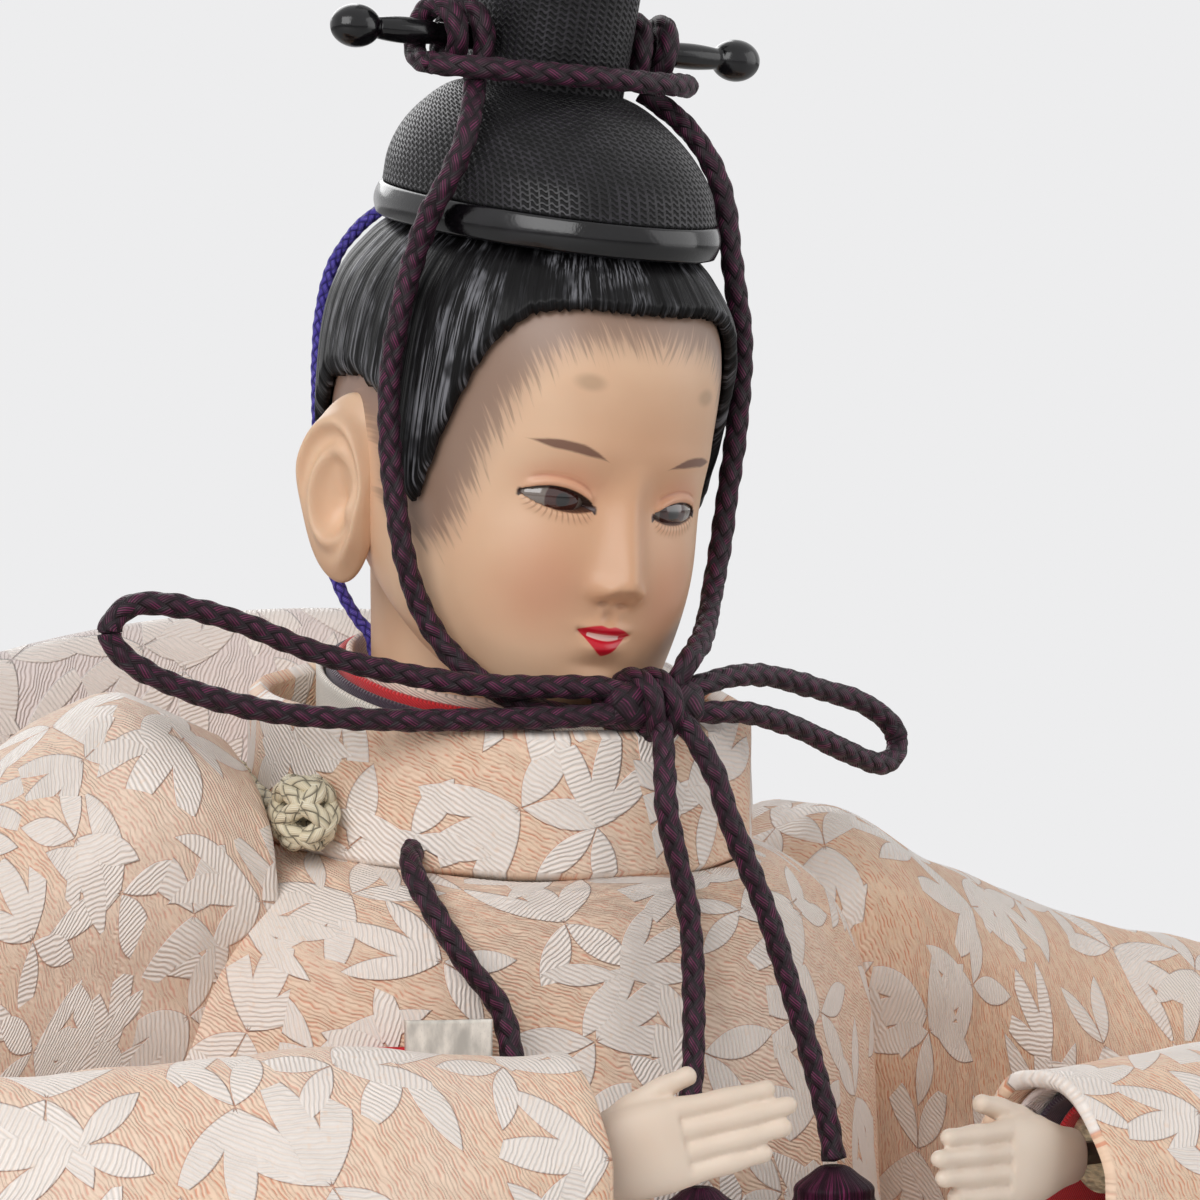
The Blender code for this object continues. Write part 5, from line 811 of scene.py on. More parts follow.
def strand_finish(name, dark, light, fineness, stretch, low, high, depth):
    """Combed silk: fine strands along the piece, with tufts painted lighter as highlights."""
    made, tree = new_finish(name)
    comb = use(tree, "combed", {"Vector": plan(tree), "Fineness": fineness, "Stretch": stretch})
    # Painted highlight: tufts of strands in the lighter colour
    tufts = rise(comb["Height"], 0.46, 0.60) * rise(comb["Tone"], 0.38, 0.56)
    tufts = tufts * rise(grain(tree, 0.007)["Cloud"], 0.44, 0.56, 0.08, 1.0)
    rough = rise(comb["Height"], 0.3, 0.7, high, low)
    bump = relief(comb["Tone"] * 2.5 + comb["Height"], depth)
    return filled(made, blended(tufts, dark, light), rough, bump, {"Specular IOR Level": 0.15})


def gauze_finish(name):
    """Stiff black gauze: lacquered threads painted lighter as a highlight, over dark holes."""
    made, tree = new_finish(name)
    across, up = sizes().gauze_across * 1000, sizes().gauze_up * 1000
    thread = use(tree, "gauze", {"Vector": plan(tree), "Across": across, "Up": up})["Height"]
    shade = colours().lacquer
    # Painted highlight on the threads: lacquer made three to nine times lighter in clouds
    light = blended(rise(grain(tree, 0.003)["Cloud"], 0.35, 0.7), times(shade, 3.0), times(shade, 9.0))
    body = blended(rise(thread, 0.5, 0.95), times(shade, 0.3), light)
    rough = rise(thread, 0.3, 0.9, 0.75, 0.34)
    return filled(made, body, rough, relief(thread, 0.00024), {"Specular IOR Level": 0.35})


def lacquer_finish(name):
    """Black lacquer with slight clouds in its gloss and a fine speckle."""
    made, tree = new_finish(name)
    worn = grain(tree, 0.004)
    shade = colours().lacquer
    body = blended(rise(worn["Cloud"], 0.4, 0.75), shade, times(shade, 2.6))
    rough = rise(worn["Cloud"], 0.3, 0.7, 0.10, 0.26)
    more = {"Specular IOR Level": 0.3, "Coat Weight": 0.35, "Coat Roughness": 0.08}
    return filled(made, body, rough, relief(worn["Speckle"], 0.00002), more)


def fibre_finish(name, shade, size, depth, rough, stretch):
    """Plain natural stuff, such as wood, straw or wool: streaks of tone and a rough face."""
    made, tree = new_finish(name)
    worn = grain(tree, size, stretched(object_place(tree), stretch))
    dark = times(shade, 0.6)
    both = blended(rise(worn["Cloud"], 0.3, 0.7), dark, times(shade, 1.15))
    both = blended(rise(worn["Speckle"], 0.55, 0.75, 0.0, 0.4), both, dark)
    roughness = rise(worn["Cloud"], 0.3, 0.7, rough - 0.1, rough + 0.05)
    return filled(made, both, roughness, relief(worn["Cloud"], depth))


def iron_finish(name):
    """Dark iron wire with brown clouds of rust."""
    made, tree = new_finish(name)
    worn = grain(tree, 0.003)["Cloud"]
    rust = rise(worn, 0.5, 0.7)
    body = blended(rust, tone(96, 92, 90), tone(92, 58, 40))
    return filled(made, body, rise(worn, 0.3, 0.7, 0.35, 0.7), None, {"Metallic": 1.0 - rust})


# How light goes into the coat of the face and the hands
SKIN_DEPTH = {"Subsurface Radius": (0.0012, 0.0006, 0.0004), "Subsurface Scale": 1.0}


def coat_finish(name, shade, deep, gloss):
    """A polished shell-white coat: faint clouds of a warmer tone and a fine grain."""
    made, tree = new_finish(name)
    worn = grain(tree, 0.012)
    body = blended(rise(worn["Cloud"], 0.35, 0.75, 0.0, 0.35), shade, deep)
    rough = rise(worn["Cloud"], 0.3, 0.7, gloss, gloss + 0.1)
    more = {"Subsurface Weight": 0.12, **SKIN_DEPTH}
    return filled(made, body, rough, relief(worn["Speckle"], 0.000015), more)


def painted(value, low, high, factor, under, shade):
    """A painted mark: where the value rises from low to high, the shade covers what is under it."""
    return blended(rise(value, low, high) * factor, under, shade)


def eye_share(side):
    """Where a place across lies along an eye: 0 at its middle, 1 and -1 at its corners."""
    return (side - EYE_PLACE[0] * 1000) / EYE_HALF_LENGTH


def lid_lines(share, open_to):
    """Upper and lower edge of an eye, in millimetres up: a slanted line with the lids' curves above and
    below, from the place along the eye and how open it is there."""
    centre = share * 0.30 + (EYE_PLACE[1] * 1000 - 0.56)
    return open_to**0.8 * 1.22 + centre, open_to * -0.78 + centre


def lips_part(side):
    """The line between the lips, in millimetres up: a parabola of the place across."""
    return side * side * 0.050 + 8.45


def face_finish(name):
    """The face's coat with its painted marks. The map gives the place in front view, in millimetres:
    across from the middle and up from the chin. Attributes give how far the hairline is, and how far
    forward the place lies."""
    made, tree = new_finish(name)
    shades = colours()
    place = parts_of(plan(tree))
    side, z = abs(place[0]), place[1]

    def attribute(key):
        return put(tree, "Attribute", attribute_name=key)["Fac"]

    def oval_value(middle_x, middle_z, wide, high):
        a, b = (side - middle_x) / wide, (z - middle_z) / high
        return (a * a + b * b).maths("SQRT")

    worn = grain(tree, 0.014)
    skin = blended(rise(worn["Cloud"], 0.35, 0.7, 0.0, 0.25), shades.skin, shades.skin_warmth_and_shade)
    # Painted shade over the middle of the face
    skin = painted(oval_value(0.0, 17.0, 15.5, 22.0), 1.0, 0.25, 0.60, skin, shades.skin_warmth_and_shade)
    skin = painted(oval_value(7.0, 12.5, 5.5, 7.5), 1.0, 0.1, 0.50, skin, tone(206, 142, 112))
    skin = painted(oval_value(6.8, 22.6, 5.0, 3.0), 1.0, 0.3, 0.45, skin, tone(212, 146, 116))

    # Soft grey-brown band below the hairline, broken into strokes at its lower edge
    away = attribute("hair_distance")
    reach = 4.6
    strokes = noise(flat_place((z * -0.42 + side) * 3.6, z * 0.20), 1.0, 2.0, 0.6)
    skin = painted(reach - away, -1.6, 2.8, 0.55, skin, tone(134, 108, 100))
    skin = painted((strokes - 0.5) * 10.0 + reach - away, -0.3, 2.2, 0.50, skin, tone(104, 82, 74))

    # High brow smudges
    skin = painted(oval_value(6.9, 32.7, 1.9, 1.15), 1.0, 0.3, 0.45, skin, tone(158, 130, 104))

    # Brows: one arched line each, thin at both ends, drawn in fine strokes
    inward = (8.0 - side).maths("MAXIMUM", 0.0)
    arch = inward * inward * -0.048 + 26.35
    half = rise(side, 2.4, 6.4) * rise(side, 11.6, 8.2) * 0.62 - 0.05
    hairs = noise(stretched(plan(tree), (1.2, 9.0, 1.0)), 1.0)
    line = (hairs - 0.5) * 0.16 + (half - abs(z - arch))
    skin = painted(line, -0.04, 0.26, 0.88, skin, tone(104, 66, 52))

    # Painted shade in the crease of the upper lid, then the lash line and fine lashes below the eye
    share = eye_share(side)
    squared = share * share
    upper, lower = lid_lines(share, (1.0 - squared).maths("MAXIMUM", 0.0))
    crease = rise(abs(z - (upper + 1.15)), 0.30, 0.0) * rise(squared, 0.95, 0.4)
    # Painted shade along the lid's crease
    skin = painted(crease, 0.0, 1.0, 0.55, skin, tone(188, 122, 92))
    above, below = z - upper, lower - z
    within = rise(squared, 1.25, 0.95)
    lash = rise(above, 0.30, 0.04) * rise(above, -0.6, -0.3)
    skin = painted(lash * within, 0.0, 0.8, 0.97, skin, tone(34, 16, 14))
    rim = rise(below, 0.24, 0.02) * rise(below, -0.5, -0.25)
    skin = painted(rim * within, 0.0, 1.0, 0.92, skin, tone(58, 26, 22))
    fine = rise(wave(below * (share * -0.8) + side, 1 / 0.42), 0.1, 0.9)
    fine = fine * (rise(below, 1.7, 0.3) * rise(below, -0.1, 0.05)) * rise(squared, 1.1, 0.6)
    skin = painted(fine, 0.0, 1.0, 0.50, skin, tone(140, 92, 66))

    # Lips: an upper bow and a fuller lower lip, with a pale gap between
    wide = 3.1
    part = lips_part(side)
    spread = 1.0 - (side / wide) ** 2.0
    top = spread * 1.35 + part - rise(side, 0.9, 0.0) * 0.20
    bottom = part - rise(side, 3.2, -0.2) * 1.90
    inside = (top - z).maths("MINIMUM", z - bottom).maths("MINIMUM", wide - side)
    inside = inside * rise(attribute("forward"), 0.0, 1.0)
    skin = painted(inside, -0.02, 0.18, 1.0, skin, shades.lips)
    gap = spread.maths("MAXIMUM", 0.0) * 0.34 - abs(z - part)
    skin = painted(gap.maths("MINIMUM", 1.8 - side), 0.0, 0.10, 0.9, skin, tone(238, 206, 196))

    # Shade of the nostrils and of the groove above the lip
    skin = painted(oval_value(1.1, 11.75, 0.75, 0.40), 1.2, 0.4, 0.35, skin, tone(150, 98, 72))
    skin = painted(oval_value(0.0, 10.6, 0.8, 0.7), 1.1, 0.2, 0.25, skin, tone(150, 110, 80))
    more = {"Subsurface Weight": 0.10, **SKIN_DEPTH}
    rough = rise(inside, 0.0, 0.2, 0.40, 0.28)
    return filled(made, skin, rough, relief(worn["Speckle"], 0.000012), more)


def eye_finish(name):
    """Glass eyes: the white painted grey-brown as shade under the lids, a brown iris with a dark pupil,
    looking down, under a clear coat.
    """
    made, tree = new_finish(name)
    place = parts_of(plan(tree))
    x = abs(place[0]) - (EYE_PLACE[0] * 1000 - 0.30)
    z = place[1] - (EYE_PLACE[1] * 1000 - 0.40)
    away = (x * x + z * z).maths("SQRT")
    ray = noise(stretched(plan(tree), (3.0, 3.0, 1.0)), 2.0)
    iris = blended(ray, tone(40, 14, 10), tone(78, 30, 20))
    # Painted shade: the eye's white is grey-brown
    eye = blended(rise(away, 1.75, 1.58), tone(118, 106, 98), iris)
    eye = blended(rise(away, 0.75, 0.6), eye, tone(12, 7, 6))
    return filled(made, eye, rise(ray, 0.0, 1.0, 0.04, 0.08), None, {"Coat Weight": 1.0})


def finish(name):
    """The named finish, made when it is first asked for."""
    if "look_" + name in bpy.data.materials:
        return bpy.data.materials["look_" + name]
    if "thread_ribs" not in bpy.data.node_groups:
        make_groups()
    shades = colours()
    makers = {
        "brocade": (brocade_finish, shades.ground, shades.ground_deep, shades.leaf, 1.0),
        "pale_brocade": (brocade_finish, shades.pale, times(shades.pale, 0.86), shades.leaf, 0.5),
        # Each cord's second colour is its painted highlight
        "braid": (cord_finish, shades.cord, shades.cord_painted_highlight, sizes().braid_pitch * 1000),
        "violet_braid": (cord_finish, shades.violet, tone(140, 126, 226), NAPE_PITCH * 1000),
        "cream_cord": (cord_finish, shades.cream, tone(246, 240, 220), FINE_PITCH * 1000),
        # The tassel's and the hair's second colour is the painted highlight on their tufts
        "tassel": (strand_finish, shades.cord, shades.cord_painted_highlight, 5.0, 0.04, 0.4, 0.6, 0.00009),
        "hair": (strand_finish, shades.hair, tone(122, 122, 127), 3.6, 0.036, 0.30, 0.50, 0.00010),
        "gauze": (gauze_finish,),
        "lacquer": (lacquer_finish,),
        "red_silk": (silk_finish, shades.red),
        "purple_silk": (silk_finish, shades.purple),
        "white_silk": (silk_finish, shades.paper),
        "cream_silk": (silk_finish, tone(236, 214, 200), 0.3, 0.3),
        "trouser_silk": (silk_finish, tone(226, 220, 232), 0.4, 0.0),
        "belt_silk": (silk_finish, tone(30, 28, 30), 0.5, 0.0),
        "white_paper": (fibre_finish, shades.paper, 0.0016, 0.00003, 0.8, (1, 1, 0.4)),
        "red_paper": (fibre_finish, shades.red, 0.0012, 0.00003, 0.75, (1, 1, 0.4)),
        "straw": (fibre_finish, tone(206, 172, 104), 0.0012, 0.0004, 0.85, (6, 6, 0.35)),
        "wood": (fibre_finish, tone(206, 170, 124), 0.004, 0.0001, 0.6, (8, 0.6, 8)),
        "wood_wool": (fibre_finish, tone(222, 206, 170), 0.0012, 0.0004, 0.95, (3, 1, 3)),
        "iron": (iron_finish,),
        "hands": (coat_finish, shades.hand, tone(218, 190, 166), 0.42),
        "skin_coat": (coat_finish, shades.skin, shades.skin_warmth_and_shade, 0.40),
        "face": (face_finish,),
        "eyes": (eye_finish,),
    }
    maker, *values = makers[name]
    return maker(name, *values)


# The doll's own surfaces


def folded(grid, depth, folds, fade, phase, angle):
    """Folds pressed into the stack: two cosines of the angle, outwards and level, fading up the rows."""
    wave = np.cos(folds * angle + phase) + 0.45 * np.cos((2 * folds + 1) * angle + 2 * phase)
    away = grid - grid.mean(axis=1, keepdims=True)
    away[..., 2] = 0
    away /= np.linalg.norm(away, axis=2, keepdims=True)
    return grid + away * (depth / 1.45 * np.asarray(fade) * wave)[..., None]


def bodice_surface(rows=90, cols=300):
    """The chest part: ovals from the waist to the neck edge, which rises towards the back by a slope
    that grows with the cube of the height, with six soft folds."""
    share, angle = np.linspace(0, 1, rows), turns(cols)
    grid = stack(BODICE_SHARES, BODICE, share, angle, 2.15)
    grid[..., 2] += share[:, None] ** 3 * 0.09 * (grid[..., 1] + 0.008)
    fade = np.abs(np.sin((0.15 + 0.85 * share) * math.pi))[:, None] ** 0.7
    return folded(grid, 0.0007, 6, fade, 0.6, angle)


def skirt_surface(share, angle, lift=0.0):
    """The lower robe: its distance out is the waist's plus a spread that falls with the height, with
    seven folds that fade upwards. lift moves the hem up at each angle."""
    share = np.asarray(share, float).reshape(-1, 1)
    low = np.broadcast_to(lift, angle.shape)[None, :] / SKIRT_HEIGHT
    place = low + (1 - low) * share
    table = curve_through(SKIRT_SHARES, place * (len(SKIRT_SHARES) - 1))
    sides = [WAIST[k] + (SKIRT_REACH[k] - WAIST[k]) * table[..., k + 1] for k in range(3)]
    grid = oval(*sides, SKIRT_BOTTOM + SKIRT_HEIGHT * table[..., 0], angle[None, :], 2.3)
    fade = np.clip(1.15 - 1.5 * place, 0, 1)
    return folded(grid, 0.0014, 7, fade, 0.3, angle)


def hem_arch(angle):
    """How far the front hem is drawn up over the knees: a half oval of the place across."""
    hem = skirt_surface([0.0], angle)[0]
    rise_up = 0.0150 * np.sqrt(np.clip(1 - (hem[:, 0] / 0.046) ** 2, 0, 1))
    return np.where(hem[:, 1] < -0.05, rise_up, 0.0)


def sleeve_surface(side, share, inset=0.0, cols=220):
    """A hanging sleeve: upright sections along the arm. A section's place across is the cosine of the
    angle to the power 0.9 times the taper at its height, and its height the sine to the power 0.8."""
    table = curve_through(SLEEVE_SHARES, share * (len(SLEEVE_SHARES) - 1))
    out, front, thick, high, low = table.T
    sign, top, cuff_top = (-1, 0.1310, 0.1030) if side == "right" else (1, 0.1180, 0.0975)
    high = high if side == "right" else np.maximum(high, 0) ** 1.7
    line = np.column_stack([sign * 0.1010 * out, -0.0625 * front])
    thick = 0.0180 * thick + 0.0009 * np.sin(5 * math.pi * share)
    top = cuff_top + (top - cuff_top) * high
    low = 0.0180 + (0.0540 - 0.0180) * low
    ahead = np.gradient(line, axis=0)
    ahead /= np.linalg.norm(ahead, axis=1, keepdims=True)
    angle = turns(cols, -math.pi / 2)
    across, upward = bent(np.cos(angle), 0.9), bent(np.sin(angle), 0.8)
    taper = np.interp((upward + 1) / 2, *zip(*SLEEVE_TAPER))
    offset = across * (taper * thick[:, None] - inset)
    x = line[:, :1] + ahead[:, 1:] * offset
    y = line[:, 1:] - ahead[:, :1] * offset
    z = ((top + low) / 2)[:, None] + upward * ((top - low) / 2 - inset)[:, None]
    return np.stack([x, y, z], axis=-1)


def chest_front(x, z):
    """The chest part's surface in front, at places across and up: its nearest point's depth."""
    front = bodice_surface(160, 480).reshape(-1, 3)
    front = front[(front[:, 1] < 0) & (np.abs(front[:, 0]) < 0.04)]
    away = (front[:, 0] - x[..., None]) ** 2 + (front[:, 2] - z[..., None]) ** 2
    return front[:, 1][away.argmin(axis=-1)]


def skull_surface(rows, cols):
    """The head in its own frame: ovals from chin to crown. Columns crowd at the face: the angle is its
    even value less half its sine."""
    even = np.linspace(-math.pi, math.pi, cols, endpoint=False)
    angle = -math.pi / 2 + even - 0.55 * np.sin(even)
    return stack(SKULL_SHARES, SKULL, np.linspace(0, 1, rows), angle, 2.15)


def face_place(grid):
    """Across and up in millimetres, in a frame leaning 4 degrees on the head, as the doll's face is set."""
    x, z = grid[..., 0] * 1000, grid[..., 2] * 1000
    return x + 0.070 * (21.0 - z), z + 0.070 * x


def face_relief(x, z):
    """How far the face stands forward, in millimetres, from the place in front view in millimetres:
    humps and hollows for brow, sockets, lids, nose, lips and chin, and the eyes' openings pushed in."""
    side = np.abs(x)
    climb = np.clip((25.6 - z) / 11.2, 0, 1)
    wide = 1.35 + 0.95 * climb
    bridge = 3.05 * climb**1.25 * step(z, 11.6, 13.9) * np.exp(-((side / wide) ** 2))
    wings = 1.10 * bump_at(side, z, 2.0, 13.0, 0.95, 1.05)
    nostrils = -0.45 * bump_at(side, z, 1.0, 11.9, 0.60, 0.40)
    philtrum = -0.25 * bump_at(side, z, 0.0, 10.7, 0.60, 0.8) + 0.12 * bump_at(side, z, 1.0, 10.6, 0.4, 0.8)
    lips = 0.60 * bump_at(side, z, 0.0, 9.35, 2.4, 0.62) + 0.80 * bump_at(side, z, 0.0, 7.45, 1.8, 0.80)
    line = -0.45 * np.exp(-(((z - lips_part(side)) / 0.28) ** 2)) * step(side, 3.3, 2.4)
    chin = -0.40 * bump_at(side, z, 0.0, 5.5, 2.4, 0.8) + 0.55 * bump_at(side, z, 0.0, 2.9, 3.0, 1.7)
    cheeks = 0.55 * bump_at(side, z, 9.0, 13.5, 4.5, 4.5)
    hollow = -0.85 * bump_at(side, z, 6.6, 21.6, 4.2, 2.7) - 0.35 * bump_at(side, z, 3.0, 22.0, 1.6, 2.4)
    brow = 0.25 * bump_at(side, z, 7.0, 26.3, 5.0, 1.5)
    open_to = np.clip(1 - eye_share(side) ** 2, 0, 1)
    upper, lower = lid_lines(eye_share(side), open_to)
    lid = 0.62 * np.exp(-(((z - upper - 0.45) / 0.55) ** 2)) * step(open_to, -0.05, 0.45)
    crease = -0.30 * np.exp(-(((z - upper - 1.15) / 0.22) ** 2)) * step(open_to, 0.05, 0.5)
    under = 0.24 * np.exp(-(((z - lower + 0.45) / 0.5) ** 2)) * step(open_to, 0.0, 0.5)
    inside = step(np.minimum(upper - z, z - lower), -0.05, 0.16) * step(open_to, 0.0, 0.06)
    plain = bridge + wings + nostrils + philtrum + lips + line + chin + cheeks + hollow + brow
    return plain + lid + crease + under - 1.5 * inside


def hair_edge_distance(grid):
    """For each place of the head, how far below the hair's lower edge it is, in millimetres."""
    lowest, height = zip(*HAIR_EDGE)
    over = grid[..., 2] > np.interp(grid[..., 1], lowest, height)
    row = over.argmax(axis=0)
    edge = grid[row, np.arange(grid.shape[1])]
    fine = np.linspace(0, len(edge) - 1, 6 * len(edge))
    edge = np.column_stack([np.interp(fine, np.arange(len(edge)), side) for side in edge.T])
    away = np.stack([np.linalg.norm(ring[:, None] - edge[None], axis=2).min(axis=1) for ring in grid])
    return np.where(over, -away, away) * 1000


def braid_relief(cols, run, pitch, strands=4):
    """Height of a braid, 0 to 1, round the cord and along its run: the fractions of strands times the
    turn plus and minus run over pitch; the parity of their whole parts says which family is on top."""
    turn = np.arange(cols)[None, :] / cols * strands
    first, second = turn + run[:, None] / pitch, turn - run[:, None] / pitch
    upper = (np.floor(first) + np.floor(second)) % 2 > 0.5
    own = np.where(upper, first % 1, second % 1)
    other = np.where(upper, second % 1, first % 1)
    return np.abs(np.sin(math.pi * own)) ** 0.6 * (0.6 + 0.4 * np.sin(math.pi * other))


def braided(name, route, radius, body, finish_name, pitch=None, cols=24, reference=None, spacing=0.00016):
    """A braided cord along a route: circles whose radius falls between the strands."""
    path = even_path(route, spacing)
    pitch = sizes().braid_pitch if pitch is None else pitch
    ahead = np.gradient(path, axis=0)
    if reference is None:
        reference = (1, 0.2, 0) if np.abs(ahead[:, 2]).sum() > np.abs(ahead[:, 0]).sum() else (0, 0, 1)
    run = run_of(path)
    soft = 1 + 0.035 * crumple(path, 0.004, 5)[:, None]
    round_it = radius * (0.84 + 0.17 * braid_relief(cols, run, pitch)) * soft
    grid = capped(tube(path, round_it, reference, turns(cols, 0.0)), 0.2 * radius)
    u = np.linspace(0, 1, cols + 1)[None, :] + 0 * grid[:, :1, 0]
    v = np.concatenate([run[:1], run, run[-1:]])[:, None] * 1000 + 0 * u
    item = make(name, grid, body, finish(finish_name), uv=np.stack([u, v], axis=-1), weld=True)
    return item, path


def strip_wall(outer, thickness):
    """An open surface given a wall: the wall's closed section is carried along the columns, with both
    ends drawn together. Returns the grid and its map."""
    wall = np.swapaxes(walled(outer, thickness, around=False), 0, 1)
    uv = np.swapaxes(wall_rows(cloth_uv(outer, around=False)), 0, 1)
    return capped(wall), cap_rows(uv)


def walled_piece(name, outer, thickness, body, finish_name):
    """A closed wall behind a surface that goes all the way round."""
    grid = walled(outer, thickness)
    return make(name, grid, body, finish(finish_name), along=True, uv=wall_rows(cloth_uv(outer)))


def turned(profile, sides, rows):
    """A profile of pairs of height and radius turned about the Z axis, read as a smooth curve."""
    table = curve_through(profile, np.linspace(0, len(profile) - 1, rows))
    angle = turns(sides)
    x, y = np.cos(angle) * table[:, 1:], np.sin(angle) * table[:, 1:]
    return np.stack([x, y, table[:, :1] + 0 * x], axis=-1)


class SizedOperator:
    """What all the doll's operators share."""

    bl_options = {"REGISTER", "UNDO"}

    def execute(self, context):
        self.build()
        return {"FINISHED"}


class MakeCamera(SizedOperator, bpy.types.Operator):
    """Camera at the photograph's angle: from the doll's front right, a little above the eyes"""

    bl_idname = "doll.camera"
    bl_label = "Camera"

    def build(self):
        data = bpy.data.cameras.new("camera")
        camera = linked("camera", data)
        target = Vector((0.0119, -0.0074, 0.1395))
        azimuth, elevation, far, seen_width = math.radians(-32), math.radians(3), 0.65, 0.120
        level = math.cos(elevation)
        away = Vector((math.sin(azimuth) * level, -math.cos(azimuth) * level, math.sin(elevation)))
        camera.location = target + away * far
        camera.rotation_euler = away.to_track_quat("Z", "Y").to_euler()
        data.sensor_width = 36
        data.lens = data.sensor_width * far / seen_width
        data.clip_start = 0.01
        bpy.context.scene.camera = camera


# Where a cord's end goes on, out of sight, into the bow's knot, the collar or the crown's rim
HIDDEN_STARTS = {
    "bow_loop_right": (0.0000, -0.0314, 0.1302),
    "bow_loop_left": (0.0056, -0.0314, 0.1300),
    "cord_tail_right": (0.0024, -0.0318, 0.1300),
    "cord_tail_left": (0.0044, -0.0318, 0.1300),
    "chest_cord": (-0.0189, -0.0230, 0.1174),
    "nape_cord": (-0.0074, 0.0026, 0.1786),
}
HIDDEN_ENDS = {
    "bow_loop_right": (0.0000, -0.0312, 0.1318),
    "bow_loop_left": (0.0056, -0.0310, 0.1316),
    "side_cord_right": (-0.0004, -0.0302, 0.1303),
    "side_cord_left": (0.0052, -0.0316, 0.1322),
    "nape_cord": (-0.0060, 0.0067, 0.1336),
}


class MakeCords(SizedOperator, bpy.types.Operator):
    """Braided cords of the crown, their bow, tassels and windings, the nape cord and the chest cord"""

    bl_idname = "doll.cords"
    bl_label = "Cords"

    def build(self):
        thick, thin = sizes().cord_diameter, sizes().nape_cord_diameter
        made = {}
        for name, route in CORD_ROUTES.items():
            nape = name == "nape_cord"
            body = "trunk" if name == "chest_cord" else "head"
            wide, kind = (thin, "violet_braid") if nape else (thick, "braid")
            pitch = NAPE_PITCH if nape else sizes().braid_pitch
            before = [HIDDEN_STARTS[name]] if name in HIDDEN_STARTS else []
            after = [HIDDEN_ENDS[name]] if name in HIDDEN_ENDS else []
            item, path = braided("silk_" + name, [*before, *route, *after], wide / 2, body, kind, pitch)
            made[name] = stand_for(item, name), path, wide
        self.knot()
        tassels = {side: self.tassel(side) for side in ("right", "left")}
        self.windings()
        end = self.end_knot()
        far = {"cord_tail_right": ("knot", tassels["right"]), "cord_tail_left": ("knot", tassels["left"])}
        far["chest_cord"] = ("knot", end)
        for name, (item, path, wide) in made.items():
            kind, extra = far.get(name, ("object", None))
            path[::4].tolist() + [path[-1].tolist()]

    def knot(self):
        """Two turns of cord round the crossing cords, which show at both sides."""
        rows = ((-1, 0.60), (-0.90, 0.86), (-0.55, 1.0), (0.55, 1.0), (0.90, 0.86), (1, 0.60))
        along, girth = curve_through(rows, np.linspace(0, 5, 60)).T
        angle = turns(40, 0.0)
        relief = 1 + 0.05 * braid_relief(40, along * 0.0054, 0.0026)
        y = 0.0026 * girth[:, None] * bent(np.cos(angle), 2 / 2.6) * relief
        z = 0.0023 * girth[:, None] * bent(np.sin(angle), 2 / 2.6) * relief
        grid = np.stack([along[:, None] * 0.0054 + 0 * y, y, z], axis=-1) + (0.0026, -0.0310, 0.1307)
        uv = np.stack(np.meshgrid(np.linspace(0, 1.5, 41), np.r_[-1, along, 1] * 5.4), axis=-1)
        core = make("bow_knot_core", capped(grid), "head", finish("braid"), uv=uv, weld=True)
        stand_for(core, "bow_knot")
        t = np.linspace(0, 2 * math.pi * 2, 40)
        place = -0.0021 + 0.0042 * t / t[-1]
        route = np.column_stack([place + 0.0026, -0.0310 + 0.0030 * np.cos(t), 0.1307 + 0.0027 * np.sin(t)])
        wrap, _ = braided("bow_knot_wrap", route, 0.00105, "head", "braid", reference=(1, 0, 0))

    def tassel(self, side):
        """A bound head and a skirt of silk threads: the profile's radius swells with 26 tufts round."""
        profile = (
            (-1.00, 0.10), (-1.00, 0.74), (-0.90, 0.84), (-0.50, 0.74), (-0.36, 0.62), (-0.32, 0.70),
            (-0.27, 0.93), (-0.19, 1.00), (-0.10, 0.90), (-0.03, 0.55), (0.00, 0.28), (0.00, 0.05),
        )
        rows, cols = 120, 104
        table = curve_through(profile, np.linspace(0, len(profile) - 1, rows))
        angle = turns(cols)
        top = np.array(CORD_ROUTES["cord_tail_" + side][-1]) - (0, 0, 0.0006)
        skirt = step(table[:, :1], -0.30, -0.40)
        tufts = 0.06 * skirt * np.cos(26 * angle + 3 * table[:, :1])
        bound = 0.05 * (1 - skirt) * np.sin(60 * table[:, :1])
        radius = 0.0043 * table[:, 1:] * (1 + tufts + bound)
        x, y = radius * np.cos(angle), radius * np.sin(angle)
        grid = np.stack([x, y, 0.0230 * table[:, :1] + 0 * x], axis=-1) + top
        u = np.linspace(0, 27, cols + 1)[None, :] + 0 * table[:, :1]
        uv = cap_rows(np.stack([u, table[:, :1] * 23 + 0 * u], axis=-1))
        item = make("tassel_silk_" + side, capped(grid), "head", finish("tassel"), uv=uv, weld=True)
        return stand_for(item, "tassel_" + side)

    def windings(self):
        """The cord wound about the pin on both sides, a helix of radius 2.75 mm, and its pass in front."""
        for side, sign in (("right", -1), ("left", 1)):
            turn = np.arange(0, 1.76, 0.125)
            angle = math.pi - 2 * math.pi * turn
            helix = np.column_stack(
                [
                    sign * (0.0090 + 0.0030 * turn),
                    PIN_DEPTH + 0.00275 * np.cos(angle),
                    PIN_HEIGHT + 0.00275 * np.sin(angle),
                ]
            )
            route = np.vstack([helix[0] - (0, 0, 0.0023), helix, helix[-1] - (0, 0.0023, 0)])
            name = "cord_winding_" + side
            item, _ = braided("silk_" + name, in_world(route), 0.00115, "head", "braid", reference=(1, 0, 0))
            stand_for(item, name)
        half = np.array(((2.035, -0.36, -2.39), (1.98, -0.5, -2.36), (1.6, -0.82, -2.2), (1.05, -1.07, -2.1)))
        rows = np.vstack([half * (-1, 1, 1), [(0, -1.22, -2.0)], half[::-1]])
        front = rows * (*HOUSING[:2], 0.00115) + (0, PIN_DEPTH, PIN_HEIGHT)
        item, _ = braided("silk_cord_across_front", in_world(front), 0.00115, "head", "braid")
        stand_for(item, "cord_across_front")

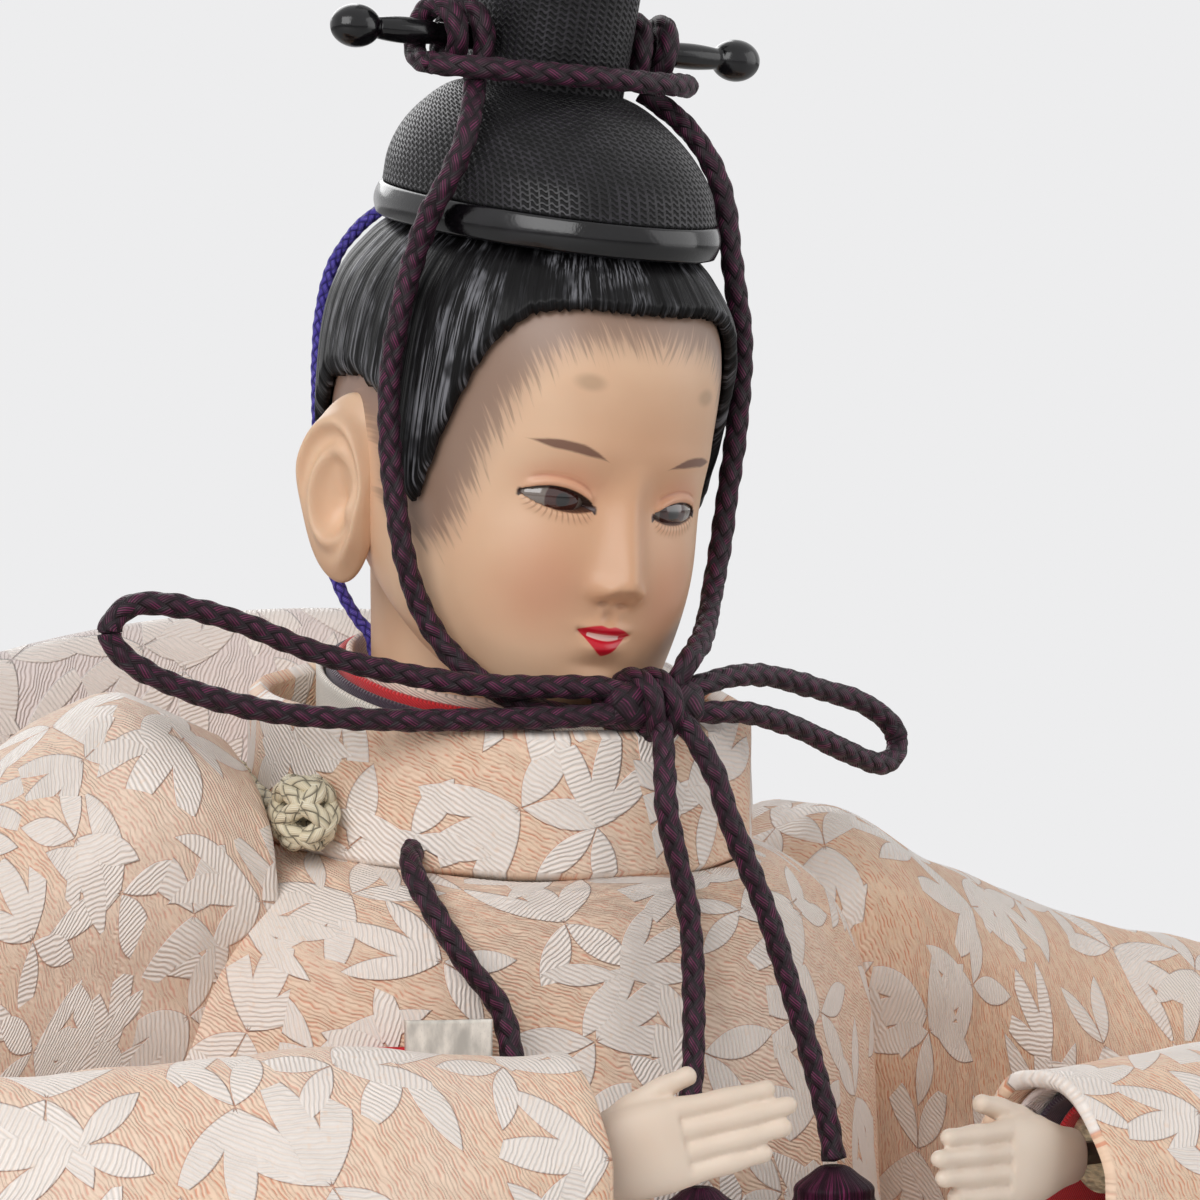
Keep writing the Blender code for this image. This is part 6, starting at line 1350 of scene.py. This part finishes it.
    def end_knot(self):
        """A small round knot at the chest cord's lower end: a closed curve wound three times about a
        ball while it swings up and down twice."""
        t = np.linspace(0, 2 * math.pi, 30)
        lon, lat = 3 * t, 0.75 * np.sin(2 * t)
        ball = np.column_stack([np.cos(lat) * np.cos(lon), np.cos(lat) * np.sin(lon), np.sin(lat)])
        route = ball * 0.0014 + np.array(CORD_ROUTES["chest_cord"][-1]) - (0, 0.0004, 0.0010)
        item, _ = braided("chest_cord_knot", route, 0.0009, "trunk", "braid", FINE_PITCH)
        return item


class MakeFace(SizedOperator, bpy.types.Operator):
    """Coated head with its painted features, ears, glass eyes and neck"""

    bl_idname = "doll.face"
    bl_label = "Face"

    def build(self):
        grid = skull_surface(290, 300)
        x, z = face_place(grid)
        widest = np.maximum(np.abs(grid[..., 1]).max(axis=1, keepdims=True), 1e-6)
        forward = step(-grid[..., 1] / widest, 0.1, 0.5)
        away = hair_edge_distance(grid)
        grid = grid - np.array([0, 1, 0]) * (face_relief(x, z) * forward / 1000)[..., None]
        uv = np.stack([x, z], axis=-1)
        uv = cap_rows(np.concatenate([uv, uv[:, :1]], axis=1))
        values = {"hair_distance": cap_rows(away), "forward": cap_rows(forward)}
        face = make("coated_face", capped(in_world(grid)), "head", finish("face"), uv=uv, values=values)
        stand_for(face, "head")
        for side, sign in (("right", -1), ("left", 1)):
            self.ear(side, sign)
            self.eye(side, sign)
        heights = ((0.1120, 0.00972), (0.1150, 0.00909), (0.1207, 0.00882), (0.1495, 0.0090))
        neck = turned(heights, 120, 60)
        item = make("coated_neck", capped(neck), "head", finish("skin_coat"))

    def eye(self, side, sign):
        """A glass ball behind the lids' opening: an ellipsoid whose front lies just inside the skin."""
        rows, cols = 50, 90
        lift = np.linspace(0, math.pi, rows)[1:-1, None]
        angle = turns(cols)[None, :]
        level, upright = np.sin(lift) * np.cos(angle), np.sin(lift) * np.sin(angle)
        ball = np.stack([level, -np.cos(lift) + 0 * angle, upright], axis=-1)
        turn = np.array(Matrix.Rotation(sign * math.radians(26), 3, "Z"))
        local = ball * (0.0036, 0.0021, 0.0021) @ turn.T
        across, up = EYE_PLACE
        local = local + (sign * across, self.skin_at(sign) + 0.0028, up - 0.0003 - sign * 0.00045)
        grid = capped(local)
        plain = np.stack(face_place(np.concatenate([grid, grid[:, :1]], axis=1)), axis=-1)
        item = make("glass_eye_" + side, in_world(grid), "head", finish("eyes"), uv=plain)
        stand_for(item, "eye_" + side)

    def skin_at(self, sign):
        """How far forward the head's plain surface lies at an eye."""
        grid = skull_surface(120, 240).reshape(-1, 3)
        grid = grid[grid[:, 1] < 0]
        away = (grid[:, 0] - sign * EYE_PLACE[0]) ** 2 + (grid[:, 2] - EYE_PLACE[1]) ** 2
        return grid[away.argmin(), 1]

    def ear(self, side, sign):
        """An ear seen from its side: a disc of half sizes 5.2 and 8.6 mm whose outer face carries a
        rolled rim, an inner fold and a hollow, each a hump of the distance from the middle."""
        rows, cols = 70, 140
        lift = np.linspace(0, math.pi, rows)[1:-1, None]
        angle = turns(cols)[None, :]
        spread = np.sin(lift) ** 0.7
        outline = 1 + 0.10 * np.sin(angle) - 0.10 * np.cos(2 * angle + 0.5)
        back, up = spread * np.cos(angle) * outline, spread * np.sin(angle) * outline
        back = back - 0.16 * up**2
        away = np.hypot(back, up)
        out = np.cos(lift) * 0.0017 + 0 * angle
        outer = step(np.cos(lift) + 0 * angle, 0.0, 0.2)
        behind = step(back, -0.9, 0.0)
        rolled = 0.0014 * np.exp(-(((away - 0.86) / 0.12) ** 2)) * step(up - 0.5 * back, -0.9, 0.0)
        fold = 0.0011 * np.exp(-(((np.hypot(back + 0.15, up) - 0.52) / 0.11) ** 2)) * behind
        hollow = -0.0019 * bump_at(back, up, -0.12, -0.08, 0.30, 0.33)
        hollow = hollow - 0.0005 * bump_at(back, up, 0.05, 0.45, 0.22, 0.2)
        tragus = 0.0010 * bump_at(back, up, -0.62, -0.12, 0.18, 0.18)
        out = out + outer * (rolled + fold + hollow + tragus)
        local = np.stack([sign * out, 0.0052 * back, 0.0086 * up], axis=-1)
        turn = np.array(Matrix.Rotation(-sign * math.radians(18), 3, "Z"))
        grid = local @ turn.T + (sign * 0.0165, 0.0052, 0.0175)
        item = make("coated_ear_" + side, capped(in_world(grid)), "head", finish("skin_coat"), weld=True)


class MakeHair(SizedOperator, bpy.types.Operator):
    """Combed silk hair from under the crown to the ears and the nape"""

    bl_idname = "doll.hair"
    bl_label = "Hair"

    def build(self):
        angle = turns(360)
        full = stack(HAIR_SHARES, HAIR, np.linspace(0, 1, 240), angle, 2.15)
        lowest, height = zip(*HAIR_EDGE)
        over = full[..., 2] > np.interp(full[..., 1], lowest, height)
        low = over.argmax(axis=0) / 239
        low = (np.roll(low, 1) + low + np.roll(low, -1)) / 3
        low = low + 0.006 * np.sin(np.arange(360) * 2.1) * np.sin(np.arange(360) * 0.37)
        down = np.linspace(0, 1, 130)[:, None]
        share = low[None, :] + (1 - low[None, :]) * down
        grid = stack(HAIR_SHARES, HAIR, share, angle, 2.15)
        steps = angle * 180 / math.pi
        strands = np.sin(steps * 1.9 + 2.0 * np.sin(steps * 0.11)) * 0.4 + np.sin(steps * 0.83 + 1.0) * 0.6
        drawn_in = -0.0009 * (1 - np.clip(down / 0.035, 0, 1)) ** 2
        grid = pushed(grid, drawn_in + 0.00009 * strands[None, :] * step(down, 0.0, 0.05))
        across, along = np.linspace(-59.0, 59.0, 361), 36.0 * down
        uv = wall_rows(np.stack(np.broadcast_arrays(across[None, :], along), axis=-1))
        wall = walled(in_world(grid), 0.0008)
        item = make("silk_hair", wall, "head", finish("hair"), along=True, uv=uv)
        stand_for(item, "hair")


class MakeCrown(SizedOperator, bpy.types.Operator):
    """Lacquered rim, gauze dome and topknot housing, turned pin, and net tail with its frame and tongue"""

    bl_idname = "doll.crown"
    bl_label = "Crown"

    def build(self):
        share = np.linspace(0, 1, 16)
        bulge = 0.0004 * np.sin(share * math.pi)[:, None]
        angle = turns(240)[None, :]
        sides = (0.0151 + bulge, 0.0198 + bulge, 0.0198 + bulge)
        rim = oval(*sides, 0.0449 + 0.0031 * share[:, None], angle, 2.1)
        stand_for(walled_piece("lacquered_rim", in_world(rim), 0.0009, "head", "lacquer"), "crown_rim")

        dome = stack(DOME_SHARES, DOME, np.linspace(0, 1, 90), turns(260), 2.1)
        item = walled_piece("gauze_dome", in_world(dome), 0.0006, "head", "gauze")
        stand_for(item, "crown_dome")

        up = np.linspace(0, 1, 90)[:, None]
        wider = 1 + 0.16 * up
        angle = turns(200)[None, :]
        side = oval(*(size * wider for size in HOUSING), 0.0566 + 0.0254 * up, angle, 2.3)
        bend = np.linspace(0, 1, 12)[1:, None] * math.pi / 2
        drawn = 1.16 - 0.10 * (1 - np.cos(bend))
        round_top = oval(*(size * drawn for size in HOUSING), 0.0812 + 0.0008 * np.sin(bend), angle, 2.3)
        side[..., 2] = 0.0566 + (side[..., 2] - 0.0566) * 0.968
        inward = np.linspace(1.06, 0.02, 22)[:, None]
        lid = oval(*(size * inward for size in HOUSING), 0.0820, angle, 2.3)
        housing = np.concatenate([side, round_top, lid]) + (0, PIN_DEPTH, 0)
        uv = cap_rows(cloth_uv(housing))
        item = make("gauze_housing", capped(in_world(housing)), "head", finish("gauze"), uv=uv, weld=True)
        stand_for(item, "crown_koji")
        self.pin()
        self.net_tail()

    def pin(self):
        """A turned pin laid along X: beads between narrow waists, and a drop-shaped knob at each end."""
        half, radius = 0.0245, 0.0013
        neck = half - 0.0050
        rows = 420
        x = np.linspace(-half, half, rows)
        away = neck - np.abs(x)
        beads = np.abs(np.sin((x + neck) / (2 * neck) * 6 * math.pi))
        shaft = radius * (0.80 + 0.20 * beads**0.8)
        knob = 0.0021 * np.sqrt(np.clip(1 - ((np.abs(x) - neck - 0.0024) / 0.0026) ** 2, 0, 1))
        stem = np.where(np.abs(x) < neck + 0.0015, 0.0011, 0)
        radius_at = np.where(away > 0, shaft, np.maximum(knob, stem))
        angle = turns(72, 0.0)
        grid = np.stack(
            [
                x[:, None] + 0 * angle,
                radius_at[:, None] * np.cos(angle) + PIN_DEPTH,
                radius_at[:, None] * np.sin(angle) + PIN_HEIGHT,
            ],
            axis=-1,
        )
        item = make("turned_pin", capped(in_world(grid)), "head", finish("lacquer"), weld=True)
        stand_for(item, "crown_pin")

    def net_tail(self):
        """An upright see-through net: level and upright threads between the two side bars of a frame
        whose half width grows with the sine of the height over its flare."""
        middle, bottom = PIN_DEPTH + HOUSING[2] * 1.16 + 0.0019, 0.0658
        tall = 0.1230 - bottom

        def place(across, up):
            flare = np.minimum(1, up * tall / 0.0110)
            half = 0.0032 + 0.0098 * np.sin(flare * math.pi / 2)
            depth = middle + 0.0040 * up**2
            return np.stack(np.broadcast_arrays(half * across, depth, bottom + tall * up), axis=-1)

        line = np.linspace(0, 1, 90)
        threads = [place((2 * line - 1) * 0.97, 0 * line + level) for level in np.linspace(0.02, 0.98, 56)]
        threads += [place(0 * line + share, line) for share in np.linspace(-0.9, 0.9, 23)]
        grids = np.array([tube(line_of, 0.00011, (0.02, 1, 0.03), turns(5, 0.0)) for line_of in threads])
        net = make("tail_net", in_world(grids), "crown_tail", finish("lacquer"))
        rising, falling = place(-1 + 0 * line, line), place(1 + 0 * line, line[::-1])
        over = place(np.linspace(-1, 1, 40)[1:-1], 1 + 0 * line[:38])
        under = place(np.linspace(1, -1, 20)[1:-1], 0 * line[:18])
        path = even_path(np.vstack([rising, over, falling, under, rising[:1]])[::3], 0.0004)
        bar = tube(path, 0.00055, (0.02, 1, 0.03), turns(14, 0.0))
        frame_bar = make("tail_frame", in_world(capped(bar)), "crown_tail", finish("lacquer"), weld=True)
        line = np.linspace(-1, 1, 24)[:, None]
        angle = turns(24, 0.0)
        tongue = np.stack(
            [
                0.0032 * bent(np.cos(angle), 0.5) * (1 + 0 * line),
                middle + 0.0007 * bent(np.sin(angle), 0.5) * (1 + 0 * line),
                0.0644 + 0.0028 * line + 0 * angle,
            ],
            axis=-1,
        )
        tongue = make("tail_tongue", in_world(capped(tongue)), "crown_tail", finish("lacquer"))
        stand_for(net, "crown_tail")


class MakeCollars(SizedOperator, bpy.types.Operator):
    """Stand collar with its knot and loop, and the four collar edges inside it"""

    bl_idname = "doll.collars"
    bl_label = "Collars"

    def build(self):
        share, angle = np.linspace(0, 1, 40)[:, None], turns(260)[None, :]
        radius = 0.0250 - 0.0003 * share + 0.0002 * np.sin(share * math.pi)
        band = oval(radius, radius, radius, 0.1171 + 0.0128 * share, angle)
        band[..., 1] -= 0.0078
        band[..., 2] += 0.09 * (band[..., 1] + 0.008)
        band = pushed(band, 0.00012 * crumple(band, 0.009, 3))
        item = walled_piece("brocade_collar", band, 0.0020, "trunk", "brocade")
        stand_for(item, "collar_band")
        names = ("white", "purple", "red", "lining")
        kinds = ("white_silk", "purple_silk", "red_silk", "cream_silk")
        for k, (name, kind) in enumerate(zip(names, kinds)):
            radius = 0.0144 - 0.0010 * k
            share = np.linspace(0, 1, 36)[:, None]
            ring = oval(radius + 0 * share, radius, radius, 0.0, angle)
            top = 0.1310 + 0.0007 * k + 0.28 * ring[..., 1]
            ring[..., 2] = 0.1120 + (top - 0.1120) * share
            item = walled_piece("silk_collar_" + name, ring, 0.0007, "trunk", kind)
            stand_for(item, "inner_collar_" + name)
            round(2 * math.pi * radius, 3)
        self.frog()

    def frog(self):
        """A wound ball of cream cord on the collar, with the loop beside it. A place on the collar is
        its radius times the sine and cosine of the angle from the front."""

        def on_collar(turn, height, away):
            r = 0.0250 + away
            return np.stack([-r * np.sin(turn), -0.0078 - r * np.cos(turn), height + 0 * turn], axis=-1)

        turn = math.radians(74)
        t = np.linspace(0, 2 * math.pi, 120)
        lon, lat = 5 * t, 1.05 * np.sin(3 * t)
        ball = np.column_stack([np.cos(lat) * np.cos(lon), np.cos(lat) * np.sin(lon), np.sin(lat)])
        out = np.array([-math.sin(turn), -math.cos(turn), 0])
        side = np.array([math.cos(turn), -math.sin(turn), 0])
        middle = on_collar(np.array(turn), 0.1205, 0.0027)
        level = 0.0018 * ball[:, :1] * out + 0.0031 * ball[:, 1:2] * side
        route = middle + level + 0.0031 * ball[:, 2:] * (0, 0, 1)
        item, _ = braided("cream_knot", route, 0.0010, "trunk", "cream_cord", FINE_PITCH, cols=16)
        stand_for(item, "frog_knot")
        start = turn + 0.0042 / 0.0250 + 0.06
        share = np.linspace(0, 1, 6)
        loop = on_collar(start + math.radians(22) * share, 0.1205 + 0.0030 * share, 0.0014)
        item, _ = braided("cream_loop", loop, 0.0011, "trunk", "cream_cord", FINE_PITCH, cols=16)
        stand_for(item, "frog_loop")


class MakeRobe(SizedOperator, bpy.types.Operator):
    """Chest part, back fold, lower robe with its hem band, belt and papers"""

    bl_idname = "doll.robe"
    bl_label = "Robe"

    def build(self):
        chest = bodice_surface()
        chest = pushed(chest, 0.00028 * crumple(chest * (1, 1, 0.6), 0.018, 11))
        item = walled_piece("brocade_bodice", chest, CLOTH, "trunk", "brocade")
        stand_for(item, "robe_bodice")

        angle = turns(340)
        lift = hem_arch(angle)
        skirt = skirt_surface(np.linspace(0, 1, 110), angle, lift)
        skirt = pushed(skirt, 0.0004 * crumple(skirt, 0.03, 12))
        wall = walled(skirt, CLOTH)
        closed = np.concatenate([wall, wall[:, :1]], axis=1)
        closed = np.concatenate([closed, closed[:1]])
        uv = np.stack([closed[..., 0], 0.8 * (closed[..., 2] - np.abs(closed[..., 1]))], axis=-1) * 1000
        item = make("brocade_skirt", wall, "trunk", finish("brocade"), along=True, uv=uv)
        stand_for(item, "robe_skirt")

        low = skirt_surface(np.linspace(0, 0.21, 16), angle, lift)
        height = lift[None, :] + SKIRT_BOTTOM + 0.0105 * np.linspace(0, 1, 16)[:, None]
        low[..., 2] = np.minimum(height, low[..., 2].max())
        band = pushed(self.at_heights(angle, height), 0.0015 + 0.00015 * crumple(low, 0.02, 14))
        item = walled_piece("brocade_hem_band", band, 0.0012, "trunk", "pale_brocade")
        stand_for(item, "robe_hem_band")

        share = np.linspace(0, 1, 20)[:, None]
        belt = oval(*(WAIST + 0.0019), 0.0614 + 0.0060 * share, turns(240)[None, :], 2.3)
        item = walled_piece("waist_belt_silk", belt, 0.0013, "trunk", "belt_silk")
        stand_for(item, "waist_belt")
        self.back_fold()
        self.papers()

    def at_heights(self, angle, height):
        """The lower robe's surface at given heights, read between its own close rows."""
        dense = skirt_surface(np.linspace(0, 1, 400), angle)
        place = np.argmax(dense[None, :, :, 2] > height[:, None, :], axis=1)
        found = np.take_along_axis(dense, place[..., None], axis=0)
        found[..., 2] = height
        return found

    def back_fold(self):
        """The raised pale fold behind the neck: rounded upright sections across the back, whose top
        droops with the square of the distance from the middle, with slanting creases."""
        s = np.linspace(-1, 1, 150)[:, None]
        angle = turns(120, -math.pi / 2)[None, :]
        top = 0.1370 - 0.0080 * s**2
        across, up = bent(np.cos(angle), 0.8), bent(np.sin(angle), 0.8)
        thin = np.clip((1 - np.abs(s)) / 0.05, 0, 1) ** 0.5
        grid = np.stack(
            [
                0.0500 * s + 0 * up,
                0.0361 + 0.0047 * across * (0.35 + 0.65 * thin),
                (top + 0.0860) / 2 + up * (top - 0.0860) / 2 * (0.94 + 0.06 * thin),
            ],
            axis=-1,
        )
        creases = np.sin(grid[..., 0] * 260 + grid[..., 2] * 110) * 0.5 + crumple(grid, 0.02, 21)
        grid = grid + np.array([0, 1, 0]) * (0.00022 * creases * np.sign(across))[..., None]
        uv = cap_rows(cloth_uv(grid))
        item = make("pale_back_fold", capped(grid, 0.0003), "trunk", finish("pale_brocade"), uv=uv)
        stand_for(item, "robe_back_fold")

    def papers(self):
        """Folded papers on the chest: a level section of a thin flat strip, carried up the chest."""
        for name, shift, layer, kind in (("white", 0.0, 1, "white_paper"), ("red", 0.0026, 0, "red_paper")):
            across = np.linspace(-0.5, 0.5, 30)[None, :]
            up = np.linspace(0, 1, 30)[:, None]
            x = -0.0213 - shift + 0.0075 * across + 0 * up
            z = 0.0925 - shift + 0.0095 * up + 0 * across
            y = chest_front(x, z).mean(axis=0)[None, :] + 0 * up
            y = np.minimum(y, chest_front(x, z)) - 0.0010 - layer * 0.0010
            front = np.stack([x, y - 0.0007, z], axis=-1)
            section = np.concatenate([front, (front + (0, 0.0007, 0))[:, ::-1]], axis=1)
            item = make("folded_paper_" + name, capped(section), "trunk", finish(kind), weld=True)
            stand_for(item, "bosom_paper_" + name)


class MakeSleeves(SizedOperator, bpy.types.Operator):
    """Wide sleeves with a second hem, a purple and a red lining at each mouth"""

    bl_idname = "doll.sleeves"
    bl_label = "Sleeves"

    def build(self):
        for side in ("right", "left"):
            grid = sleeve_surface(side, np.linspace(0, 1, 120))
            drape = crumple(grid * (1, 1, 0.45), 0.030, 31 + len(side))
            grid = pushed(grid, 0.00055 * drape + 0.00018 * crumple(grid, 0.010, 33))
            item = walled_piece("brocade_sleeve_" + side, grid, CLOTH, "trunk", "brocade")
            stand_for(item, "sleeve_" + side)
            depth = CLOTH + 0.0003
            layers = (("second_hem", 0.010, "pale_brocade"), ("purple_lining", 0.022, "purple_silk"))
            layers += (("red_lining", 0.034, "red_silk"),)
            for name, recess, kind in layers:
                share = np.linspace(0.87, 1 - recess, 30)
                full = sleeve_surface(side, np.linspace(0, 1, 401), depth, 200)
                grid = full[np.round(share * 400).astype(int)]
                item = walled_piece(f"{kind}_{name}_{side}", grid, 0.0006, "trunk", kind)
                stand_for(item, f"sleeve_{name}_{side}")
                depth += 0.0009


# A crossed leg's middle line, from the hip to the foot: how far out, and how far in front
LEG_LINE = ((0.053, -0.012), (0.07, -0.001), (0.0765, 0.02), (0.066, 0.044), (0.043, 0.059), (0.019, 0.065))


class MakeLowerParts(SizedOperator, bpy.types.Operator):
    """Trousers, leg and arm paddings, board, straw body, peg and wire"""

    bl_idname = "doll.lower_parts"
    bl_label = "Lower parts"

    def build(self):
        for side, sign in (("right", -1), ("left", 1)):
            angle = np.linspace(-math.pi / 2, math.pi / 2, 130)
            angle = angle if sign > 0 else math.pi - angle
            grid = skirt_surface(np.linspace(0, 5 / 9, 60), angle)
            grid = pushed(grid, -0.0047 + 0.0002 * crumple(grid, 0.014, 41), around=False)
            grid[..., 0] = sign * np.maximum(sign * grid[..., 0], 0.0005)
            wall, uv = strip_wall(grid, 0.0011)
            item = make("trouser_leg_" + side, wall, "trunk", finish("trouser_silk"), uv=uv, weld=True)
            stand_for(item, "hakama_" + side)

            route = [(sign * out, -front, 0.0208) for out, front in LEG_LINE]
            path = even_path(route, 0.0012)
            soft = 0.0132 * (1 + 0.02 * crumple(path, 0.02, 43)[:, None] + 0 * turns(48))
            grid = capped(tube(path, soft, (0, 0, 1), turns(48)), 0.001)
            item = make("leg_padding_wool_" + side, grid, "trunk", finish("wood_wool"), weld=True)
            stand_for(item, "leg_padding_" + side)
            self.arm(side, sign)
        kept = {
            "seat_board": "wood",
            "straw_core": "straw",
            "arm_wire": "iron",
            "neck_peg": "wood",
            "tail_socket": "lacquer",
        }
        for node, kind in kept.items():
            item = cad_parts[node]
            item.data.materials.clear()
            item.data.materials.append(finish(kind))

    def arm(self, side, sign):
        """The arm's padding: a tube of 4.2 mm radius along the bent wire, bound in paper."""
        wrist, tips = (np.array(p) for p in HANDS[side])
        ahead = (tips - wrist) / np.linalg.norm(tips - wrist)
        rows = [
            wrist - ahead * 0.0060,
            (sign * 0.0640, -0.0575, CORE_TOP - 0.0235),
            (sign * 0.0865, -0.0460, CORE_TOP - 0.0277),
            (sign * 0.0965, -0.0240, CORE_TOP - 0.0277),
            (sign * 0.0620, 0.0, CORE_TOP - 0.0187),
            (sign * 0.0405, 0.0050, CORE_TOP - 0.0130),
        ]
        path = even_path(rows, 0.001)
        around = turns(40)
        wound = 0.0041 * (1 + 0.02 * np.sin(run_of(path)[:, None] * 1800 + around))
        grid = tube(path, wound, (0, 0, 1), around)
        item = make("arm_padding_wool_" + side, capped(grid, 0.001), "trunk", finish("wood_wool"), weld=True)
        stand_for(item, "arm_padding_" + side)


# Place along the palm, its width and its thickness there, as shares
PALM = ((0, 0.62, 0.95), (0.25, 0.72, 1.0), (0.6, 0.97, 1.0), (0.9, 1.0, 0.85), (1.08, 0.93, 0.6))
PALM_LENGTH, PALM_WIDTH, FINGER_REACH = 0.0112, 0.0086, 0.0228


class MakeHands(SizedOperator, bpy.types.Operator):
    """Coated hands: a palm and five fingers grown together"""

    bl_idname = "doll.hands"
    bl_label = "Hands"

    def build(self):
        for side, (wrist, tips) in HANDS.items():
            ahead = Vector(tips) - Vector(wrist)
            ahead.normalize()
            sideways = Vector((0, 0, 1)).cross(ahead).normalized()
            turn = np.array(Matrix((ahead, sideways, ahead.cross(sideways))).transposed())
            curl = 1 if side == "right" else -1
            along, wide, thick = curve_through(PALM, np.linspace(0, len(PALM) - 1, 30)).T
            angle = turns(40)
            y = 0.0023 * thick[:, None] * bent(np.cos(angle), 0.8)
            z = PALM_WIDTH / 2 * wide[:, None] * bent(np.sin(angle), 0.8)
            palm = capped(np.stack([PALM_LENGTH * along[:, None] + 0 * y, y, z], axis=-1))
            parts = [palm]
            for height, reach in ((0.36, 0.93), (0.12, 1.0), (-0.12, 0.96), (-0.36, 0.86)):
                first = np.array([PALM_LENGTH * 0.85 - 0.002, 0.0, height * PALM_WIDTH])
                last = np.array([FINGER_REACH * reach, curl * 0.0012, height * PALM_WIDTH * 0.90])
                middle = (first + last) / 2 - (0, curl * 0.0004, 0)
                parts.append(self.finger([first, middle, last], 0.00122, 0.00085))
            first = np.array([0.0050, curl * 0.00058, 0.0026])
            last = np.array([0.0050 + 0.0095, curl * 0.0017, 0.0057])
            parts.append(self.finger([first, (first + last) / 2 + (0, 0, 0.0004), last], 0.0014, 0.0009))
            work = [
                make(f"part_{k}", part @ turn.T + np.array(wrist), side + "_hand", finish("hands"))
                for k, part in enumerate(parts)
            ]
            item = self.grown_together("coated_hand_" + side, work)
            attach(item, side + "_hand")
            stand_for(item, "hand_" + side)

    def finger(self, line, root, tip):
        """A finger: circles along a bent line, a little thicker at each joint, rounded at its tip."""
        path = even_path(line, 0.0004)
        share = np.linspace(0, 1, len(path))
        radius = root + (tip - root) * share + 0.00006 * np.cos(share * 3 * 2 * math.pi)
        radius *= np.sqrt(np.clip(1 - ((share - 0.93) / 0.075).clip(0, 1) ** 2, 0.02, 1))
        return capped(tube(path, radius[:, None] + 0 * turns(20), (0, 0.1, 1), turns(20)))

    def grown_together(self, name, work):
        """The parts as one skin: joined, remeshed in even cells and smoothed."""
        joined = bmesh.new()
        for item in work:
            joined.from_mesh(item.data)
        mesh = bpy.data.meshes.new(name)
        joined.to_mesh(mesh)
        joined.free()
        for item in work:
            bpy.data.objects.remove(item)
        item = linked(name, mesh)
        shell = item.modifiers.new("shell", "REMESH")
        shell.mode = "VOXEL"
        shell.voxel_size = 0.00022
        shell.use_smooth_shade = True
        soft = item.modifiers.new("soft", "SMOOTH")
        soft.factor = 0.6
        soft.iterations = 5
        evaluated = item.evaluated_get(bpy.context.evaluated_depsgraph_get())
        final = bpy.data.meshes.new_from_object(evaluated)
        item.modifiers.clear()
        item.data = final
        item.data.materials.clear()
        item.data.materials.append(finish("hands"))
        return item


class MakeStage(SizedOperator, bpy.types.Operator):
    """Pale floor, soft lamps and a white background"""

    bl_idname = "doll.stage"
    bl_label = "Stage"

    def build(self):
        mesh = bpy.data.meshes.new("floor")
        far = 3.0
        mesh.from_pydata([(-far, -far, 0), (far, -far, 0), (far, far, 0), (-far, far, 0)], [], [(0, 1, 2, 3)])
        floor = linked("floor", mesh)
        made, tree = new_finish("floor")
        filled(made, (0.80, 0.80, 0.80, 1), 0.8)
        away = put(tree, "VectorMath", {0: object_place(tree)}, operation="LENGTH")["Value"]
        pale = rise(away, 0.16, 0.50) * put(tree, "LightPath")["Is Camera Ray"]
        backdrop = {"Color": (*tone(237, 237, 238), 1), "Strength": 1.0}
        lit = Value(tree.nodes["Principled BSDF"].outputs[0])
        faded = put(tree, "MixShader", {0: pale, 1: lit, 2: put(tree, "Emission", backdrop)[0]})[0]
        join(tree.nodes["Material Output"].inputs["Surface"], faded)
        mesh.materials.append(made)

        world = bpy.data.worlds.new("room")
        bpy.context.scene.world = world
        world.use_nodes = True
        tree = world.node_tree
        tree.nodes.clear()
        path = put(tree, "LightPath")
        seen = path["Is Camera Ray"].maths("MAXIMUM", path["Is Glossy Ray"])
        seen = seen.maths("MAXIMUM", path["Is Transmission Ray"])
        room = put(tree, "Background", {"Color": (1, 1, 1, 1), "Strength": 0.26})[0]
        white = put(tree, "Background", backdrop)[0]
        put(tree, "OutputWorld", {"Surface": put(tree, "MixShader", {0: seen, 1: room, 2: white})[0]})

        lamps = (
            ("key", (-0.60, -0.42, 0.55), 0.60, 4.6),
            ("fill", (0.70, -0.45, 0.35), 0.70, 2.1),
            ("back", (0.15, 0.75, 0.60), 0.60, 2.4),
        )
        for name, place, wide, power in lamps:
            data = bpy.data.lights.new(name, "AREA")
            data.shape = "SQUARE"
            data.size = wide
            data.energy = power
            lamp = linked(name, data)
            lamp.location = place
            lamp.rotation_euler = (Vector(place) - Vector((0, 0, 0.13))).to_track_quat("Z", "Y").to_euler()
        view = bpy.context.scene.view_settings
        view.view_transform = "Standard"


OPERATORS = (
    MakeCamera,
    MakeCords,
    MakeFace,
    MakeHair,
    MakeCrown,
    MakeCollars,
    MakeRobe,
    MakeSleeves,
    MakeLowerParts,
    MakeHands,
    MakeStage,
)


class DollPanel(bpy.types.Panel):
    """Lists the doll's sizes, colours and pieces"""

    bl_idname = "DOLL_PT_pieces"
    bl_label = "Seated doll"
    bl_space_type = "VIEW_3D"
    bl_region_type = "UI"
    bl_category = "Doll"

    def draw(self, context):
        for values in (context.scene.doll_sizes, context.scene.doll_colours):
            for key in values.__annotations__:
                self.layout.prop(values, key)
        for operator in OPERATORS:
            self.layout.operator(operator.bl_idname)


CLASSES = (DollSizes, DollColours, *OPERATORS, DollPanel)


def register():
    for each in CLASSES:
        bpy.utils.register_class(each)
    bpy.types.Scene.doll_sizes = bpy.props.PointerProperty(type=DollSizes)
    bpy.types.Scene.doll_colours = bpy.props.PointerProperty(type=DollColours)


def unregister():
    del bpy.types.Scene.doll_sizes
    del bpy.types.Scene.doll_colours
    for each in reversed(CLASSES):
        bpy.utils.unregister_class(each)


def main():
    register()
    for operator in OPERATORS:
        getattr(bpy.ops.doll, operator.bl_idname.split(".")[1])()


if __name__ == "__main__":
    main()
